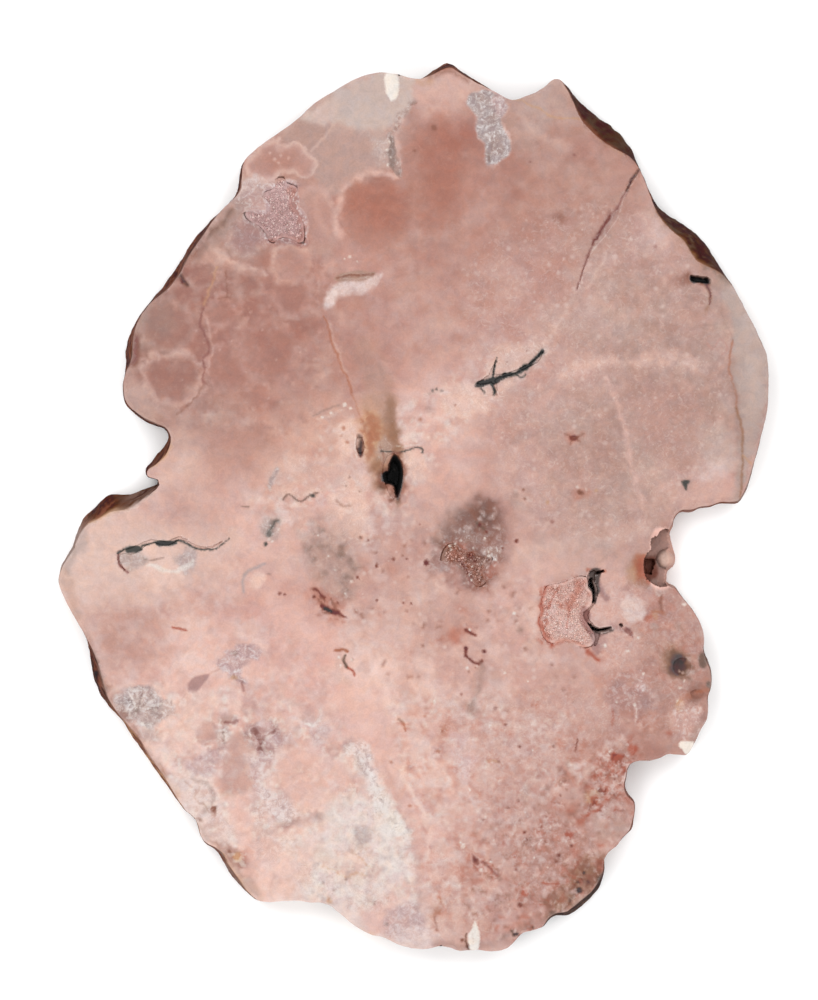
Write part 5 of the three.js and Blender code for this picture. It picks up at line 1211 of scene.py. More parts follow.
SOUTH_WEST = (
    # the fan of quartz spikes at the west edge
    patch(Hue.STORM, 4, 112, 700, 122, 692, 134, 686, 150, 686, 158, 695, 170, 703, 174, 714, 160, 722,
          148, 728, 134, 724, 122, 716, ragged=3, crystal=0.9, glint=0.5),
    *(vein(Hue.CHALK_AND_GLINT, 1.6, 1.6, 136, 711, x, y, strength=0.6, ragged=1.4)
      for x, y in ((129, 692), (138, 688), (148, 690), (156, 698), (163, 703))),
    *(vein(Hue.DEEP_SMOKE, 1.6, 1.4, 137, 712, x, y, strength=0.55, ragged=1.4)
      for x, y in ((125, 696), (134, 690), (143, 688), (152, 694), (160, 707))),
    patch(Hue.SMOKE, 4, 120, 707, 130, 712, 142, 712, 152, 708, 162, 712, 158, 722, 146, 722, 132, 722,
          122, 716, strength=0.7, ragged=2.4, crystal=0.3),
    flecks(Hue.CHALK_AND_GLINT, 1.3, 129, 714, 1.4, 143, 723, 2, 158, 732, 1.4, 132, 699, 1.3, 163, 712, 1.2,
           strength=0.85),
    patch(Hue.OYSTER, 8, 106, 696, 118, 692, 124, 704, 118, 712, 108, 708, strength=0.6, ragged=3,
          flake=0.4),
    blob(Hue.MILKY_GREY, 8, 150, 736, 10, 9, 40, strength=0.6, crystal=0.6),
    blob(Hue.IVORY, 6, 157, 749, 6, 4, 20, strength=0.5),
    vein(Hue.CREAM, 5, 6, 104, 676, 112, 690, 128, 684, strength=0.35),
    # grey diamond, lavender crystals and the seam that joins them
    patch(Hue.MAUVE, 2.4, 188, 692, 190, 680, 198, 676, 209, 674, 205, 682, 196, 691, strength=0.75,
          ragged=1),
    vein(Hue.TEA_ROSE, 2, 1.2, 176, 705, 188, 692, strength=0.5),
    vein(Hue.TEA_ROSE, 2, 1.2, 209, 674, 220, 668, strength=0.5),
    patch(Hue.LAVENDER, 4, 219, 660, 226, 650, 240, 645, 256, 645, 260, 654, 250, 664, 238, 672, 244, 682,
          236, 682, 228, 672, 220, 672, ragged=3.4, crystal=0.8, glint=0.6),
    blob(Hue.SMOKE, 3, 234, 652, 4, 3, strength=0.6), blob(Hue.HONEY, 3, 234, 677, 3.4, 2.6, strength=0.8),
    vein(Hue.PLUM, 2.4, 2.2, 240, 681, 243, 690, strength=0.6, ragged=1.6),
    patch(Hue.LAVENDER, 12, 246, 690, 262, 704, 272, 716, 262, 720, 246, 710, strength=0.35, ragged=5,
          crystal=0.5),
    # round spots, finger and star
    patch(Hue.DUSTY_ROSE, 3, 204, 724, 213, 722, 219, 730, 214, 738, 208, 746, 199, 744, 197, 736, 202, 732,
          ragged=1.4, strength=0.9),
    blob(Hue.ASH_ROSE, 5, 228, 720, 9, 6, strength=0.75, ragged=3),
    vein(Hue.PLUM, 2, 3, 226, 722, 231, 723, 236, 720, ragged=1.4),
    patch(Hue.MILKY_GREY, 5, 218, 728, 226, 726, 228, 740, 224, 752, 217, 746, strength=0.6, ragged=3.4,
          crystal=0.9, glint=0.6),
    vein(Hue.DEEP_SMOKE, 2, 2, 222, 732, 224, 744, strength=0.6),
    patch(Hue.SAND, 4, 229, 740, 236, 732, 244, 738, 247, 760, 250, 786, 238, 796, 222, 796, 214, 786,
          222, 772, 226, 756, core=Hue.DUSTY_ROSE, core_depth=14),
    blob(Hue.CLAY_ROSE, 6, 230, 790, 7, 5, strength=0.5), blob(Hue.ROSE, 5, 219, 783, 6, 8, strength=0.6),
    patch(Hue.MAUVE, 4, 246, 726, 256, 722, 274, 721, 283, 730, 282, 744, 274, 754, 258, 756, 248, 744,
          strength=0.7, ragged=3, crystal=0.5),
    patch(Hue.PLUM, 2, 250, 731, 256, 728, 263, 735, 275, 728, 276, 731, 268, 739, 262, 745, 268, 753,
          262, 751, 256, 750, 258, 742, ragged=1.2, core=Hue.OXBLOOD, core_depth=6, rough=0.6),
    blob(Hue.LAVENDER, 2, 273, 741, 7.5, 7, strength=0.9, ragged=1),
    blob(Hue.LILAC, 3, 264, 725, 6, 4, strength=0.8),
    blob(Hue.SMOKE, 6, 250, 742, 5, 8, strength=0.5, crystal=0.6),
    # lavender ridge and the cream quartz along the rim
    patch(Hue.LAVENDER, 5, 184, 766, 196, 759, 210, 753, 222, 756, 218, 768, 206, 778, 194, 774,
          strength=0.8, ragged=3.4, crystal=0.5),
    vein(Hue.MAUVE, 3, 1.8, 200, 758, 214, 750, 226, 746, strength=0.6),
    # painted glint: a short white dash that stands for a highlight
    vein(Hue.CHALK_AND_GLINT, 1.2, 3.4, 179, 760, 180, 769, ragged=0.6),
    vein(Hue.HONEY, 6, 6, 150, 764, 166, 780, 178, 796, strength=0.4),
    patch(Hue.IVORY, 8, 176, 772, 196, 776, 212, 780, 216, 800, 232, 818, 240, 836, 222, 846, 204, 838,
          196, 820, 180, 800, strength=0.85, ragged=5, flake=0.6),
    vein(Hue.OYSTER, 3, 4, 192, 780, 206, 784, 212, 800, 206, 812, strength=0.7, ragged=3, crystal=0.4),
    vein(Hue.TAN, 2, 1.6, 186, 784, 196, 790, 194, 798, 203, 804, strength=0.6, ragged=2.4),
    vein(Hue.TAN, 2, 1.6, 203, 804, 210, 812, 216, 818, strength=0.6),
    patch(Hue.LIVER, 2, 211, 808, 217, 806, 216, 815, 212, 812, ragged=1.2),
    blob(Hue.DEEP_SMOKE, 3, 198, 819, 4, 2, 20, strength=0.7),
    patch(Hue.LIVER, 4, 210, 842, 226, 846, 240, 852, 252, 862, 236, 868, 222, 858, strength=0.5, ragged=3,
          rust=0.6),
    vein(Hue.LIVER, 2.4, 3.4, 229, 852, 234, 857, 240, 860, ragged=1.4), blob(Hue.HONEY, 3, 238, 857, 4, 5),
    blob(Hue.TERRACOTTA, 6, 247, 856, 6, 7, strength=0.6),
    vein(Hue.HONEY, 5, 8, 226, 868, 238, 884, 250, 896, strength=0.4),
    # crystals and pale druse inward of the rim
    patch(Hue.IVORY, 5, 258, 796, 266, 790, 278, 794, 294, 804, 300, 816, 284, 822, 268, 816, 258, 826,
          254, 812, ragged=4, strength=0.8, crystal=0.8, flake=0.5, glint=0.5),
    blob(Hue.SAND, 5, 264, 808, 9, 4, strength=0.8),
    blob(Hue.LAVENDER, 6, 284, 800, 12, 10, 30, strength=0.5, crystal=0.7),
    patch(Hue.LAVENDER, 5, 250, 758, 262, 756, 270, 762, 262, 776, 268, 790, 258, 796, 252, 780,
          strength=0.75, ragged=3.4, crystal=0.8, glint=0.5),
    vein(Hue.LAVENDER, 4, 5, 268, 758, 282, 744, 292, 736, strength=0.6, ragged=3, crystal=0.8),
    # painted glints: white flecks that stand for highlights
    flecks(Hue.CHALK_AND_GLINT, 1.4, 265, 827, 2.4, 268, 826, 1.6, 274, 721, 2, 259, 837, 1.2, 311, 724, 2,
           317, 720, 2.2, strength=0.95),
    patch(Hue.IVORY, 7, 258, 822, 276, 828, 286, 844, 284, 864, 268, 866, 256, 852, 254, 836, ragged=5,
          strength=0.7, flake=0.9),
    vein(Hue.SMOKE, 3, 3, 258, 850, 262, 856, strength=0.5),
    vein(Hue.MAUVE, 5, 5, 268, 832, 290, 824, 322, 820, strength=0.45, ragged=3, crystal=0.4),
    blob(Hue.SAND, 14, 302, 780, 26, 24, strength=0.6, ragged=6),
    blob(Hue.SAND, 8, 340, 774, 16, 12, strength=0.5),
    patch(Hue.LAVENDER, 5, 306, 716, 318, 714, 330, 724, 328, 744, 320, 756, 312, 740, strength=0.5,
          ragged=4, crystal=0.7, glint=0.6),
    blob(Hue.CLAY_ROSE, 8, 330, 750, 8, 6, strength=0.35),
    vein(Hue.CHALK_AND_GLINT, 1.8, 3, 306, 723, 312, 725, strength=0.8),
    vein(Hue.MAUVE, 3, 3, 288, 782, 296, 776, 306, 774, strength=0.4, ragged=3, flake=0.5),
    vein(Hue.LAVENDER, 3, 4, 332, 782, 340, 790, 352, 788, strength=0.5, ragged=2.4, crystal=0.7),
    # the white spur and the milky mass below it
    patch(Hue.MAUVE, 5, 342, 742, 352, 738, 358, 744, 352, 750, 344, 748, strength=0.6, ragged=3),
    patch(Hue.NACRE, 4, 346, 748, 354, 744, 360, 740, 370, 752, 377, 770, 380, 790, 390, 806, 376, 806,
          366, 794, 366, 776, 360, 762, 350, 756, ragged=2.6, crystal=0.9, glint=0.4),
    patch(Hue.NACRE, 7, 330, 824, 344, 808, 364, 796, 384, 800, 400, 816, 412, 838, 416, 862, 412, 886,
          396, 880, 380, 872, 352, 856, 332, 852, 320, 842, ragged=5, strength=0.85, crystal=0.35),
    blob(Hue.OYSTER, 8, 364, 836, 8, 12, 10, strength=0.7),
    blob(Hue.IVORY, 8, 376, 812, 14, 10, strength=0.6, crystal=0.4),
    *(vein(Hue.OYSTER, 2.4, 2, 396 + 5 * k, 822 + 14 * k, 406 + 3 * k, 818 + 14 * k, strength=0.5)
      for k in range(4)),
    patch(Hue.CREAM, 7, 320, 858, 340, 852, 360, 856, 372, 868, 366, 876, 344, 878, 326, 872, ragged=4,
          strength=0.8),
    vein(Hue.HONEY, 3, 2, 322, 866, 334, 872, 346, 876, 356, 872, 366, 874, strength=0.55, ragged=2.4),
    vein(Hue.HONEY, 3, 2, 352, 852, 360, 858, 370, 866, strength=0.5),
    patch(Hue.NACRE, 8, 298, 866, 316, 862, 326, 876, 352, 882, 380, 878, 396, 890, 386, 906, 360, 912,
          340, 902, 318, 896, 300, 888, ragged=6, strength=0.8, flake=0.8, crystal=0.3),
    patch(Hue.ROSE, 7, 358, 912, 380, 900, 402, 884, 408, 896, 398, 910, 386, 930, 366, 932, ragged=4,
          strength=0.7),
    patch(Hue.LAVENDER, 5, 384, 916, 396, 908, 412, 898, 420, 908, 422, 928, 410, 942, 392, 940, 384, 930,
          ragged=4, strength=0.65, crystal=0.8),
    patch(Hue.NACRE, 6, 394, 932, 416, 924, 430, 932, 428, 948, 404, 948, strength=0.6, ragged=4,
          crystal=0.5),
    flecks(Hue.SMOKE, 2, 374, 903, 2.2, 335, 890, 1.6, 346, 879, 1.8, 322, 883, 1.6, 330, 899, 1.8,
           386, 924, 1.8, strength=0.7),
    blob(Hue.HONEY, 3, 330, 900, 3, 4, strength=0.6),
    vein(Hue.HONEY, 5, 5, 340, 920, 356, 930, 372, 936, strength=0.5),
    vein(Hue.MAUVE, 4, 4, 416, 866, 418, 884, 420, 906, strength=0.5, ragged=2.4),
)

SOUTH = (
    # salmon bands, the white vein and the pits of the lower middle
    vein(Hue.BLUSH, 14, 16, 356, 690, 382, 730, 400, 780, 420, 830, strength=0.4, ragged=4),
    vein(Hue.CLAY_ROSE, 7, 6, 384, 760, 396, 800, 412, 840, 424, 880, strength=0.4, ragged=4),
    vein(Hue.APRICOT, 2.4, 6, 405, 768, 402, 778, 409, 788, 416, 800, 424, 812, end_width=2, ragged=1.8,
         strength=0.95),
    vein(Hue.APRICOT, 3.4, 4, 424, 812, 430, 830, 428, 848, 427, 862, strength=0.6, flake=0.4),
    blob(Hue.IVORY, 3, 427, 856, 3, 6, strength=0.6),
    blob(Hue.CREAM, 4, 432, 798, 4, 12, -10, strength=0.5, flake=0.5),
    vein(Hue.RUST, 2.2, 2.2, 399, 719, 402, 722, 405, 730, ragged=1.4, strength=0.85),
    vein(Hue.LIVER, 1.8, 1.6, 399, 719, 402, 722, ragged=1),
    blob(Hue.RUST, 5, 444, 729, 4, 5, strength=0.6, ragged=2.4),
    blob(Hue.RUST, 4, 401, 759, 3.6, 2.4, strength=0.6),
    flecks(Hue.RUST, 2, 391, 762, 1.6, 438, 751, 1.8, 425, 716, 1.4, 410, 806, 1.6, strength=0.6),
    vein(Hue.TERRACOTTA, 4, 3, 424, 758, 432, 752, 440, 750, strength=0.4),
    vein(Hue.SHELL, 8, 6, 444, 738, 450, 770, 452, 800, strength=0.4, ragged=4),
    patch(Hue.LILAC, 9, 452, 740, 464, 736, 474, 744, 474, 768, 462, 782, 452, 772, strength=0.7, ragged=5,
          crystal=0.5, flake=0.3),
    vein(Hue.HONEY, 2.4, 1.8, 487, 761, 493, 760, 499, 763, strength=0.7, ragged=1.4),
    vein(Hue.OXBLOOD, 1.8, 1.6, 576, 751, 577, 746, 577, 739, strength=0.8, ragged=1),
    flecks(Hue.OXBLOOD, 1.8, 506, 725, 1.3, 520, 747, 1.6, 554, 746, 1.6, 483, 820, 1.6, 508, 808, 1.5,
           518, 800, 1.3, 559, 804, 1.3, 560, 795, 1.2, 546, 817, 1.3, 499, 762, 1.1, strength=0.75),
    flecks(Hue.CHALK_AND_GLINT, 1.2, 485, 818, 1.4, 470, 790, 1, 500, 780, 1, 532, 750, 1, 544, 772, 0.9,
           493, 840, 1.1, 560, 782, 1, 512, 858, 1.1, strength=0.8),
    blob(Hue.MAUVE, 4, 537, 775, 4, 5, strength=0.7, ragged=2.4),
    blob(Hue.MAUVE, 3, 563, 782, 2.6, 2, strength=0.6),
    blob(Hue.MILKY_GREY, 5, 525, 793, 6, 8, strength=0.6, ragged=4, crystal=0.7),
    blob(Hue.MILKY_GREY, 8, 520, 818, 11, 13, strength=0.5, ragged=5, crystal=0.7),
    patch(Hue.DUSTY_ROSE, 20, 480, 770, 520, 760, 556, 776, 560, 830, 540, 870, 500, 860, 480, 820,
          strength=0.4, ragged=9, crystal=0.45, flake=0.45, rust=0.35),
    patch(None, 22, 440, 700, 520, 690, 600, 690, 620, 740, 560, 770, 480, 760, 440, 740, ragged=9,
          flake=0.4, rust=0.25, pearl=0.6, crystal=0.15),
    patch(None, 18, 424, 860, 460, 850, 500, 880, 500, 930, 460, 944, 430, 930, ragged=8, rust=0.45,
          flake=0.4),
    # the crack with its red halo, star and brown stains
    blob(Hue.TERRACOTTA, 7, 466, 873, 6, 8, strength=0.5, ragged=3),
    patch(Hue.PLUM, 2, 472, 853, 476, 857, 481, 862, 479, 867, 473, 862, ragged=1.2, core=Hue.OXBLOOD,
          core_depth=3, rough=1),
    vein(Hue.PLUM, 2, 2.6, 479, 862, 486, 864, 491, 869, 497, 875, ragged=1.4, strength=0.9),
    # painted glints: white flecks that stand for highlights
    flecks(Hue.CHALK_AND_GLINT, 1.4, 481, 870, 1.7, 486, 861, 1.2, 491, 862, 1.3, 463, 846, 2.4, 460, 843, 1.4,
           strength=0.85),
    blob(Hue.TERRACOTTA, 5, 462, 877, 4, strength=0.5),
    blob(Hue.RUST, 5, 436, 911, 5, 8, strength=0.75, ragged=2.4),
    vein(Hue.RUST, 3, 3, 438, 898, 443, 905, strength=0.6),
    vein(Hue.LIVER, 3, 2.4, 436, 918, 436, 930, strength=0.6),
    vein(Hue.TAN, 2.4, 1.6, 494, 905, 503, 903, 512, 905, strength=0.6),
)

SOUTH_EAST = (
    # pale ridge round the reddest druse
    vein(Hue.CREAM, 5, 6, 573, 790, 583, 775, 598, 762, 604, 750, 612, 745, 622, 741, strength=0.75,
         ragged=3, crystal=0.3),
    patch(Hue.TEA_ROSE, 12, 580, 786, 600, 764, 616, 748, 634, 744, 640, 764, 634, 790, 628, 812, 604, 820,
          584, 810, strength=0.6, ragged=6, rust=0.9, crystal=0.35, flake=0.5, glint=0.5),
    patch(Hue.TEA_ROSE, 14, 512, 840, 540, 824, 570, 818, 590, 836, 598, 870, 580, 900, 545, 912, 516, 906,
          508, 870, strength=0.5, ragged=8, rust=0.8, crystal=0.4, flake=0.5, glint=0.4),
    patch(Hue.CLAY_ROSE, 3.4, 588, 808, 602, 802, 622, 803, 634, 812, 632, 832, 618, 842, 600, 842,
          588, 830, ragged=2.4, core=Hue.WARM_ASH, core_depth=9),
    blob(Hue.CLAY_ROSE, 4, 553, 893, 12, 9, strength=0.85, ragged=2.4),
    blob(Hue.HONEY, 4, 592, 796, 8, 7, strength=0.7, ragged=3, rust=0.6),
    flecks(Hue.EMBER, 3, 617, 758, 4.4, 634, 750, 4.4, 621, 774, 4.4, 600, 775, 3, 595, 798, 4.4,
           615, 790, 2.6, 626, 786, 2.4, 570, 834, 4, 524, 893, 4, strength=0.75, ragged=3),
    flecks(Hue.TERRACOTTA, 4, 610, 764, 4, 628, 766, 5, 606, 786, 4, 578, 822, 5, 556, 838, 5, 540, 850, 5,
           528, 866, 4, 576, 852, 5, 590, 862, 4, 564, 874, 5, 540, 872, 4, 632, 778, 4, strength=0.5,
           ragged=4),
    flecks(Hue.OXBLOOD, 1.8, 541, 827, 1.6, 525, 832, 1.8, 527, 840, 1.4, 559, 855, 2, 556, 862, 1.6,
           590, 855, 1.6, 581, 870, 2, 520, 905, 2.4, 516, 870, 1.3, 545, 842, 1.2, 572, 846, 1.4,
           608, 770, 1.4, 624, 756, 1.3, strength=0.8),
    vein(Hue.EMBER, 3, 2.6, 584, 817, 590, 813, 598, 811, strength=0.75),
    vein(Hue.EMBER, 2.4, 2.6, 543, 884, 550, 884, 558, 884, strength=0.75),
    vein(Hue.EMBER, 2.4, 2.4, 539, 905, 546, 905, 553, 904, strength=0.6),
    *(vein(Hue.CREAM, 3, 3, x, y, x + 8, y - 4, strength=0.6, ragged=3, crystal=0.8)
      for x, y in ((604, 757), (619, 783), (532, 846), (548, 830), (563, 862), (530, 880), (574, 880),
                   (604, 794))),
    flecks(Hue.CHALK_AND_GLINT, 1.2, 587, 897, 1.6, 612, 768, 1.2, 629, 760, 1.1, 604, 780, 1, 566, 842, 1,
           534, 858, 1.2, 548, 868, 1, 575, 862, 1.1, 520, 884, 1, 610, 752, 1, strength=0.8),
    # the crumbling brown rim
    patch(Hue.TAN, 6, 564, 902, 582, 886, 596, 874, 604, 874, 602, 888, 590, 902, 574, 914, 562, 914,
          strength=0.7, ragged=3, flake=0.6, rust=0.6),
    patch(Hue.DEEP_SMOKE, 12, 552, 904, 568, 884, 590, 862, 606, 866, 606, 890, 590, 908, 566, 918,
          strength=0.7, ragged=5),
    patch(Hue.TOBACCO, 12, 546, 908, 562, 886, 580, 862, 606, 858, 606, 890, 590, 908, 562, 920,
          strength=0.7, ragged=6),
    patch(Hue.LIVER, 6, 540, 910, 558, 886, 576, 862, 606, 856, 608, 890, 590, 910, 562, 922, grain=9,
          sparse=0, strength=0.8),
    patch(Hue.UMBER, 6, 556, 906, 570, 888, 590, 868, 606, 866, 606, 890, 590, 908, 566, 918, grain=6,
          sparse=0.15, strength=0.85),
    patch(Hue.SAND, 6, 550, 912, 570, 900, 590, 880, 606, 876, 606, 890, 590, 908, 566, 918, grain=5,
          sparse=0.2, strength=0.7),
    flecks(Hue.BISTRE, 2, 578, 890, 3, 585, 896, 1.8, 583, 872, 1.8, 516, 935, 2.4, 533, 928, 1.6,
           512, 932, 1.6, strength=0.85, ragged=1.6),
    blob(Hue.SLATE, 3, 600, 881, 3.4, 7, 20, strength=0.8),
    blob(Hue.OLIVE, 3, 554, 915, 6, 3, strength=0.75),
    vein(Hue.SMOKE, 5, 5, 515, 932, 540, 922, 562, 914, strength=0.5, ragged=3, flake=0.4),
    vein(Hue.SMOKE, 5, 5, 436, 944, 460, 946, 490, 946, 512, 936, strength=0.45, ragged=3, rust=0.4),
)

SOUTH_EAST_ZONE = (600, 745, 640, 750, 632, 800, 640, 830, 606, 872, 600, 905, 560, 925, 520, 945, 490, 935,
                   456, 900, 476, 840, 520, 790, 560, 760)
EAST_LOBE_ZONE = (600, 590, 660, 580, 700, 620, 712, 680, 690, 745, 640, 738, 600, 720, 590, 650)
SOUTH_ZONE = (390, 700, 470, 690, 560, 700, 590, 760, 540, 790, 480, 840, 460, 910, 430, 945, 420, 850,
              400, 780)
SOUTH_WEST_ZONE = (110, 690, 190, 690, 300, 700, 350, 740, 410, 820, 425, 930, 330, 905, 260, 895, 200, 830,
                   140, 750)
MIDDLE_ZONE = (330, 560, 420, 520, 500, 560, 560, 600, 580, 690, 500, 720, 400, 700, 340, 650)
CREAM_ZONE = (250, 500, 300, 460, 340, 420, 420, 400, 490, 350, 545, 345, 530, 380, 450, 440, 400, 520,
              366, 550, 300, 540)
WEST_ZONE = (66, 560, 130, 530, 240, 530, 240, 600, 330, 660, 320, 730, 190, 690, 110, 690, 80, 620)
EAST_ZONE = (480, 400, 560, 300, 640, 210, 720, 300, 735, 480, 650, 540, 560, 560, 510, 500)
LOBE_ZONE = (125, 340, 170, 270, 240, 180, 330, 230, 330, 400, 240, 440, 170, 410)
NORTH_ZONE = (330, 190, 400, 120, 450, 90, 560, 110, 620, 180, 560, 290, 450, 350, 350, 330)


def grains(outline: Sequence[float], *kinds: tuple[Hue, float, float, float],
           **more: float) -> tuple[Patch, ...]:
    """Sprinkle an area with several kinds of small irregular grains.

    Args:
        outline: x and y of the area's corners in turn.
        kinds: the hue, the size, the sparseness and the strength of each kind.
        **more: textures for all of them.

    Returns:
        One mark for each kind.
    """
    return tuple(patch(hue, 22, *outline, ragged=9, grain=size, sparse=sparse, strength=strength, **more)
                 for hue, size, sparse, strength in kinds)


GRAINS = (
    *grains(SOUTH_EAST_ZONE, (Hue.TERRACOTTA, 15, 0.2, 0.35), (Hue.PETAL, 16, 0.1, 0.45),
            (Hue.MAUVE, 13, 0.3, 0.3), (Hue.CREAM, 5, 0.38, 0.45), (Hue.LIVER, 5, 0.5, 0.5)),
    *grains(EAST_LOBE_ZONE, (Hue.TERRACOTTA, 24, 0.2, 0.22), (Hue.SHELL, 13, 0.15, 0.35),
            (Hue.MAUVE, 11, 0.3, 0.3), (Hue.TERRACOTTA, 7, 0.42, 0.3), (Hue.CREAM, 5, 0.42, 0.4)),
    *grains(SOUTH_ZONE, (Hue.IVORY, 13, 0.15, 0.35), (Hue.TERRACOTTA, 11, 0.3, 0.28),
            (Hue.MAUVE, 8, 0.45, 0.3), (Hue.IVORY, 5, 0.42, 0.4)),
    *grains(SOUTH_WEST_ZONE, (Hue.NACRE, 13, 0.1, 0.45), (Hue.CLAY_ROSE, 11, 0.3, 0.35),
            (Hue.MAUVE, 7, 0.42, 0.35), (Hue.CHALK_AND_GLINT, 5, 0.4, 0.45)),
    *grains(MIDDLE_ZONE, (Hue.IVORY, 12, 0.2, 0.35), (Hue.TEA_ROSE, 13, 0.2, 0.3),
            (Hue.CREAM, 5, 0.42, 0.3), (Hue.LIVER, 4, 0.72, 0.6)),
    *grains(CREAM_ZONE, (Hue.NACRE, 10, 0.1, 0.5), (Hue.CLAY_ROSE, 10, 0.25, 0.35),
            (Hue.CHALK_AND_GLINT, 5, 0.35, 0.4), flake=0.5),
    *grains(WEST_ZONE, (Hue.NACRE, 12, 0.25, 0.35), (Hue.CLAY_ROSE, 14, 0.25, 0.3),
            (Hue.IVORY, 6, 0.42, 0.3)),
    *grains(EAST_ZONE, (Hue.SHELL, 15, 0.15, 0.35), (Hue.WARM_ASH, 12, 0.2, 0.35),
            (Hue.CREAM, 5, 0.42, 0.3)),
    *grains(LOBE_ZONE, (Hue.PALE_ASH, 14, 0.2, 0.35), (Hue.OLD_BRICK, 11, 0.2, 0.4),
            (Hue.CREAM, 6, 0.5, 0.3)),
    *grains(NORTH_ZONE, (Hue.PETAL, 13, 0.25, 0.2), (Hue.BRICK, 12, 0.25, 0.2)),
)

# over the druse of the south the grains lie on top of everything
TOP_GRAINS = (
    *grains(SOUTH_EAST_ZONE, (Hue.PETAL, 9, 0.25, 0.3), (Hue.EMBER, 6, 0.45, 0.4), (Hue.NACRE, 5, 0.4, 0.5),
            (Hue.LIVER, 5, 0.52, 0.5)),
    *grains((586, 780, 600, 758, 624, 742, 642, 756, 634, 800, 600, 822, 584, 806),
            (Hue.EMBER, 6, 0.2, 0.5), (Hue.NACRE, 4, 0.3, 0.6), (Hue.OXBLOOD, 5, 0.5, 0.6)),
    *grains((110, 690, 190, 690, 300, 700, 350, 740, 366, 790, 330, 816, 300, 870, 260, 895, 200, 830,
             140, 750),
            (Hue.NACRE, 9, 0.2, 0.4), (Hue.CLAY_ROSE, 9, 0.35, 0.35), (Hue.CHALK_AND_GLINT, 5, 0.4, 0.5)),
    *grains((330, 800, 366, 788, 392, 800, 412, 838, 416, 886, 396, 905, 330, 908, 296, 884, 312, 850),
            (Hue.CHALK_AND_GLINT, 10, 0.05, 0.5), (Hue.SAND, 9, 0.4, 0.35), (Hue.STORM, 6, 0.48, 0.4),
            (Hue.CHALK_AND_GLINT, 5, 0.3, 0.5)),
    *grains(SOUTH_ZONE, (Hue.IVORY, 9, 0.3, 0.35), (Hue.TERRACOTTA, 8, 0.4, 0.3), (Hue.CHALK_AND_GLINT, 5, 0.5, 0.4)),
)

# smooth pink quartz between the druse of the south-west
SOUTH_LOBES = (
    patch(Hue.APRICOT, 8, 160, 712, 176, 696, 206, 688, 216, 706, 214, 724, 196, 742, 178, 754, 166, 738,
          strength=0.5, ragged=3),
    blob(Hue.DUSTY_ROSE, 5, 206, 733, 9, 11, 20, strength=0.6),
    patch(Hue.DUSTY_ROSE, 7, 228, 742, 240, 734, 248, 744, 252, 768, 250, 790, 236, 794, 222, 780,
          strength=0.6, ragged=3),
    patch(Hue.BLUSH, 9, 276, 768, 290, 750, 312, 744, 334, 758, 348, 776, 340, 796, 318, 812, 296, 804,
          280, 790, strength=0.65, ragged=4),
    blob(Hue.SHELL, 9, 292, 768, 13, 9, -30, strength=0.45, ragged=3),
    patch(Hue.BLUSH, 7, 232, 800, 244, 794, 252, 812, 250, 838, 240, 848, 230, 826, strength=0.7, ragged=3),
    patch(Hue.BLUSH, 9, 246, 850, 270, 838, 300, 846, 314, 866, 300, 892, 270, 898, 252, 878, strength=0.6,
          ragged=4),
    vein(Hue.NACRE, 8, 9, 250, 756, 262, 774, 266, 798, 284, 816, strength=0.6, ragged=4, crystal=0.7),
    vein(Hue.MAUVE, 6, 7, 346, 740, 358, 756, 366, 774, strength=0.45, ragged=4, crystal=0.6),
    vein(Hue.CHALK_AND_GLINT, 9, 12, 352, 748, 372, 784, 388, 812, 402, 840, strength=0.5, ragged=4, crystal=0.9),
    vein(Hue.SMOKE, 4, 3, 276, 826, 300, 820, 322, 816, strength=0.5, ragged=3),
    blob(Hue.APRICOT, 9, 352, 858, 12, 8, strength=0.5, ragged=3),
    blob(Hue.CHALK_AND_GLINT, 9, 388, 826, 14, 18, strength=0.5, ragged=4),
    blob(Hue.STORM, 7, 362, 834, 6, 8, strength=0.5, ragged=3),
    blob(Hue.CHALK_AND_GLINT, 8, 290, 846, 10, 12, strength=0.4, crystal=0.8),
)

# broad, faint corrections of the body colour
LEVELS = (
    blob(Hue.PALE_ASH, 16, 225, 268, 20, 12, strength=0.45),
    blob(Hue.ROSE, 22, 350, 268, 36, 22, strength=0.4),
    blob(Hue.PETAL, 34, 472, 205, 26, 42, strength=0.45), blob(Hue.CREAM, 24, 180, 456, 28, strength=0.4),
    blob(Hue.SHELL, 26, 592, 378, 38, 22, strength=0.45),
    blob(Hue.ASH_ROSE, 26, 588, 222, 28, 26, strength=0.4),
    blob(Hue.SHELL, 24, 520, 472, 24, 22, strength=0.35),
    blob(Hue.BLUSH, 30, 440, 780, 44, 18, strength=0.45),
    blob(Hue.CLAY_ROSE, 26, 282, 220, 30, strength=0.45),
    blob(Hue.STORM, 16, 432, 80, 14, 10, strength=0.6),
    blob(Hue.CLAY_ROSE, 26, 612, 226, 24, 22, strength=0.4),
    blob(Hue.DUSTY_ROSE, 22, 676, 240, 22, 26, strength=0.5),
    blob(Hue.STORM, 18, 722, 282, 12, 14, strength=0.5),
    blob(Hue.OLD_BRICK, 22, 172, 276, 18, 20, strength=0.45),
    blob(Hue.BLUSH, 30, 500, 375, 26, 18, strength=0.4),
    blob(Hue.OYSTER, 20, 400, 470, 20, 16, strength=0.35),
    blob(Hue.CREAM, 24, 175, 480, 24, 20, strength=0.35),
    blob(Hue.DUSTY_ROSE, 26, 670, 675, 26, strength=0.35),
    blob(Hue.BRICK, 26, 606, 776, 20, 30, strength=0.4),
    blob(Hue.CLAY_ROSE, 26, 575, 880, 26, 20, strength=0.45),
    blob(Hue.CLAY_ROSE, 24, 572, 625, 26, strength=0.4),
    blob(Hue.APRICOT, 24, 425, 775, 40, 22, strength=0.4),
    blob(Hue.NACRE, 22, 372, 822, 24, 26, strength=0.4),
    blob(Hue.ASH_ROSE, 30, 650, 670, 34, 30, strength=0.35),
    blob(Hue.TEA_ROSE, 26, 612, 800, 20, 34, strength=0.4),
    blob(Hue.CLAY_ROSE, 26, 480, 672, 20, strength=0.35),
    blob(Hue.BLUSH, 24, 225, 775, 16, 20, strength=0.3),
)

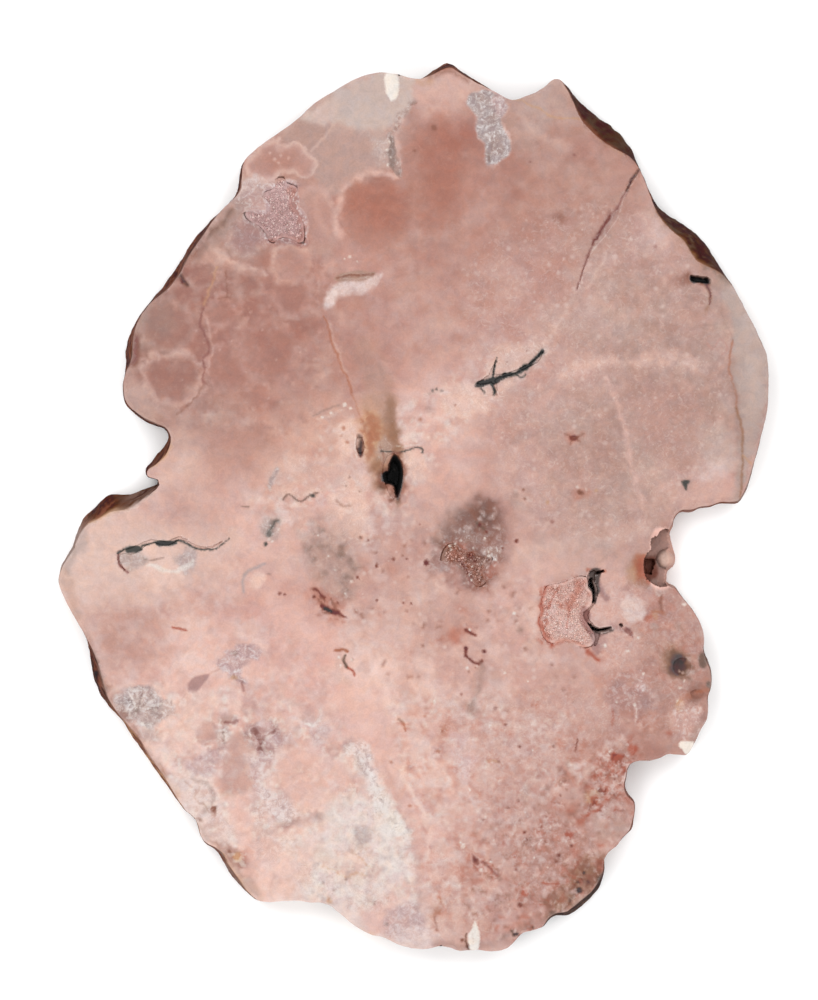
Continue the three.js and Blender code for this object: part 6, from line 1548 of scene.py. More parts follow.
# pale rims and red bands round the lobes of the north-west, and the unpolished round hollow
BANDS = (
    vein(Hue.BLUSH, 5, 5, 340, 236, 336, 216, 340, 196, 350, 182, 366, 173, 382, 172, 394, 178,
         strength=0.55),
    vein(Hue.BLUSH, 5, 4, 396, 170, 399, 150, 396, 134, 404, 120, strength=0.45),
    vein(Hue.SHELL, 4, 4, 302, 196, 310, 188, 322, 190, 330, 204, 334, 222, strength=0.5),
    # the red of the lobes and painted shade: crescents along the east and south edges of the druse, where
    # its walls go down
    vein(Hue.TERRACOTTA, 6, 7, 292, 190, 293, 204, 300, 218, 306, 234, 300, 244, strength=0.5),
    vein(Hue.TERRACOTTA, 5, 5, 270, 243, 282, 237, 296, 240, strength=0.5),
    patch(Hue.CLAY_ROSE, 12, 296, 192, 306, 186, 322, 190, 330, 208, 330, 240, 316, 250, 304, 236, 300, 214,
          strength=0.35),
    blob(Hue.MAUVE, 9, 250, 234, 17, 14, strength=0.35, ragged=4),
    vein(Hue.DEEP_SMOKE, 3, 3, 243, 214, 252, 224, 262, 230, 268, 236, strength=0.5, ragged=3, crystal=0.5),
    vein(Hue.LIVER, 3, 3, 176, 268, 180, 278, 187, 287, strength=0.9),
    blob(Hue.OXBLOOD, 2, 183, 281, 3, 2.4, 40),
    patch(Hue.MILKY_GREY, 9, 330, 100, 352, 84, 384, 76, 410, 84, 414, 104, 398, 124, 372, 130, 346, 122,
          strength=0.5, ragged=3),
    blob(None, 8, 682, 666, 17, 15, rough=0.3), blob(None, 6, 697, 694, 12, 9, rough=0.4),
    blob(Hue.LILAC, 14, 258, 196, 26, 20, strength=0.4, ragged=5, crystal=0.7),
    blob(Hue.MAUVE, 12, 268, 218, 38, 24, 30, strength=0.4, ragged=5, crystal=0.4),
)

# the rind's brown shade where it reaches onto the face
RIMS = (
    vein(Hue.SMOKE, 10, 12, 240, 204, 228, 220, 212, 238, 198, 254, strength=0.6, ragged=4),
    vein(Hue.UMBER, 4, 4, 234, 208, 220, 224, 208, 238, strength=0.5, ragged=3),
    vein(Hue.LIVER, 5, 6, 198, 250, 184, 264, 170, 280, 156, 296, strength=0.6, ragged=3),
    vein(Hue.UMBER, 3, 3, 176, 268, 181, 276, 188, 286, strength=0.9, ragged=1.6),
    vein(Hue.LIVER, 5, 5, 428, 76, 448, 70, 468, 80, strength=0.6, ragged=2.4),
    vein(Hue.OLIVE, 6, 11, 660, 208, 684, 232, 706, 258, 728, 276, strength=0.8, ragged=3),
    vein(Hue.TAN, 8, 12, 660, 218, 680, 242, 700, 264, 722, 284, strength=0.35, ragged=4),
    vein(Hue.LIVER, 6, 6, 88, 640, 93, 664, 106, 692, 124, 718, 142, 744, 162, 776, strength=0.5, ragged=3),
    vein(Hue.TAN, 8, 8, 62, 574, 74, 604, 90, 650, 104, 690, strength=0.5, ragged=3),
    vein(Hue.TAN, 6, 7, 196, 826, 214, 846, 236, 872, 262, 896, strength=0.5, ragged=3),
)

CHIPS = (
    patch(Hue.CHALK_AND_GLINT, 1.2, 385, 76, 391, 72, 398, 77, 399, 88, 396, 98, 390, 100, 386, 90, ragged=1,
          rough=0.7),
    patch(Hue.CHALK_AND_GLINT, 1, 679, 745, 682, 741, 688, 741, 694, 743, 692, 750, 687, 755, 683, 750, ragged=0.6,
          rough=0.7),
    patch(Hue.CHALK_AND_GLINT, 1, 475, 921, 478, 930, 480, 940, 478, 950, 470, 950, 468, 941, 471, 930, ragged=0.8,
          rough=0.7),
    flecks(Hue.LIVER, 1.6, 462, 940, 1.8, 467, 946, 2),
    vein(Hue.UMBER, 2, 2, 467, 934, 465, 941, 468, 949, strength=0.8),
    vein(Hue.TAN, 1.4, 1, 473, 933, 474, 944, strength=0.6),
)

PATTERN = (*LEVELS, *GRAINS, *NORTH_WEST, *WEST_VEINS, *NORTH, *NORTH_EAST, *EAST, *MIDDLE, *SMOKY_DRUSE,
           *EAST_POCKET, *SOUTH_WEST, *SOUTH, *SOUTH_EAST, *TOP_GRAINS, *SOUTH_LOBES, *BANDS, *RIMS, *CHIPS)


@dataclass(frozen=True)
class Pit:
    """How far down a hollow or a fissure may go: a shallow ledge, and a deep part where it has one."""

    around: Blob  # how far the ledge reaches
    ledge: float  # its depth, in metres
    deep: Mark | None = None
    slope: float = 3.0  # how far the deep part's wall leans, in survey divisions
    floor: float = 16 * MM  # how far the deep part may go down


PITS = (
    Pit(blob(None, 0, 394, 478, 26, 40), 0.5 * MM,
        patch(None, 0, 395, 455, 399, 459, 401.5, 467, 402.6, 477, 401.8, 487, 400, 493, 398, 500, 396, 494,
              395, 488, 392.5, 483.5, 387, 483, 383, 481, 382, 477, 385, 473, 389, 471, 389.5, 465,
              392, 460)),
    Pit(blob(None, 0, 683, 667, 20, 20), 0.03 * MM, blob(None, 0, 683, 666, 10, 8, 35), 16.0, 0.9 * MM),
    Pit(blob(None, 0, 697, 694, 16, 14), 0.03 * MM, blob(None, 0, 697, 694, 7, 5), 6.0, 0.6 * MM),
    Pit(blob(None, 0, 355, 278, 26, 14), 0.02 * MM, blob(None, 0, 355, 276, 14, 2.4), 3.0, 0.4 * MM),
    Pit(blob(None, 0, 700, 290, 18, 24), 0.12 * MM,
        patch(None, 0, 691, 276, 700, 277, 708, 278, 708, 283, 700, 282, 692, 281), 3.0, 5 * MM),
    # crusts cover the lined hollows, so the stone under them is shallow
    Pit(blob(None, 0, 272, 215, 42, 46), 1.3 * MM),
    Pit(blob(None, 0, 468, 566, 44, 40), 1.3 * MM),
    Pit(blob(None, 0, 566, 612, 46, 52), 1.3 * MM),
    # fissures
    Pit(blob(None, 0, 608, 230, 50, 76), 0.3 * MM),
    Pit(blob(None, 0, 512, 374, 46, 32), 0.8 * MM),
    Pit(blob(None, 0, 172, 556, 68, 34), 0.75 * MM),
    Pit(blob(None, 0, 360, 446, 9, 20), 0.8 * MM),
    Pit(blob(None, 0, 629, 633, 8, 14), 0.25 * MM),
    Pit(blob(None, 0, 484, 864, 22, 20), 0.3 * MM),
    Pit(blob(None, 0, 345, 663, 18, 22), 0.25 * MM),
)


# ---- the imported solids, as something to measure -------------------------------------------------------
class PackedSolid:
    """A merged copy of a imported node, for ray casting and slicing."""

    def __init__(self, node: str) -> None:
        """Read the node's mesh.

        Args:
            node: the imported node's name.
        """
        mesh = bpy.data.objects[node].data
        corners = np.empty(len(mesh.vertices) * 3)
        mesh.vertices.foreach_get("co", corners)
        loose = np.round(corners.reshape(-1, 3), 7)
        self.corners, merged = np.unique(loose, axis=0, return_inverse=True)
        mesh.calc_loop_triangles()
        triangles = np.empty(len(mesh.loop_triangles) * 3, int)
        mesh.loop_triangles.foreach_get("vertices", triangles)
        self.triangles = merged.reshape(-1)[triangles].reshape(-1, 3)
        self.tree = BVHTree.FromPolygons(self.corners.tolist(), self.triangles.tolist())
        self.top = self.corners[:, 2].max()

    def height(self, x: float, y: float) -> float | None:
        """Find the highest surface at a place, or None beside the solid and in its gaps."""
        hit = self.tree.ray_cast(Vector((x, y, self.top + 10 * MM)), Vector((0, 0, -1)))[0]
        return None if hit is None else hit.z

    def heights(self, places: Array, missing: float) -> Array:
        """Find the highest surface at many places.

        Args:
            places: rows of x and y.
            missing: the height given where there is no surface.

        Returns:
            One height for each place.
        """
        found = (self.height(x, y) for x, y in places)
        return np.array([missing if z is None or z < 0.1 * MM else z for z in found])

    def slice(self, level: float) -> list[Array]:
        """Cut the solid with a level plane.

        Args:
            level: the plane's height, in metres.

        Returns:
            The closed loops of the cut, the longest first, each as rows of x and y.
        """
        z = self.corners[:, 2] - level
        following: dict[tuple[int, int], tuple[int, int]] = {}
        places: dict[tuple[int, int], Array] = {}
        for triangle in self.triangles:
            above = z[triangle] > 0
            if above.all() or not above.any():
                continue
            crossed: dict[bool, tuple[int, int]] = {}
            for k in range(3):
                a, b = int(triangle[k]), int(triangle[(k + 1) % 3])
                if (z[a] > 0) != (z[b] > 0):
                    edge = (min(a, b), max(a, b))
                    t = z[a] / (z[a] - z[b])
                    places[edge] = self.corners[a, :2] * (1 - t) + self.corners[b, :2] * t
                    crossed[bool(z[a] > 0)] = edge
            following[crossed[False]] = crossed[True]
        loops = []
        while following:
            start, step = following.popitem()
            chain = [start]
            while step != start:
                chain.append(step)
                step = following.pop(step)
            loops.append(np.array([places[edge] for edge in chain]))
        return sorted(loops, key=ring_length, reverse=True)


def ring_length(ring: Array) -> float:
    """Measure once round a closed ring."""
    return float(np.hypot(*(np.roll(ring, -1, 0) - ring).T).sum())


def ring_area(ring: Array) -> float:
    """Measure a ring's area, positive where it runs anticlockwise."""
    nxt = np.roll(ring, -1, 0)
    return float((ring[:, 0] * nxt[:, 1] - nxt[:, 0] * ring[:, 1]).sum() / 2)


def respaced(ring: Array, step: float) -> Array:
    """Space a closed ring's points evenly, running anticlockwise.

    Args:
        ring: rows of x and y.
        step: the distance wanted between points.

    Returns:
        The new rows.
    """
    if ring_area(ring) < 0:
        ring = ring[::-1]
    closed = np.vstack((ring, ring[:1]))
    run = np.concatenate(([0.0], np.cumsum(np.hypot(*np.diff(closed, axis=0).T))))
    count = max(8, round(run[-1] / step))
    at = np.arange(count) * run[-1] / count
    return np.column_stack([np.interp(at, run, closed[:, k]) for k in (0, 1)])


def eased(rows: Array, reach: int) -> Array:
    """Average each row of a closed sequence with its neighbours.

    Args:
        rows: one row for each place on a ring.
        reach: how many neighbours on either side take part.

    Returns:
        The averaged rows.
    """
    weights = np.hanning(2 * reach + 3)[1:-1]
    total = sum(weight * np.roll(rows, k - reach, 0) for k, weight in enumerate(weights))
    return total / weights.sum()


def outward(ring: Array, reach: int) -> Array:
    """Give the direction away from an anticlockwise ring at each of its points.

    Args:
        ring: rows of x and y.
        reach: how many neighbours on either side even it out.

    Returns:
        One row of length 1 for each point.
    """
    ahead = eased(np.roll(ring, -1, 0) - np.roll(ring, 1, 0), reach)
    ahead /= np.hypot(*ahead.T)[:, None]
    return np.column_stack((ahead[:, 1], -ahead[:, 0]))


def distance_to_points(places: Array, targets: Array) -> Array:
    """Find how far each place lies from the nearest of some points.

    Args:
        places: rows of x and y.
        targets: rows of x and y.

    Returns:
        One distance for each place.
    """
    tree = KDTree(len(targets))
    for k, (x, y) in enumerate(targets.tolist()):
        tree.insert((x, y, 0), k)
    tree.balance()
    return np.array([tree.find((x, y, 0))[2] for x, y in places.tolist()])


def between(points: Array, outer: Array, holes: Iterable[Array], edge_gap: float,
            hole_gap: float = 0.0) -> Array:
    """Keep the points that lie inside a ring and outside its holes, clear of their edges.

    Args:
        points: rows of x and y.
        outer: the ring.
        holes: the rings of the holes.
        edge_gap: the least distance from the ring.
        hole_gap: the least distance from a hole.

    Returns:
        The rows that are kept.
    """
    points = points[inside(*points.T, outer)]
    points = points[distance_to_points(points, outer) > edge_gap]
    for hole in holes:
        points = points[~inside(*points.T, hole)]
        points = points[distance_to_points(points, hole) > hole_gap]
    return points


def grown(cells: Array) -> Array:
    """Spread a grid of flags to the neighbouring cells."""
    spread = cells.copy()
    for axis in (0, 1):
        for step in (-1, 1):
            spread |= np.roll(cells, step, axis)
    return spread


def hex_grid(outer: Array, step: float, seed: int) -> Array:
    """Fill a ring's bounding box with points in offset rows, each nudged a little.

    Args:
        outer: rows of x and y that the box holds.
        step: the spacing.
        seed: picks one of many patterns.

    Returns:
        Rows of x and y.
    """
    low, high = outer.min(0), outer.max(0)
    columns = np.arange(low[0], high[0] + step, step)
    rows = np.arange(low[1], high[1] + step, step * math.sqrt(0.75))
    x, y = np.meshgrid(columns, rows)
    x = x + (np.arange(len(rows)) % 2)[:, None] * step / 2
    shake = np.random.default_rng(seed).uniform(-0.22, 0.22, (2, *x.shape)) * step
    return np.column_stack(((x + shake[0]).ravel(), (y + shake[1]).ravel()))


def linked(name: str, data: bpy.types.ID) -> bpy.types.Object:
    """Make an object from a mesh, a light or a camera, and put it in the scene."""
    obj = bpy.data.objects.new(name, data)
    bpy.context.scene.collection.objects.link(obj)
    return obj


# ---- the slab's surface -----------------------------------------------------------------------------
@dataclass
class SlabSurface:
    """The whole stone: polished face, natural rind, sawn back and the walls of its through gaps."""

    painter: Painter  # colours the stone
    node: str = "slab"
    column_step: float = 1.05 * MM  # along the rind
    face_step: float = 1.2 * MM  # across the quiet parts of the face
    fine_step: float = 0.53 * MM  # where veins, lobes and druse need it
    close_step: float = 0.285 * MM  # at the edges of hollows
    cell: float = 1.3 * MM  # of the map of hollows
    edge_cell: float = 0.5 * MM  # of the map of the hollows' edges
    sunk_depth: float = 0.12 * MM  # a place this far below the face is in a hollow
    flat_edge: float = 1.6 * MM  # the face stays flat this far from its edge, except beside a shelf
    back_step: float = 2.6 * MM
    gap_step: float = 0.8 * MM  # round the gaps that go through
    gap_level: float = 0.4 * MM  # height at which the gaps are traced
    least_gap: float = 3 * MM  # shorter loops are slivers of the cut, not gaps
    widest: float = 5.77 * MM  # height of the widest outline
    overhang: float = 14 * MM  # the furthest that the rind reaches inward
    stand_off: float = 0.8 * MM  # outside the widest outline, where the wall is measured from
    levels: int = 37  # heights at which the wall is measured
    shelf_jump: float = 2.6 * MM  # a step in the wall that counts as a shelf
    rows: tuple[float, ...] = (0, .03, .07, .12, .18, .25, .32, .39, .46, .53, .6, .67, .74, .8, .86, .91,
                               .95, .98, 1)  # heights on the wall, of which 0.32 is the widest
    solid: PackedSolid = field(init=False)
    thickness: float = field(init=False)
    ring: Array = field(init=False)  # the widest outline
    inward: Array = field(init=False)  # the direction into the stone at each of its points
    is_shelf: Array = field(init=False)  # where the wall ends on a shelf below the face
    rind_width: Array = field(init=False)  # how wide the rind is that shows beyond the face
    corner: Array = field(init=False)  # of the map of hollows
    hollow: Array = field(init=False)  # the cells of that map in which hollows lie
    lined: int = 0  # how many points line the gaps

    def build(self) -> bpy.types.Object:
        """Make the stone.

        Returns:
            The finished object, with its colours as attributes.
        """
        self.solid = PackedSolid(self.node)
        self.thickness = self.solid.top
        wall = self.wall()
        gaps = [respaced(loop, self.gap_step) for loop in self.solid.slice(self.gap_level)[1:]]
        vertices: list[Array] = [wall.reshape(-1, 3)]
        columns = len(self.ring)
        triangles: list[Array] = [self.quilt(len(self.rows), columns, 0)]
        start = wall.size // 3
        tops, bottoms = [], []
        for loop in (gap for gap in gaps if ring_length(gap) > self.least_gap):
            lining = self.lining(loop)
            depth_rows, across = lining.shape[:2]
            vertices.append(lining.reshape(-1, 3))
            triangles.append(self.quilt(depth_rows, across, start)[:, ::-1])
            bottoms.append(start + np.arange(across))
            tops.append(start + (depth_rows - 1) * across + np.arange(across))
            start += lining.size // 3
        self.lined = start - wall.size // 3
        kinds = [np.full(sum(len(part) for part in triangles), 1)]
        edge = np.vstack(vertices)
        crest = (len(self.rows) - 1) * columns + np.arange(columns)
        face, face_triangles = self.face(edge, crest, tops, start)
        start += len(face)
        back, back_triangles = self.back(edge, np.arange(columns), bottoms, start)
        vertices += [face, back]
        triangles += [face_triangles, back_triangles]
        kinds += [np.zeros(len(face_triangles), int), np.full(len(back_triangles), 2)]
        points = np.vstack(vertices)
        faces = np.vstack(triangles)
        LOG.info("slab: %d corners, %d triangles", len(points), len(faces))
        obj = mesh_object("polished_slab", points, faces)
        obj.data.polygons.foreach_set("material_index", np.concatenate(kinds).astype(np.int32))
        self.colour(obj, points, columns)
        return obj

    # -- rind
    def wall(self) -> Array:
        """Lay columns of points up the rind.

        Returns:
            An array of rows from the back up, by columns round the stone, by x, y and z.
        """
        ring = respaced(self.solid.slice(self.widest)[0], self.column_step)
        ring = respaced(eased(ring, 2), self.column_step)
        self.ring, self.inward = ring, -outward(ring, 3)
        levels = np.linspace(0.02 * MM, self.thickness - 0.02 * MM, self.levels)
        reach = np.array([self.steps_in(level) for level in levels])
        jumps = np.diff(reach, axis=0) > self.shelf_jump
        jumps[levels[:-1] < self.widest] = False
        height = np.where(jumps.any(0), levels[np.argmax(jumps, 0)], self.thickness)
        self.is_shelf = jumps.any(0)
        share = np.array(self.rows)[:, None]
        z = share * height[None, :]
        inset = np.empty(z.shape)
        for column in range(len(ring)):
            inset[:, column] = np.interp(z[:, column], levels, reach[:, column])
        inset = eased(inset.T, 1).T
        rind = np.clip(inset[-1] / MM, 0.3, 5)
        bump = np.sin(np.pi * np.clip(share, 0, 1)) ** 0.6 * np.minimum(0.13 + 0.07 * rind, 0.45)[None, :]
        along = np.arange(len(ring)) * self.column_step / MM
        swell = noise(np.broadcast_to(along, z.shape), z / MM, 3.1, Seed.RIND_SWELL, 3)
        inset += bump * swell * MM
        inset[-1] += 0.12 * MM * noise(along, along * 0, 1.9, Seed.CREST_EAST, 2)
        place = ring[None] + inset[..., None] * self.inward[None]
        wall = np.dstack((place, z))
        worn = 0.05 * MM * (1 + noise(along, along * 0, 2.3, Seed.CREST_LOW, 2))
        wall[-1, ~self.is_shelf, 2] -= worn[~self.is_shelf]
        self.rind_width = np.clip(inset[-1] - inset[self.rows.index(0.32)], 0.2 * MM, None)
        return wall

    def steps_in(self, level: float) -> Array:
        """Find how far the wall lies inside the widest outline at one height, for each column."""
        found = np.empty(len(self.ring))
        reach = self.overhang + self.stand_off
        for k, ((x, y), (dx, dy)) in enumerate(zip(self.ring, self.inward)):
            start = Vector((x - dx * self.stand_off, y - dy * self.stand_off, level))
            distance = self.solid.tree.ray_cast(start, Vector((dx, dy, 0)), reach)[3]
            found[k] = self.overhang if distance is None else distance - self.stand_off
        return found

    def lining(self, loop: Array) -> Array:
        """Line a through gap.

        Args:
            loop: the gap's outline.

        Returns:
            An array of rows from the back up, by places round the gap, by x, y and z.
        """
        away = outward(loop, 1)
        top = self.solid.heights(loop + away * 0.25 * MM, self.thickness)
        along = np.arange(len(loop)) * self.gap_step / MM
        rows = []
        for share in (0, 0.1, 0.3, 0.5, 0.65, 0.76, 0.82, 0.87, 0.91, 0.95, 1):
            z = top * share
            belly = math.sin(math.pi * share)
            swell = noise(along, z / MM, 2.7, Seed.GAP_SWELL, 2) * 0.22 * belly * MM
            narrow = 0.55 * MM * smoothstep(self.thickness - z, 0.9 * MM, 3.2 * MM) * belly ** 0.3
            rows.append(np.column_stack((loop + away * (swell - narrow)[:, None], z)))
        return np.array(rows)

    @staticmethod
    def quilt(rows: int, columns: int, start: int) -> Array:
        """Join a grid of points, closed across its columns, by triangles that face outward.

        Args:
            rows: how many rows.
            columns: how many points in each row.
            start: the number of the first point.

        Returns:
            One row of three point numbers for each triangle.
        """
        row, column = np.meshgrid(np.arange(rows - 1), np.arange(columns), indexing="ij")
        a = start + row * columns + column
        b = start + row * columns + (column + 1) % columns
        c, d = b + columns, a + columns
        return np.concatenate([np.stack(three, -1).reshape(-1, 3) for three in ((a, b, c), (a, c, d))])

    # -- faces
    def face(self, edge: Array, crest: Array, gap_rings: list[Array], start: int) -> tuple[Array, Array]:
        """Cover the polished side, down into every hollow.

        Args:
            edge: the points made so far.
            crest: numbers of the points along the face's edge.
            gap_rings: numbers of the points round each gap.
            start: the number that the first new point takes.

        Returns:
            The new points, and triangles that face up.
        """
        outer = edge[crest, :2]
        inner = self.scatter(outer, [edge[ring, :2] for ring in gap_rings])
        triangles = self.triangulate(edge, crest, gap_rings, inner, start)
        z = np.maximum(self.solid.heights(inner, self.thickness), self.ledges(inner))
        shelf = outer[self.is_shelf]
        by_edge = distance_to_points(inner, outer) < self.flat_edge
        by_shelf = distance_to_points(inner, shelf) < 4 * MM if len(shelf) else np.zeros(len(inner), bool)
        shallow = self.thickness - z < 6 * MM
        z = np.where(by_edge & ~by_shelf & shallow, self.thickness, z)
        depth = self.thickness - z
        gx, gy = on_grid(inner[:, 0], inner[:, 1])
        rough = noise(gx, gy, 4.2, Seed.PIT_GRAIN, 3) * 0.22 + noise(gx, gy, 13, Seed.PIT_SWELL, 2) * 0.25
        z = z + np.clip(depth / (1.2 * MM), 0, 1) * rough * MM
        z = np.minimum(z, self.thickness)
        return np.column_stack((inner, z)), triangles

    def ledges(self, places: Array) -> Array:
        """Find how high the ledges in the hollows stand.

        Args:
            places: rows of x and y.

        Returns:
            The least height of the surface at each place.
        """
        x, y = on_grid(places[:, 0], places[:, 1])
        least = np.zeros(len(x))
        for pit in PITS:
            within = pit.around.depth(x, y) > 0
            least[within] = self.thickness - pit.ledge
            if pit.deep:
                open_share = smoothstep(pit.deep.depth(x[within], y[within]), -pit.slope / 2, pit.slope / 2)
                least[within] -= open_share ** 1.5 * pit.floor
        return least

    def back(self, edge: Array, rim: Array, gap_rings: list[Array], start: int) -> tuple[Array, Array]:
        """Close the sawn back.

        Args:
            edge: the points made so far.
            rim: numbers of the points along the back's edge.
            gap_rings: numbers of the points round each gap.
            start: the number that the first new point takes.

        Returns:
            The new points, and triangles that face down.
        """
        outer = edge[rim, :2]
        inner = between(hex_grid(outer, self.back_step, Seed.BACK_POINTS), outer,
                        [edge[ring, :2] for ring in gap_rings], self.back_step * 0.5, self.back_step * 0.4)
        triangles = self.triangulate(edge, rim, gap_rings, inner, start)
        return np.column_stack((inner, np.zeros(len(inner)))), triangles[:, ::-1]

    def scatter(self, outer: Array, gap_rings: list[Array]) -> Array:
        """Choose the face's inner points, closer together where the pattern is fine.

        Args:
            outer: the face's edge.
            gap_rings: the edges of the gaps.

        Returns:
            Rows of x and y.
        """
        coarse = hex_grid(outer, self.face_step, Seed.QUIET_POINTS)
        fine = hex_grid(outer, self.fine_step, Seed.FINE_POINTS)
        self.mark_hollows(coarse, outer)
        coarse, fine = coarse[~self.is_fine(coarse)], fine[self.is_fine(fine)]
        close = self.near_hollows(fine, outer)
        points = np.vstack((coarse, fine[distance_to_points(fine, close) > 0.3 * MM], close))
        return between(points, outer, gap_rings, 0.45 * MM, 0.3 * MM)

    def cells(self, places: Array) -> tuple[Array, Array]:
        """Find the cells of the hollows' map in which places lie."""
        column, row = ((places - self.corner) / self.cell).astype(int).T
        return np.clip(column, 0, self.hollow.shape[0] - 1), np.clip(row, 0, self.hollow.shape[1] - 1)

    def is_sunk(self, places: Array) -> Array:
        """Tell which places lie below the polished face."""
        heights = np.maximum(self.solid.heights(places, self.thickness), self.ledges(places))
        return self.thickness - heights > self.sunk_depth

    def mark_hollows(self, places: Array, outer: Array) -> None:
        """Map where the hollows lie.

        Args:
            places: points all over the face.
            outer: the face's edge.
        """
        self.corner = outer.min(0) - self.cell
        count = np.ceil((outer.max(0) - self.corner) / self.cell).astype(int) + 2
        self.hollow = np.zeros(count, bool)
        column, row = self.cells(places[self.is_sunk(places) & inside(*places.T, outer)])
        self.hollow[column, row] = True
        self.hollow = grown(self.hollow)

    def near_hollows(self, fine: Array, outer: Array) -> Array:
        """Choose closely spaced points at the hollows' edges and along the fissures.

        Args:
            fine: the narrowly spaced points.
            outer: the face's edge.

        Returns:
            Rows of x and y.
        """
        count = np.ceil((outer.max(0) - self.corner) / self.edge_cell).astype(int) + 2

        def cells(places: Array) -> Array:
            """Find the cells in which places lie."""
            return np.clip(((places - self.corner) / self.edge_cell).astype(int), 0, count - 1)

        sunk = self.is_sunk(fine)
        low, level = np.zeros(count, bool), np.zeros(count, bool)
        low[tuple(cells(fine[sunk]).T)] = True
        level[tuple(cells(fine[~sunk]).T)] = True
        close = hex_grid(outer, self.close_step, Seed.CLOSE_POINTS)
        return close[(grown(low) & grown(level))[tuple(cells(close).T)]]

    def is_fine(self, places: Array) -> Array:
        """Tell where the pattern or the form needs closely spaced points."""
        x, y = on_grid(places[:, 0], places[:, 1])
        return self.painter.is_fine(x, y) | self.hollow[self.cells(places)]

    @staticmethod
    def triangulate(edge: Array, rim: Array, gap_rings: list[Array], inner: Array, start: int) -> Array:
        """Join an edge, the rings of its gaps and points between them.

        Args:
            edge: all points that the rings are numbered in.
            rim: numbers of the points along the outer edge.
            gap_rings: numbers of the points round each gap.
            inner: rows of x and y of the points between.
            start: the number of the first inner point.

        Returns:
            Triangles that face up, as numbers into all points.
        """
        rings = [rim, *gap_rings]
        numbers = np.concatenate((*rings, start + np.arange(len(inner))))
        flat = np.vstack((*(edge[ring, :2] for ring in rings), inner)) / MM
        sides, offset = [], 0
        for ring in rings:
            order = np.arange(len(ring)) + offset
            sides += np.column_stack((order, np.roll(order, -1))).tolist()
            offset += len(ring)
        result = delaunay_2d_cdt([Vector(p) for p in flat.tolist()], sides, [], 0, 1e-6, True)
        made, origins = result[0], result[3]
        owner = np.array([origin[0] if origin else -1 for origin in origins])
        if (owner < 0).any():
            LOG.warning("%d corners added where edges cross", int((owner < 0).sum()))
            spare = np.array([tuple(p) for p in made])
            for k in np.nonzero(owner < 0)[0]:
                owner[k] = int(np.argmin(np.hypot(*(flat - spare[k]).T)))
        triangles = np.array(result[2])
        centre = flat[owner[triangles]].mean(1)
        keep = inside(*centre.T, flat[:len(rim)])
        for ring in gap_rings:
            keep &= ~inside(*centre.T, edge[ring, :2] / MM)
        triangles = numbers[owner[triangles[keep]]]
        spread = [len(set(t)) == 3 for t in triangles.tolist()]
        return triangles[spread]

    # -- colour
    def colour(self, obj: bpy.types.Object, points: Array, columns: int) -> None:
        """Give every corner its colour and textures.

        Args:
            obj: the stone.
            points: all corners.
            columns: how many columns the rind has.
        """
        x, y = on_grid(points[:, 0], points[:, 1])
        colour, textures = self.painter.paint(x, y)
        depth = self.thickness - points[:, 2]
        at_back = points[:, 2] < 0.5 * MM
        for texture in (Texture.GLINT, Texture.ROUGH):
            textures[texture][at_back] = 0
        # painted shade: the stone's colour is darkened the deeper it lies below the face, except on the
        # back
        colour *= 1 - 0.25 * smoothstep(depth, 1.2 * MM, 9 * MM)[:, None] * (~at_back)[:, None]
        sunk = smoothstep(depth, 0.04 * MM, 0.3 * MM)  # the polish ends where a hollow begins
        textures[Texture.ROUGH] = np.maximum(textures[Texture.ROUGH], sunk * ~at_back)
        walled = len(self.rows) * columns
        lined = slice(walled, walled + self.lined)
        colour[lined] = colour[lined] * 0.3 + 0.7 * srgb(Hue.IVORY.value)  # painted light: the gaps' walls are lightened towards ivory so that the deep gaps look grey instead of black
        colour[:walled], cover = Rind(self).paint(colour[:walled], points[:walled], columns)
        textures[Texture.ROUGH][:walled] = np.maximum(textures[Texture.ROUGH][:walled], 0.35 + 0.65 * cover)
        for texture in (Texture.PEARL, Texture.GLINT, Texture.RUST):
            textures[texture][:walled] *= 1 - cover
        write_colours(obj, colour, textures)


def mesh_object(name: str, points: Array, faces: Array) -> bpy.types.Object:
    """Make a mesh object from triangles.

    Args:
        name: the object's name.
        points: rows of x, y and z, in metres.
        faces: rows of three point numbers.

    Returns:
        The object, in the scene.
    """
    mesh = bpy.data.meshes.new(name)
    mesh.from_pydata(points.tolist(), [], faces.tolist())
    mesh.validate()
    mesh.shade_smooth()
    mesh.set_sharp_from_angle(angle=SHARP_ANGLE)
    return linked(name, mesh)


def write_colours(obj: bpy.types.Object, colour: Array, textures: dict[Texture, Array]) -> None:
    """Store colours and texture strengths as attributes.

    Args:
        obj: the object that takes them.
        colour: one sRGB row for each corner.
        textures: one strength for each corner.
    """
    rows = np.column_stack((to_linear(colour) * CAST, np.ones(len(colour))))
    attribute = obj.data.attributes.new("stone", "FLOAT_COLOR", "POINT")
    attribute.data.foreach_set("color", rows.astype(np.float32).ravel())
    for texture, strength in textures.items():
        attribute = obj.data.attributes.new(texture.value, "FLOAT", "POINT")
        attribute.data.foreach_set("value", strength.astype(np.float32))


# ---- rind -------------------------------------------------------------------------------------------
@dataclass(frozen=True)
class RindStretch:
    """A stretch of the natural rind, clockwise from one place on the outline to another."""

    start: Point
    end: Point
    shell: Hue  # its main colour
    mottle: Hue  # the patches in it
    seam: Hue  # the stain where it meets the polished face
    cover: float = 1.0  # how far up the wall it hides the stone


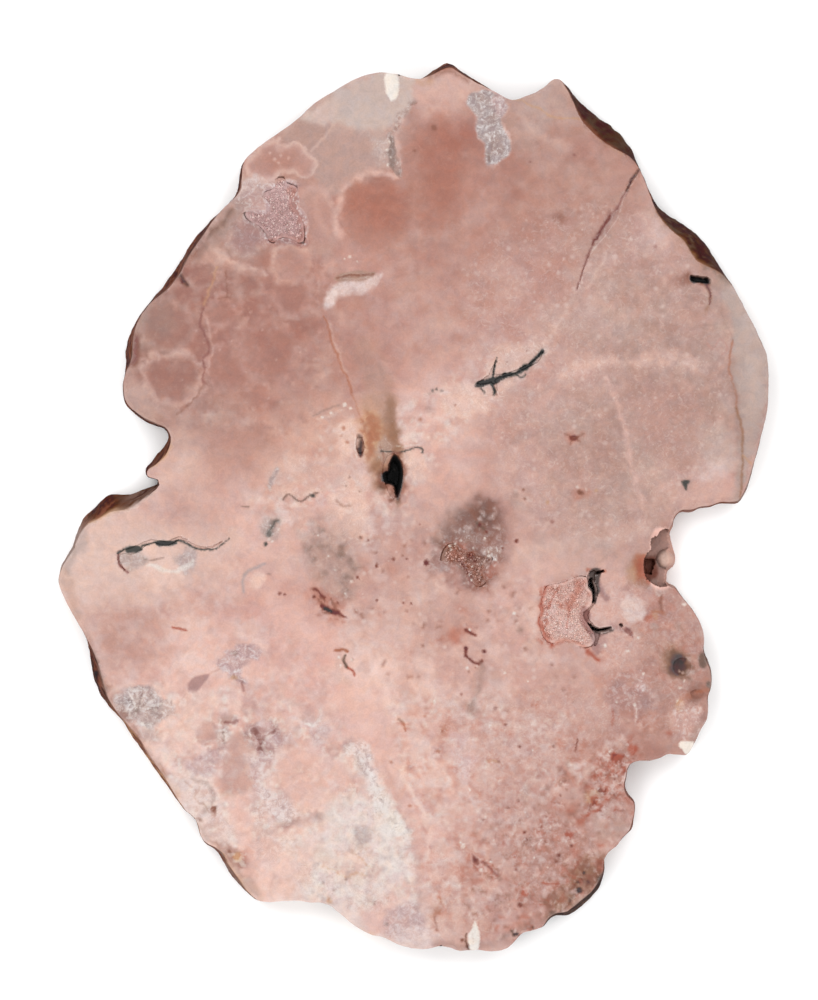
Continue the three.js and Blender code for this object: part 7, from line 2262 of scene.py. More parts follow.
RIND = (
    RindStretch((330, 97), (424, 76), Hue.OYSTER, Hue.SMOKE, Hue.MILKY_GREY, 0.4),
    RindStretch((424, 76), (470, 78), Hue.UMBER, Hue.LIVER, Hue.RUST),
    RindStretch((470, 78), (550, 84), Hue.LIVER, Hue.UMBER, Hue.CLAY_ROSE, 0.6),
    RindStretch((550, 84), (640, 162), Hue.OLIVE, Hue.UMBER, Hue.LIVER),
    RindStretch((640, 162), (656, 204), Hue.LIVER, Hue.BISTRE, Hue.RUST, 0.9),
    RindStretch((656, 204), (732, 280), Hue.UMBER, Hue.OLIVE, Hue.TOBACCO),
    RindStretch((732, 280), (772, 370), Hue.SMOKE, Hue.OYSTER, Hue.MILKY_GREY, 0.7),
    RindStretch((772, 370), (740, 503), Hue.OYSTER, Hue.SMOKE, Hue.MILKY_GREY, 0.5),
    RindStretch((740, 503), (674, 520), Hue.TEA_ROSE, Hue.LIVER, Hue.DUSTY_ROSE, 0.7),
    # painted light: the east bay's wall takes the lightened pink of its shelf
    RindStretch((674, 520), (672, 590), Hue.FLUSH, Hue.SHELL, Hue.CREAM, 0.4),
    RindStretch((672, 590), (690, 756), Hue.SMOKE, Hue.DEEP_SMOKE, Hue.CLAY_ROSE, 0.7),
    RindStretch((690, 756), (606, 872), Hue.FADED_BRICK, Hue.LIVER, Hue.CLAY_ROSE, 0.7),
    RindStretch((606, 872), (512, 936), Hue.DEEP_SMOKE, Hue.BISTRE, Hue.SMOKE, 0.9),
    RindStretch((512, 936), (390, 950), Hue.SMOKE, Hue.LIVER, Hue.PALE_ASH, 0.7),
    RindStretch((390, 950), (262, 904), Hue.OYSTER, Hue.HONEY, Hue.CREAM, 0.6),
    RindStretch((262, 904), (200, 838), Hue.SMOKE, Hue.LIVER, Hue.HONEY, 0.9),
    RindStretch((200, 838), (112, 705), Hue.LIVER, Hue.HONEY, Hue.SAND, 0.8),
    RindStretch((112, 705), (86, 640), Hue.LIVER, Hue.BISTRE, Hue.SMOKE),
    RindStretch((86, 640), (56, 582), Hue.HONEY, Hue.LIVER, Hue.CREAM, 0.6),
    RindStretch((56, 582), (82, 524), Hue.OYSTER, Hue.SMOKE, Hue.MILKY_GREY, 0.7),
    RindStretch((82, 524), (118, 494), Hue.UMBER, Hue.LIVER, Hue.HONEY),
    RindStretch((118, 494), (162, 483), Hue.SMOKE, Hue.UMBER, Hue.OYSTER),
    RindStretch((162, 483), (170, 430), Hue.LIVER, Hue.UMBER, Hue.HONEY),
    RindStretch((170, 430), (122, 390), Hue.LIVER, Hue.BISTRE, Hue.SAND, 0.7),
    RindStretch((122, 390), (216, 226), Hue.UMBER, Hue.LIVER, Hue.SMOKE),
    RindStretch((216, 226), (246, 160), Hue.LIVER, Hue.UMBER, Hue.CLAY_ROSE, 0.9),
    RindStretch((246, 160), (330, 97), Hue.SMOKE, Hue.LIVER, Hue.WARM_ASH, 0.6),
)


class Rind:
    """Colours the natural wall of the stone."""

    def __init__(self, surface: SlabSurface) -> None:
        """Find which columns each stretch covers.

        Args:
            surface: the stone, whose wall is made.
        """
        self.surface = surface
        count = len(surface.ring)
        shades = np.zeros((count, 3, 3))
        cover = np.zeros(count)
        for stretch in RIND:
            first, last = (int(np.argmin(np.hypot(*(surface.ring - in_frame([place])).T)))
                           for place in (stretch.end, stretch.start))
            columns = np.arange(first, last if last > first else last + count) % count
            shades[columns] = [srgb(hue.value) for hue in (stretch.shell, stretch.mottle, stretch.seam)]
            cover[columns] = stretch.cover
        missing = shades.sum((1, 2)) == 0
        shades[missing] = [srgb(hue.value) for hue in (Hue.SMOKE, Hue.LIVER, Hue.CLAY_ROSE)]
        cover[missing] = 0.7
        self.shades = eased(shades.reshape(count, 9), 6).reshape(count, 3, 3)
        self.cover = eased(cover[:, None], 6)[:, 0]

    def paint(self, stone: Array, points: Array, columns: int) -> tuple[Array, Array]:
        """Colour the wall.

        Args:
            stone: the stone's own colour at each point of the wall.
            points: the points, in rows of the wall from the back up.
            columns: how many there are in a row.

        Returns:
            One sRGB row for each point, and how much rind covers it.
        """
        surface = self.surface
        column = np.arange(len(points)) % columns
        x, y = on_grid(points[:, 0], points[:, 1])
        z = points[:, 2] / GRID
        climb = np.clip((points[:, 2] - surface.widest) / (surface.thickness - surface.widest), -0.5, 1)
        blotch = noise(x + z * 0.7, y - z * 0.6, 9, Seed.RIND_BLOTCH, 3)
        speck = noise(x + z, y - z, 3.2, Seed.RIND_SPECK, 2)
        mixed = smoothstep(blotch * 0.7 + speck * 0.6, -0.35, 0.45)[:, None]
        shell, mottle, seam = (self.shades[column, k] for k in range(3))
        rind = shell * (1 - mixed) + mottle * mixed
        rind = rind * (1 + 0.12 * speck[:, None])
        width = surface.rind_width[column] / MM
        reach = np.clip(self.cover[column] * (0.35 + 0.65 * smoothstep(width, 0.4, 2.2)), 0, 1)
        edge = 0.35 + 0.62 * reach + 0.1 * blotch
        cover = 1 - smoothstep(climb, edge - 0.12, edge + 0.06)
        stain = np.exp(-((climb - edge) / 0.12) ** 2) * 0.8
        colour = stone + cover[:, None] * (rind - stone)
        colour = colour + (stain * smoothstep(width, 0.5, 2.5))[:, None] * (seam - colour)
        return np.clip(colour, 0, 1), cover


# ---- finishes -----------------------------------------------------------------------------------------
EASE = {"interpolation_type": "SMOOTHSTEP"}
MULTIPLY = {"operation": "MULTIPLY"}
TINT = {"data_type": "RGBA", "blend_type": "MULTIPLY"}  # a colour mix whose inputs are 0, 6 and 7


def add_node(tree: bpy.types.NodeTree, kind: str, links: dict[Any, Any] | Sequence[Any] = (),
             **settings: Any) -> bpy.types.Node:
    """Add a node with its settings and links.

    Args:
        tree: the tree that takes it.
        kind: the node's type name.
        links: for each input, by name or number or else in order, its value or what it is linked from:
            a socket, or a node for that node's first output.
        settings: the node's own properties.

    Returns:
        The node.
    """
    node = tree.nodes.new(kind)
    for name, value in settings.items():
        setattr(node, name, value)
    for key, value in links.items() if isinstance(links, dict) else enumerate(links):
        if isinstance(value, bpy.types.Node):
            value = value.outputs[0]
        if isinstance(value, bpy.types.NodeSocket):
            tree.links.new(value, node.inputs[key])
        else:
            node.inputs[key].default_value = value
    return node


def empty_material(name: str) -> bpy.types.Material:
    """Make a material whose tree has no nodes yet."""
    material = bpy.data.materials.new(name)
    material.use_nodes = True
    material.node_tree.nodes.clear()
    return material


def hex_rgba(value: str) -> tuple[float, float, float, float]:
    """Turn an sRGB hex value into the linear colour of a shader socket."""
    return (*to_linear(srgb(value)).tolist(), 1.0)


@dataclass(frozen=True)
class Layer:
    """A colour that the fine pattern lays over the stone, too small for the mesh."""

    hue: str
    strength: float
    texture: Texture  # the texture that asks for it
    everywhere: float  # how strongly it also shows where nothing asks for it
    shapes: tuple[tuple[str, float, float], ...]  # sources of pattern, and the values each eases between


# Sizes of the noise in millimetres, with its detail, roughness and swirl. The grain of sugary quartz is
# finer than 0.6 mm, and is drawn as coarse as it needs to show.
NOISES = {"grain": (0.6, 3, 0.65, 0), "cloud": (3.6, 4, 0.62, 0.8), "drift": (3.8, 3, 0.6, 0.6),
          "stain": (3.6, 5, 0.7, 1.2), "specks": (1.3, 4, 0.72, 0.6), "field": (6, 2, 0.6, 0),
          "flakes": (2.4, 6, 0.72, 1.5), "tangle": (2, 6, 0.7, 0.9), "broken": (1.6, 4, 0.65, 0)}
# What shades the whole stone: the noise's own range, and the range that it is eased to.
DRIFTS = (("grain", 0.3, 0.7, 0.95, 1.05), ("cloud", 0.3, 0.7, 0.93, 1.07), ("drift", 0.34, 0.66, 0, 1))
# Sizes of the cells in millimetres, and how the distance from their middles is measured.
CELLS = {"pearls": (2.7, "EUCLIDEAN"), "facets": (0.85, "MANHATTAN"), "sparks": (1.7, "EUCLIDEAN")}
LAYERS = (
    # iron stain, and specks of it
    Layer('#bb7864', 0.6, Texture.RUST, 0.1, (('stain', 0.5, 0.7),)),
    Layer('#94452f', 0.75, Texture.RUST, 0.03, (('specks', 0.58, 0.7), ('field', 0.42, 0.6))),
    # pale wisps and flecks, thick where the stone is flaky, and the thin seams between its flakes
    Layer('#f4e0d6', 0.75, Texture.FLAKE, 0.09, (('flakes', 0.52, 0.7),)),
    Layer('#a8776a', 0.4, Texture.FLAKE, 0, (('flakes', 0.46, 0.5), ('flakes', 0.54, 0.5))),
    # pale spherulites
    Layer('#ecd2c9', 0.5, Texture.PEARL, 0.05, (('pearls', 1.2, 0.1), ('pearls red', 0.3, 0.9))),
    # sawn quartz crystals: whitish tangles with grey-lilac gaps, and some bright and dark facets
    Layer('#8d7476', 0.5, Texture.CRYSTAL, 0, (('tangle', 0.52, 0.36),)),
    Layer('#f3ebe9', 0.8, Texture.CRYSTAL, 0, (('tangle', 0.46, 0.66),)),
    Layer('#fbf4f1', 0.6, Texture.CRYSTAL, 0, (('facets', 0.8, 0.3), ('facets red', 0.84, 0.94))),
    Layer('#7d6468', 0.4, Texture.CRYSTAL, 0, (('facets', 0.8, 0.3), ('facets green', 0.86, 0.94))),
    # painted glints: highlights of crystal faces that catch the light
    Layer('#fff6f0', 0.85, Texture.GLINT, 0.06, (('sparks', 0.24, 0.08), ('sparks blue', 0.9, 0.96))),
)


@dataclass(frozen=True)
class StoneFinish:
    """One way in which the stone's surface is finished.

    Polished faces are near mirror-smooth between the grains, the rind is weathered and dull, and the
    sawn back keeps the faint arcs of the blade.
    """

    name: str
    roughness: float
    rough_roughness: float  # where the surface is broken or natural
    bump: float  # height of the sugary grains, in metres
    rough_bump: float  # height of what is broken or natural
    ior: float = 1.544  # quartz
    gloss: float = 0.5  # weathering dulls the reflection
    saw_arcs: bool = False
    arc_width: float = 9 * MM
    arc_height: float = 0.05 * MM
    pearl_sizes: tuple[float, float] = (0.16, 0.42)  # the least and greatest spherulite, in cells
    shadow: tuple[float, float] = (0.015, 0.11)  # the fine pattern comes in between these shades of stone
    cool: tuple[float, ...] = (0.965, 0.99, 1.025, 1.0)  # the stone drifts between lilac
    warm: tuple[float, ...] = (1.035, 1.0, 0.965, 1.0)  # and peach

    def material(self) -> bpy.types.Material:
        """Build the material."""
        material = empty_material(self.name)
        tree = material.node_tree
        sources = self.sources(tree)
        mask = {texture: add_node(tree, "ShaderNodeAttribute", attribute_name=texture.value).outputs["Fac"]
                for texture in Texture}
        roughness = add_node(tree, "ShaderNodeMapRange", {
            "Value": mask[Texture.ROUGH], "To Min": self.roughness, "To Max": self.rough_roughness})
        height = self.relief(tree, sources, mask[Texture.ROUGH])
        bump = add_node(tree, "ShaderNodeBump", {"Height": height, "Distance": 1.0, "Strength": 1.0})
        shader = add_node(tree, "ShaderNodeBsdfPrincipled", {
            "Base Color": self.pattern(tree, sources, mask), "Roughness": roughness, "IOR": self.ior,
            "Normal": bump, "Specular IOR Level": self.gloss})
        add_node(tree, "ShaderNodeOutputMaterial", {"Surface": shader})
        return material

    def sources(self, tree: bpy.types.NodeTree) -> dict[str, Any]:
        """Add the noises and cells from which the fine pattern and the relief are made.

        Args:
            tree: the material's tree.

        Returns:
            The node or socket of each, by its name.
        """
        place = add_node(tree, "ShaderNodeTexCoord").outputs["Object"]
        found: dict[str, Any] = {"place": place}
        for name, (size, detail, roughness, swirl) in NOISES.items():
            found[name] = add_node(tree, "ShaderNodeTexNoise", {
                "Vector": place, "Scale": 1 / (size * MM), "Detail": detail, "Roughness": roughness,
                "Distortion": swirl})
        for name, (size, metric) in CELLS.items():
            cells = add_node(tree, "ShaderNodeTexVoronoi", {"Vector": place, "Scale": 1 / (size * MM)},
                             distance=metric)
            lots = add_node(tree, "ShaderNodeSeparateColor", (cells.outputs["Color"],))
            found[name] = cells.outputs["Distance"]
            for k, channel in enumerate(("red", "green", "blue")):
                found[f"{name} {channel}"] = lots.outputs[k]
        lot = found["pearls green"]
        radius = add_node(tree, "ShaderNodeMapRange", (lot, 0, 1, *self.pearl_sizes), **EASE)
        found["pearls"] = add_node(tree, "ShaderNodeMath", (found["pearls"], radius), operation="DIVIDE")
        return found

    def pattern(self, tree: bpy.types.NodeTree, sources: dict[str, Any],
                mask: dict[Texture, bpy.types.NodeSocket]) -> bpy.types.Node:
        """Lay the fine pattern over the stone's colour.

        Args:
            tree: the material's tree.
            sources: the noises and cells.
            mask: the strength of each texture.

        Returns:
            The node that gives the finished colour.
        """
        stone = add_node(tree, "ShaderNodeAttribute", attribute_name="stone").outputs["Color"]
        green = add_node(tree, "ShaderNodeSeparateColor", (stone,)).outputs[1]
        lit = add_node(tree, "ShaderNodeMapRange", (green, *self.shadow, 0, 1), **EASE)  # pits stay dark
        # sugary grain and soft clouding, and a drift between peach and lilac
        shade, cloud, drift = (
            add_node(tree, "ShaderNodeMapRange", (sources[name], low, high, least, most), **EASE)
            for name, low, high, least, most in DRIFTS)
        value = add_node(tree, "ShaderNodeMath", (shade, cloud), **MULTIPLY)
        grey = add_node(tree, "ShaderNodeCombineColor", (value, value, value))
        colour = add_node(tree, "ShaderNodeMix", {0: 1.0, 6: stone, 7: grey}, **TINT)
        peach = add_node(tree, "ShaderNodeMix", {0: drift, 6: self.cool, 7: self.warm}, data_type="RGBA")
        colour = add_node(tree, "ShaderNodeMix", {0: 1.0, 6: colour.outputs[2], 7: peach.outputs[2]},
                          **TINT)
        for layer in LAYERS:
            amounts = [add_node(tree, "ShaderNodeMapRange", (sources[name], low, high, 0, 1), **EASE)
                       for name, low, high in layer.shapes]
            asked = mask[layer.texture]
            if layer.everywhere:
                asked = add_node(tree, "ShaderNodeMapRange", (asked, 0, 1, layer.everywhere, 1), **EASE)
            factor = amounts[0]
            for amount in (*amounts[1:], asked, lit, layer.strength):
                factor = add_node(tree, "ShaderNodeMath", (factor, amount), **MULTIPLY)
            colour = add_node(tree, "ShaderNodeMix", {
                0: factor, 6: colour.outputs[2], 7: hex_rgba(layer.hue)}, data_type="RGBA")
        return colour.outputs[2]

    def relief(self, tree: bpy.types.NodeTree, sources: dict[str, Any],
               rough: bpy.types.NodeSocket) -> bpy.types.Node:
        """Add the surface's fine height.

        Args:
            tree: the material's tree.
            sources: the noises and cells.
            rough: where the surface is broken or natural.

        Returns:
            The node that gives the height in metres.
        """
        fine = add_node(tree, "ShaderNodeMath", (sources["grain"], self.bump), **MULTIPLY)
        coarse = add_node(tree, "ShaderNodeMath", (sources["broken"], self.rough_bump), **MULTIPLY)
        broken = add_node(tree, "ShaderNodeMath", (coarse, rough), **MULTIPLY)
        height = add_node(tree, "ShaderNodeMath", (fine, broken), operation="ADD")
        if self.saw_arcs:
            arcs = add_node(tree, "ShaderNodeTexWave", {
                "Vector": sources["place"], "Scale": 1 / self.arc_width, "Distortion": 1.2, "Detail": 2.0,
                "Detail Scale": 0.4}, wave_type="RINGS", rings_direction="Z").outputs[1]
            raised = add_node(tree, "ShaderNodeMath", (arcs, self.arc_height), **MULTIPLY)
            height = add_node(tree, "ShaderNodeMath", (height, raised), operation="ADD")
        return height


# The face is ground and polished, so it is smooth and only faintly grainy.
POLISHED_FACE = StoneFinish("polished_pink_amethyst", 0.26, 0.7, 0.006 * MM, 0.25 * MM)
# The rind is the geode's weathered outside: dull, pitted and grainy.
WEATHERED_RIND = StoneFinish("weathered_geode_rind", 0.55, 0.9, 0.05 * MM, 0.5 * MM, gloss=0.12)
# The back is sawn and left unpolished: matt, with faint arcs from the blade.
SAWN_BACK = StoneFinish("sawn_amethyst_back", 0.58, 0.75, 0.02 * MM, 0.25 * MM, saw_arcs=True)


# ---- crusts of crystals --------------------------------------------------------------------------------
@dataclass(frozen=True)
class CrystalFinish:
    """Natural crystal faces: clear to clouded quartz, glassy, tinted by what it grew in."""

    name: str
    tints: tuple[Hue, ...]  # each crystal has one of these
    tint_share: float = 0.4  # the rest is the stone's colour round about
    roughness: float = 0.3
    ior: float = 1.544  # quartz
    transmission: float = 0.1
    gloss: float = 0.3  # crystals in a hollow mirror little of the room
    cloud_size: float = 0.9 * MM
    bump: float = 0.02 * MM

    def material(self) -> bpy.types.Material:
        """Build the material."""
        material = empty_material(self.name)
        tree = material.node_tree
        place = add_node(tree, "ShaderNodeTexCoord").outputs["Object"]
        stone = add_node(tree, "ShaderNodeAttribute", attribute_name="stone").outputs["Color"]
        cloud = add_node(tree, "ShaderNodeTexNoise", {"Vector": place, "Scale": 1 / self.cloud_size,
                                                      "Detail": 2.0})
        veil = add_node(tree, "ShaderNodeMapRange", (cloud, 0.35, 0.65, 0.85, 1.12))
        grey = add_node(tree, "ShaderNodeCombineColor", (veil, veil, veil))
        tinted = add_node(tree, "ShaderNodeMix", {0: 1.0, 6: stone, 7: grey}, **TINT)
        bump = add_node(tree, "ShaderNodeBump", {"Height": cloud, "Distance": self.bump, "Strength": 1.0})
        shader = add_node(tree, "ShaderNodeBsdfPrincipled", {
            "Base Color": tinted.outputs[2], "Roughness": self.roughness, "IOR": self.ior,
            "Transmission Weight": self.transmission, "Specular IOR Level": self.gloss, "Normal": bump})
        add_node(tree, "ShaderNodeOutputMaterial", {"Surface": shader})
        return material


AMETHYST_POINTS = CrystalFinish("amethyst_points", (
    Hue.MAUVE, Hue.LAVENDER, Hue.IVORY, Hue.LAVENDER, Hue.LILAC, Hue.SMOKE, Hue.CHALK_AND_GLINT))
SMOKY_POINTS = CrystalFinish("smoky_quartz_points", (
    Hue.DEEP_SMOKE, Hue.SMOKE, Hue.OYSTER, Hue.STORM, Hue.UMBER, Hue.SMOKE, Hue.IVORY), 0.5)
RUSTY_POINTS = CrystalFinish("rusty_quartz_points", (
    Hue.NACRE, Hue.LILAC, Hue.PETAL, Hue.CREAM, Hue.LAVENDER, Hue.IVORY, Hue.CLAY_ROSE), 0.45)


@dataclass
class CrystalCrust:
    """The crystals that line one hollow, grown together in one crust."""

    node: str
    name: str
    slot: str
    finish: CrystalFinish
    crystal: float  # width of a middling crystal, in metres
    spacing: float  # least distance between crystals
    seed: int
    foot: float = 0.25 * MM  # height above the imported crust's base where its outline is read
    rim_depth: float = 0.12 * MM  # of the bed, below the polished face
    middle_depth: float = 0.95 * MM
    lumps: float = 0.2 * MM
    spread: float = 1.15 * MM  # how far the bed runs into the hollow's walls
    bare: float = 0.65 * MM  # the bed's hidden edge, where nothing grows
    bed_step: float = 0.55 * MM
    dish: tuple[float, float] = (0.3 * MM, 2.4 * MM)  # the bed sinks between these distances from its rim
    least_bed: float = 0.3 * MM  # its least thickness
    sawn_below: float = 0.02 * MM  # the saw cuts the tips this far below the polished face

    def build(self, painter: Painter, slab: PackedSolid) -> bpy.types.Object:
        """Grow the crust.

        Args:
            painter: colours the bed as the stone beneath it.
            slab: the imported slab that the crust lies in.

        Returns:
            The finished object.
        """
        bed = self.bed(slab)
        modifier = bed.modifiers.new("crystals", "NODES")
        modifier.node_group = crystal_tree()
        sockets = {item.name: item.identifier for item in modifier.node_group.interface.items_tree
                   if item.in_out == "INPUT"}
        modifier[sockets["Width"]] = self.crystal
        modifier[sockets["Spacing"]] = self.spacing
        modifier[sockets["Seed"]] = int(self.seed)
        modifier[sockets["Finish"]] = self.finish.material()
        evaluated = bed.evaluated_get(bpy.context.evaluated_depsgraph_get())
        mesh = bpy.data.meshes.new_from_object(evaluated)
        bpy.data.objects.remove(bed)
        mesh.name = self.name
        obj = linked(self.name, mesh)
        self.tint(obj, painter, slab.top)
        LOG.info("%s: %d triangles", self.name, sum(len(p.vertices) - 2 for p in mesh.polygons))
        return obj

    def bed(self, slab: PackedSolid) -> bpy.types.Object:
        """Make the rough bed that the crystals stand on.

        Args:
            slab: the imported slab.

        Returns:
            A closed sheet that fills the hollow to just below the polished face.
        """
        solid = PackedSolid(self.node)
        low = solid.corners[:, 2].min()
        rim = respaced(solid.slice(low + self.foot)[0], self.bed_step)
        rim = rim + outward(rim, 1) * self.spread
        inner = between(hex_grid(rim, self.bed_step, self.seed), rim, [], self.bed_step * 0.5)
        flat = np.vstack((rim, inner))
        edge = np.column_stack((rim, rim[:, 0] * 0))
        triangles = SlabSurface.triangulate(edge, np.arange(len(rim)), [], inner, len(rim))
        gx, gy = on_grid(flat[:, 0], flat[:, 1])
        from_rim = distance_to_points(flat, rim)
        dish = smoothstep(from_rim, *self.dish)
        level = slab.top - (self.rim_depth + (self.middle_depth - self.rim_depth) * dish)
        level = level + self.lumps * (0.3 + 0.7 * dish) * noise(gx, gy, 8, self.seed, 3)
        lower = np.column_stack((flat, np.full(len(flat), low)))
        upper = np.column_stack((flat, np.maximum(level, low + self.least_bed)))
        count = len(flat)
        ring = np.arange(len(rim))
        side = np.column_stack((ring, np.roll(ring, -1), np.roll(ring, -1) + count))
        side = np.vstack((side, np.column_stack((ring, np.roll(ring, -1) + count, ring + count))))
        faces = np.vstack((triangles[:, ::-1], triangles + count, side))
        obj = mesh_object("bed", np.vstack((lower, upper)), faces)
        grows = np.zeros(len(faces), bool)
        grows[len(triangles):2 * len(triangles)] = (from_rim[triangles] > self.bare).all(1)
        obj.data.attributes.new("top", "BOOLEAN", "FACE").data.foreach_set("value", grows)
        return obj

    def tint(self, obj: bpy.types.Object, painter: Painter, face: float) -> None:
        """Colour the crust from its bed to its tips.

        Args:
            obj: the crust.
            painter: gives the stone's colour round about.
            face: the height of the polished face.
        """
        mesh = obj.data
        points = np.empty(len(mesh.vertices) * 3)
        mesh.vertices.foreach_get("co", points)
        points = points.reshape(-1, 3)
        rise, chance = np.zeros((2, len(points)), np.float32)
        mesh.attributes["rise"].data.foreach_get("value", rise)
        mesh.attributes["chance"].data.foreach_get("value", chance)
        x, y = on_grid(points[:, 0], points[:, 1])
        stone, _ = painter.paint(x, y)
        hues = np.array([srgb(hue.value) for hue in self.finish.tints])
        own = hues[np.floor(chance * 0.9999 * len(hues)).astype(int)]
        share = self.finish.tint_share * (0.35 + 0.65 * smoothstep(rise, 0.1, 0.9))[:, None]
        colour = stone * (1 - share) + own * share
        # painted light: each crystal is lightened to make up for the shade of its hollow, and more so
        # towards its tip
        colour *= (1.08 + 0.12 * smoothstep(rise, 0, 1))[:, None]
        write_colours(obj, np.clip(colour, 0, 1), {})
        points[:, 2] = np.minimum(points[:, 2], face - self.sawn_below)
        mesh.vertices.foreach_set("co", points.ravel())
        for name in ("rise", "chance"):
            mesh.attributes.remove(mesh.attributes[name])


def crystal_tree() -> bpy.types.GeometryNodeTree:
    """Build the tree that stands six-sided crystals on the faces marked top.

    Returns:
        The tree, with inputs Width, Spacing, Seed and Finish.
    """
    tree = bpy.data.node_groups.new("crystal_crust", "GeometryNodeTree")
    face = tree.interface
    face.new_socket("Bed", in_out="INPUT", socket_type="NodeSocketGeometry")
    for name, kind in (("Width", "Float"), ("Spacing", "Float"), ("Seed", "Int"), ("Finish", "Material")):
        face.new_socket(name, in_out="INPUT", socket_type=f"NodeSocket{kind}")
    face.new_socket("Crust", in_out="OUTPUT", socket_type="NodeSocketGeometry")
    given = add_node(tree, "NodeGroupInput").outputs

    def chance(low: Any, high: Any, salt: int, kind: str = "FLOAT") -> bpy.types.NodeSocket:
        """Give each crystal a random value of its own, which the seed and the salt decide."""
        seed = add_node(tree, "ShaderNodeMath", (given["Seed"], salt), operation="ADD")
        least, most, result = (0, 1, 0) if kind == "FLOAT_VECTOR" else (2, 3, 1)
        return add_node(tree, "FunctionNodeRandomValue", {least: low, most: high, "Seed": seed},
                        data_type=kind).outputs[result]

    top = add_node(tree, "GeometryNodeInputNamedAttribute", {"Name": "top"}, data_type="BOOLEAN")
    points = add_node(tree, "GeometryNodeDistributePointsOnFaces", {
        "Mesh": given["Bed"], "Selection": top, "Distance Min": given["Spacing"], "Density Max": 9e6,
        "Seed": given["Seed"]}, distribute_method="POISSON")
    # one crystal, a unit wide: a short six-sided prism under a point
    foot, shoulder, tip = 0.5, 0.46, 0.03  # its radii
    prism_height, point_height = 0.75, 0.55
    prism = add_node(tree, "GeometryNodeMeshCone", {
        "Vertices": 6, "Radius Top": shoulder, "Radius Bottom": foot, "Depth": prism_height},
        fill_type="NONE")
    point = add_node(tree, "GeometryNodeMeshCone", {
        "Vertices": 6, "Radius Top": tip, "Radius Bottom": shoulder, "Depth": point_height},
        fill_type="NGON")
    raised = add_node(tree, "GeometryNodeTransform", {"Geometry": point,
                                                      "Translation": (0, 0, prism_height)})
    crystal = add_node(tree, "GeometryNodeJoinGeometry", (prism,))
    tree.links.new(raised.outputs[0], crystal.inputs[0])
    welded = add_node(tree, "GeometryNodeMergeByDistance", {"Geometry": crystal, "Distance": 0.001})
    place = add_node(tree, "ShaderNodeSeparateXYZ", (add_node(tree, "GeometryNodeInputPosition"),))
    whole = prism_height + point_height
    rise = add_node(tree, "ShaderNodeMath", (place.outputs[2], whole), operation="DIVIDE")
    marked = add_node(tree, "GeometryNodeStoreNamedAttribute", {
        "Geometry": welded, "Name": "rise", "Value": rise}, data_type="FLOAT", domain="POINT")
    most_lean, full_turn = 0.55, 6.28  # radians
    lean = add_node(tree, "FunctionNodeRotateRotation", {
        "Rotation": points.outputs["Rotation"],
        "Rotate By": add_node(tree, "FunctionNodeEulerToRotation", (
            chance((-most_lean, -most_lean, 0), (most_lean, most_lean, full_turn), 3, "FLOAT_VECTOR"),))},
        rotation_space="LOCAL")
    # few crystals are large, and all are short, because only their tips stand clear of the crust
    growth = add_node(tree, "ShaderNodeMath", (chance(0.62, 1.25, 5), 1.6), operation="POWER")
    width = add_node(tree, "ShaderNodeMath", (given["Width"], growth), **MULTIPLY)
    tall = add_node(tree, "ShaderNodeMath", (width, chance(0.28, 0.52, 7)), **MULTIPLY)
    planted = add_node(tree, "GeometryNodeStoreNamedAttribute", {
        "Geometry": points.outputs["Points"], "Name": "chance", "Value": chance(0.0, 1.0, 11)},
        data_type="FLOAT", domain="POINT")
    scattered = add_node(tree, "GeometryNodeInstanceOnPoints", {
        "Points": planted, "Instance": marked, "Rotation": lean,
        "Scale": add_node(tree, "ShaderNodeCombineXYZ", (width, width, tall))})
    real = add_node(tree, "GeometryNodeRealizeInstances", {"Geometry": scattered})
    both = add_node(tree, "GeometryNodeJoinGeometry", (given["Bed"],))
    tree.links.new(real.outputs[0], both.inputs[0])
    finished = add_node(tree, "GeometryNodeSetMaterial", {"Geometry": both, "Material": given["Finish"]})
    add_node(tree, "NodeGroupOutput", (finished,))
    return tree


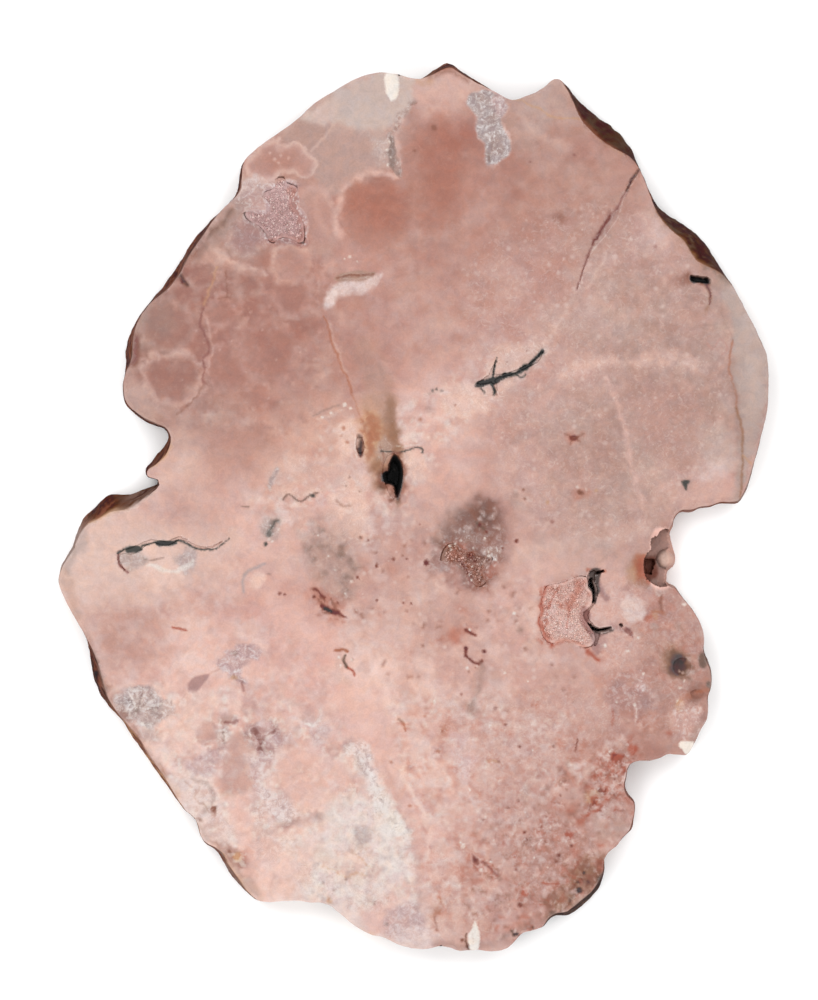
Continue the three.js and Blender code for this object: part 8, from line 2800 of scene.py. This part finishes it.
# ---- studio -------------------------------------------------------------------------------------------
@dataclass(frozen=True)
class Studio:
    """A plain white floor, soft light from all sides, and a camera that looks straight down."""

    view_height: float = 1000 * GRID  # what the camera sees of the polished face, from north to south
    look_at: Point = (409.0, 500.0)  # the survey place that it looks at
    distance: float = 2.2  # from the lens to the polished face
    sensor: float = 36.0  # millimetres
    floor_half: float = 3.0
    floor_level: float = -0.02 * MM
    shade: float = 0.56  # light from all sides
    box_size: float = 0.9
    box_distance: float = 0.72  # from the slab's middle, along the floor
    box_height: float = 1.27

    def build(self, thickness: float) -> None:
        """Set the stage.

        Args:
            thickness: the slab's, in metres.
        """
        self.camera(thickness)
        self.floor()
        self.lights()
        view = bpy.context.scene.view_settings
        view.view_transform = "Standard"
        view.look = "None"

    def camera(self, thickness: float) -> None:
        """Aim the camera at the middle of the face."""
        camera = bpy.data.cameras.new("camera")
        camera.sensor_width = self.sensor
        camera.lens = self.sensor * self.distance / self.view_height
        camera.clip_end = 20
        obj = linked("camera", camera)
        obj.location = (*in_frame([self.look_at])[0], thickness + self.distance)
        bpy.context.scene.camera = obj

    def floor(self) -> None:
        """Lay the white floor."""
        mesh = bpy.data.meshes.new("floor")
        mesh.from_pydata([(x * self.floor_half, y * self.floor_half, self.floor_level)
                          for x, y in ((-1, -1), (1, -1), (1, 1), (-1, 1))], [], [(0, 1, 2, 3)])
        material = empty_material("white_paper")
        white = to_linear(srgb("#f8f8f8"), light=1.0, sheen=0.0).tolist()
        shader = add_node(material.node_tree, "ShaderNodeBsdfPrincipled", {
            "Base Color": (*white, 1.0), "Roughness": 0.9, "Specular IOR Level": 0.0})
        add_node(material.node_tree, "ShaderNodeOutputMaterial", {"Surface": shader})
        mesh.materials.append(material)
        linked("floor", mesh)

    def lights(self) -> None:
        """Hang four soft boxes around the slab, the brightest in the north-west, and lift the shade."""
        world = bpy.data.worlds.new("studio")
        world.use_nodes = True
        background = world.node_tree.nodes["Background"]
        background.inputs["Color"].default_value = (1, 1, 1, 1)
        background.inputs["Strength"].default_value = self.shade
        bpy.context.scene.world = world
        for name, turn, power in (("north_west", 135, 9.3), ("north_east", 45, 7.2),
                                  ("south_east", -45, 5.9), ("south_west", -135, 7.2)):
            light = bpy.data.lights.new(name, "AREA")
            light.shape = "DISK"
            light.size = self.box_size
            light.energy = power
            obj = linked(name, light)
            angle = math.radians(turn)
            obj.location = (self.box_distance * math.cos(angle), self.box_distance * math.sin(angle),
                            self.box_height)
            obj.rotation_euler = (-obj.location).to_track_quat("-Z", "Y").to_euler()


# ---- the whole part -----------------------------------------------------------------------------------
CRUSTS = (
    CrystalCrust("amethyst_crystals", "amethyst_druse", "lavender_quartz", AMETHYST_POINTS,
                 crystal=0.66 * MM, spacing=0.44 * MM, seed=Seed.AMETHYST_CRUST),
    CrystalCrust("smoky_crystals", "smoky_druse", "smoky_quartz", SMOKY_POINTS,
                 crystal=0.64 * MM, spacing=0.44 * MM, seed=Seed.SMOKY_CRUST),
    CrystalCrust("east_hollow_crystals", "rusty_druse", "rusty_quartz", RUSTY_POINTS,
                 crystal=0.64 * MM, spacing=0.44 * MM, seed=Seed.RUSTY_CRUST),
)


def main() -> None:
    """Build the slab, its crusts and the studio."""
    logging.basicConfig(level=logging.INFO, format="%(name)s: %(message)s")
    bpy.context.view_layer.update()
    painter = Painter(BODY, PATTERN)
    surface = SlabSurface(painter)
    slab = surface.build()
    for finish in (POLISHED_FACE, WEATHERED_RIND, SAWN_BACK):
        slab.data.materials.append(finish.material())
    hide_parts(surface.node)
    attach(slab, "root")
    for crust in CRUSTS:
        druse = crust.build(painter, surface.solid)
        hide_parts(crust.node)
        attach(druse, "root")
    Studio().build(surface.thickness)


if __name__ == "__main__":
    main()
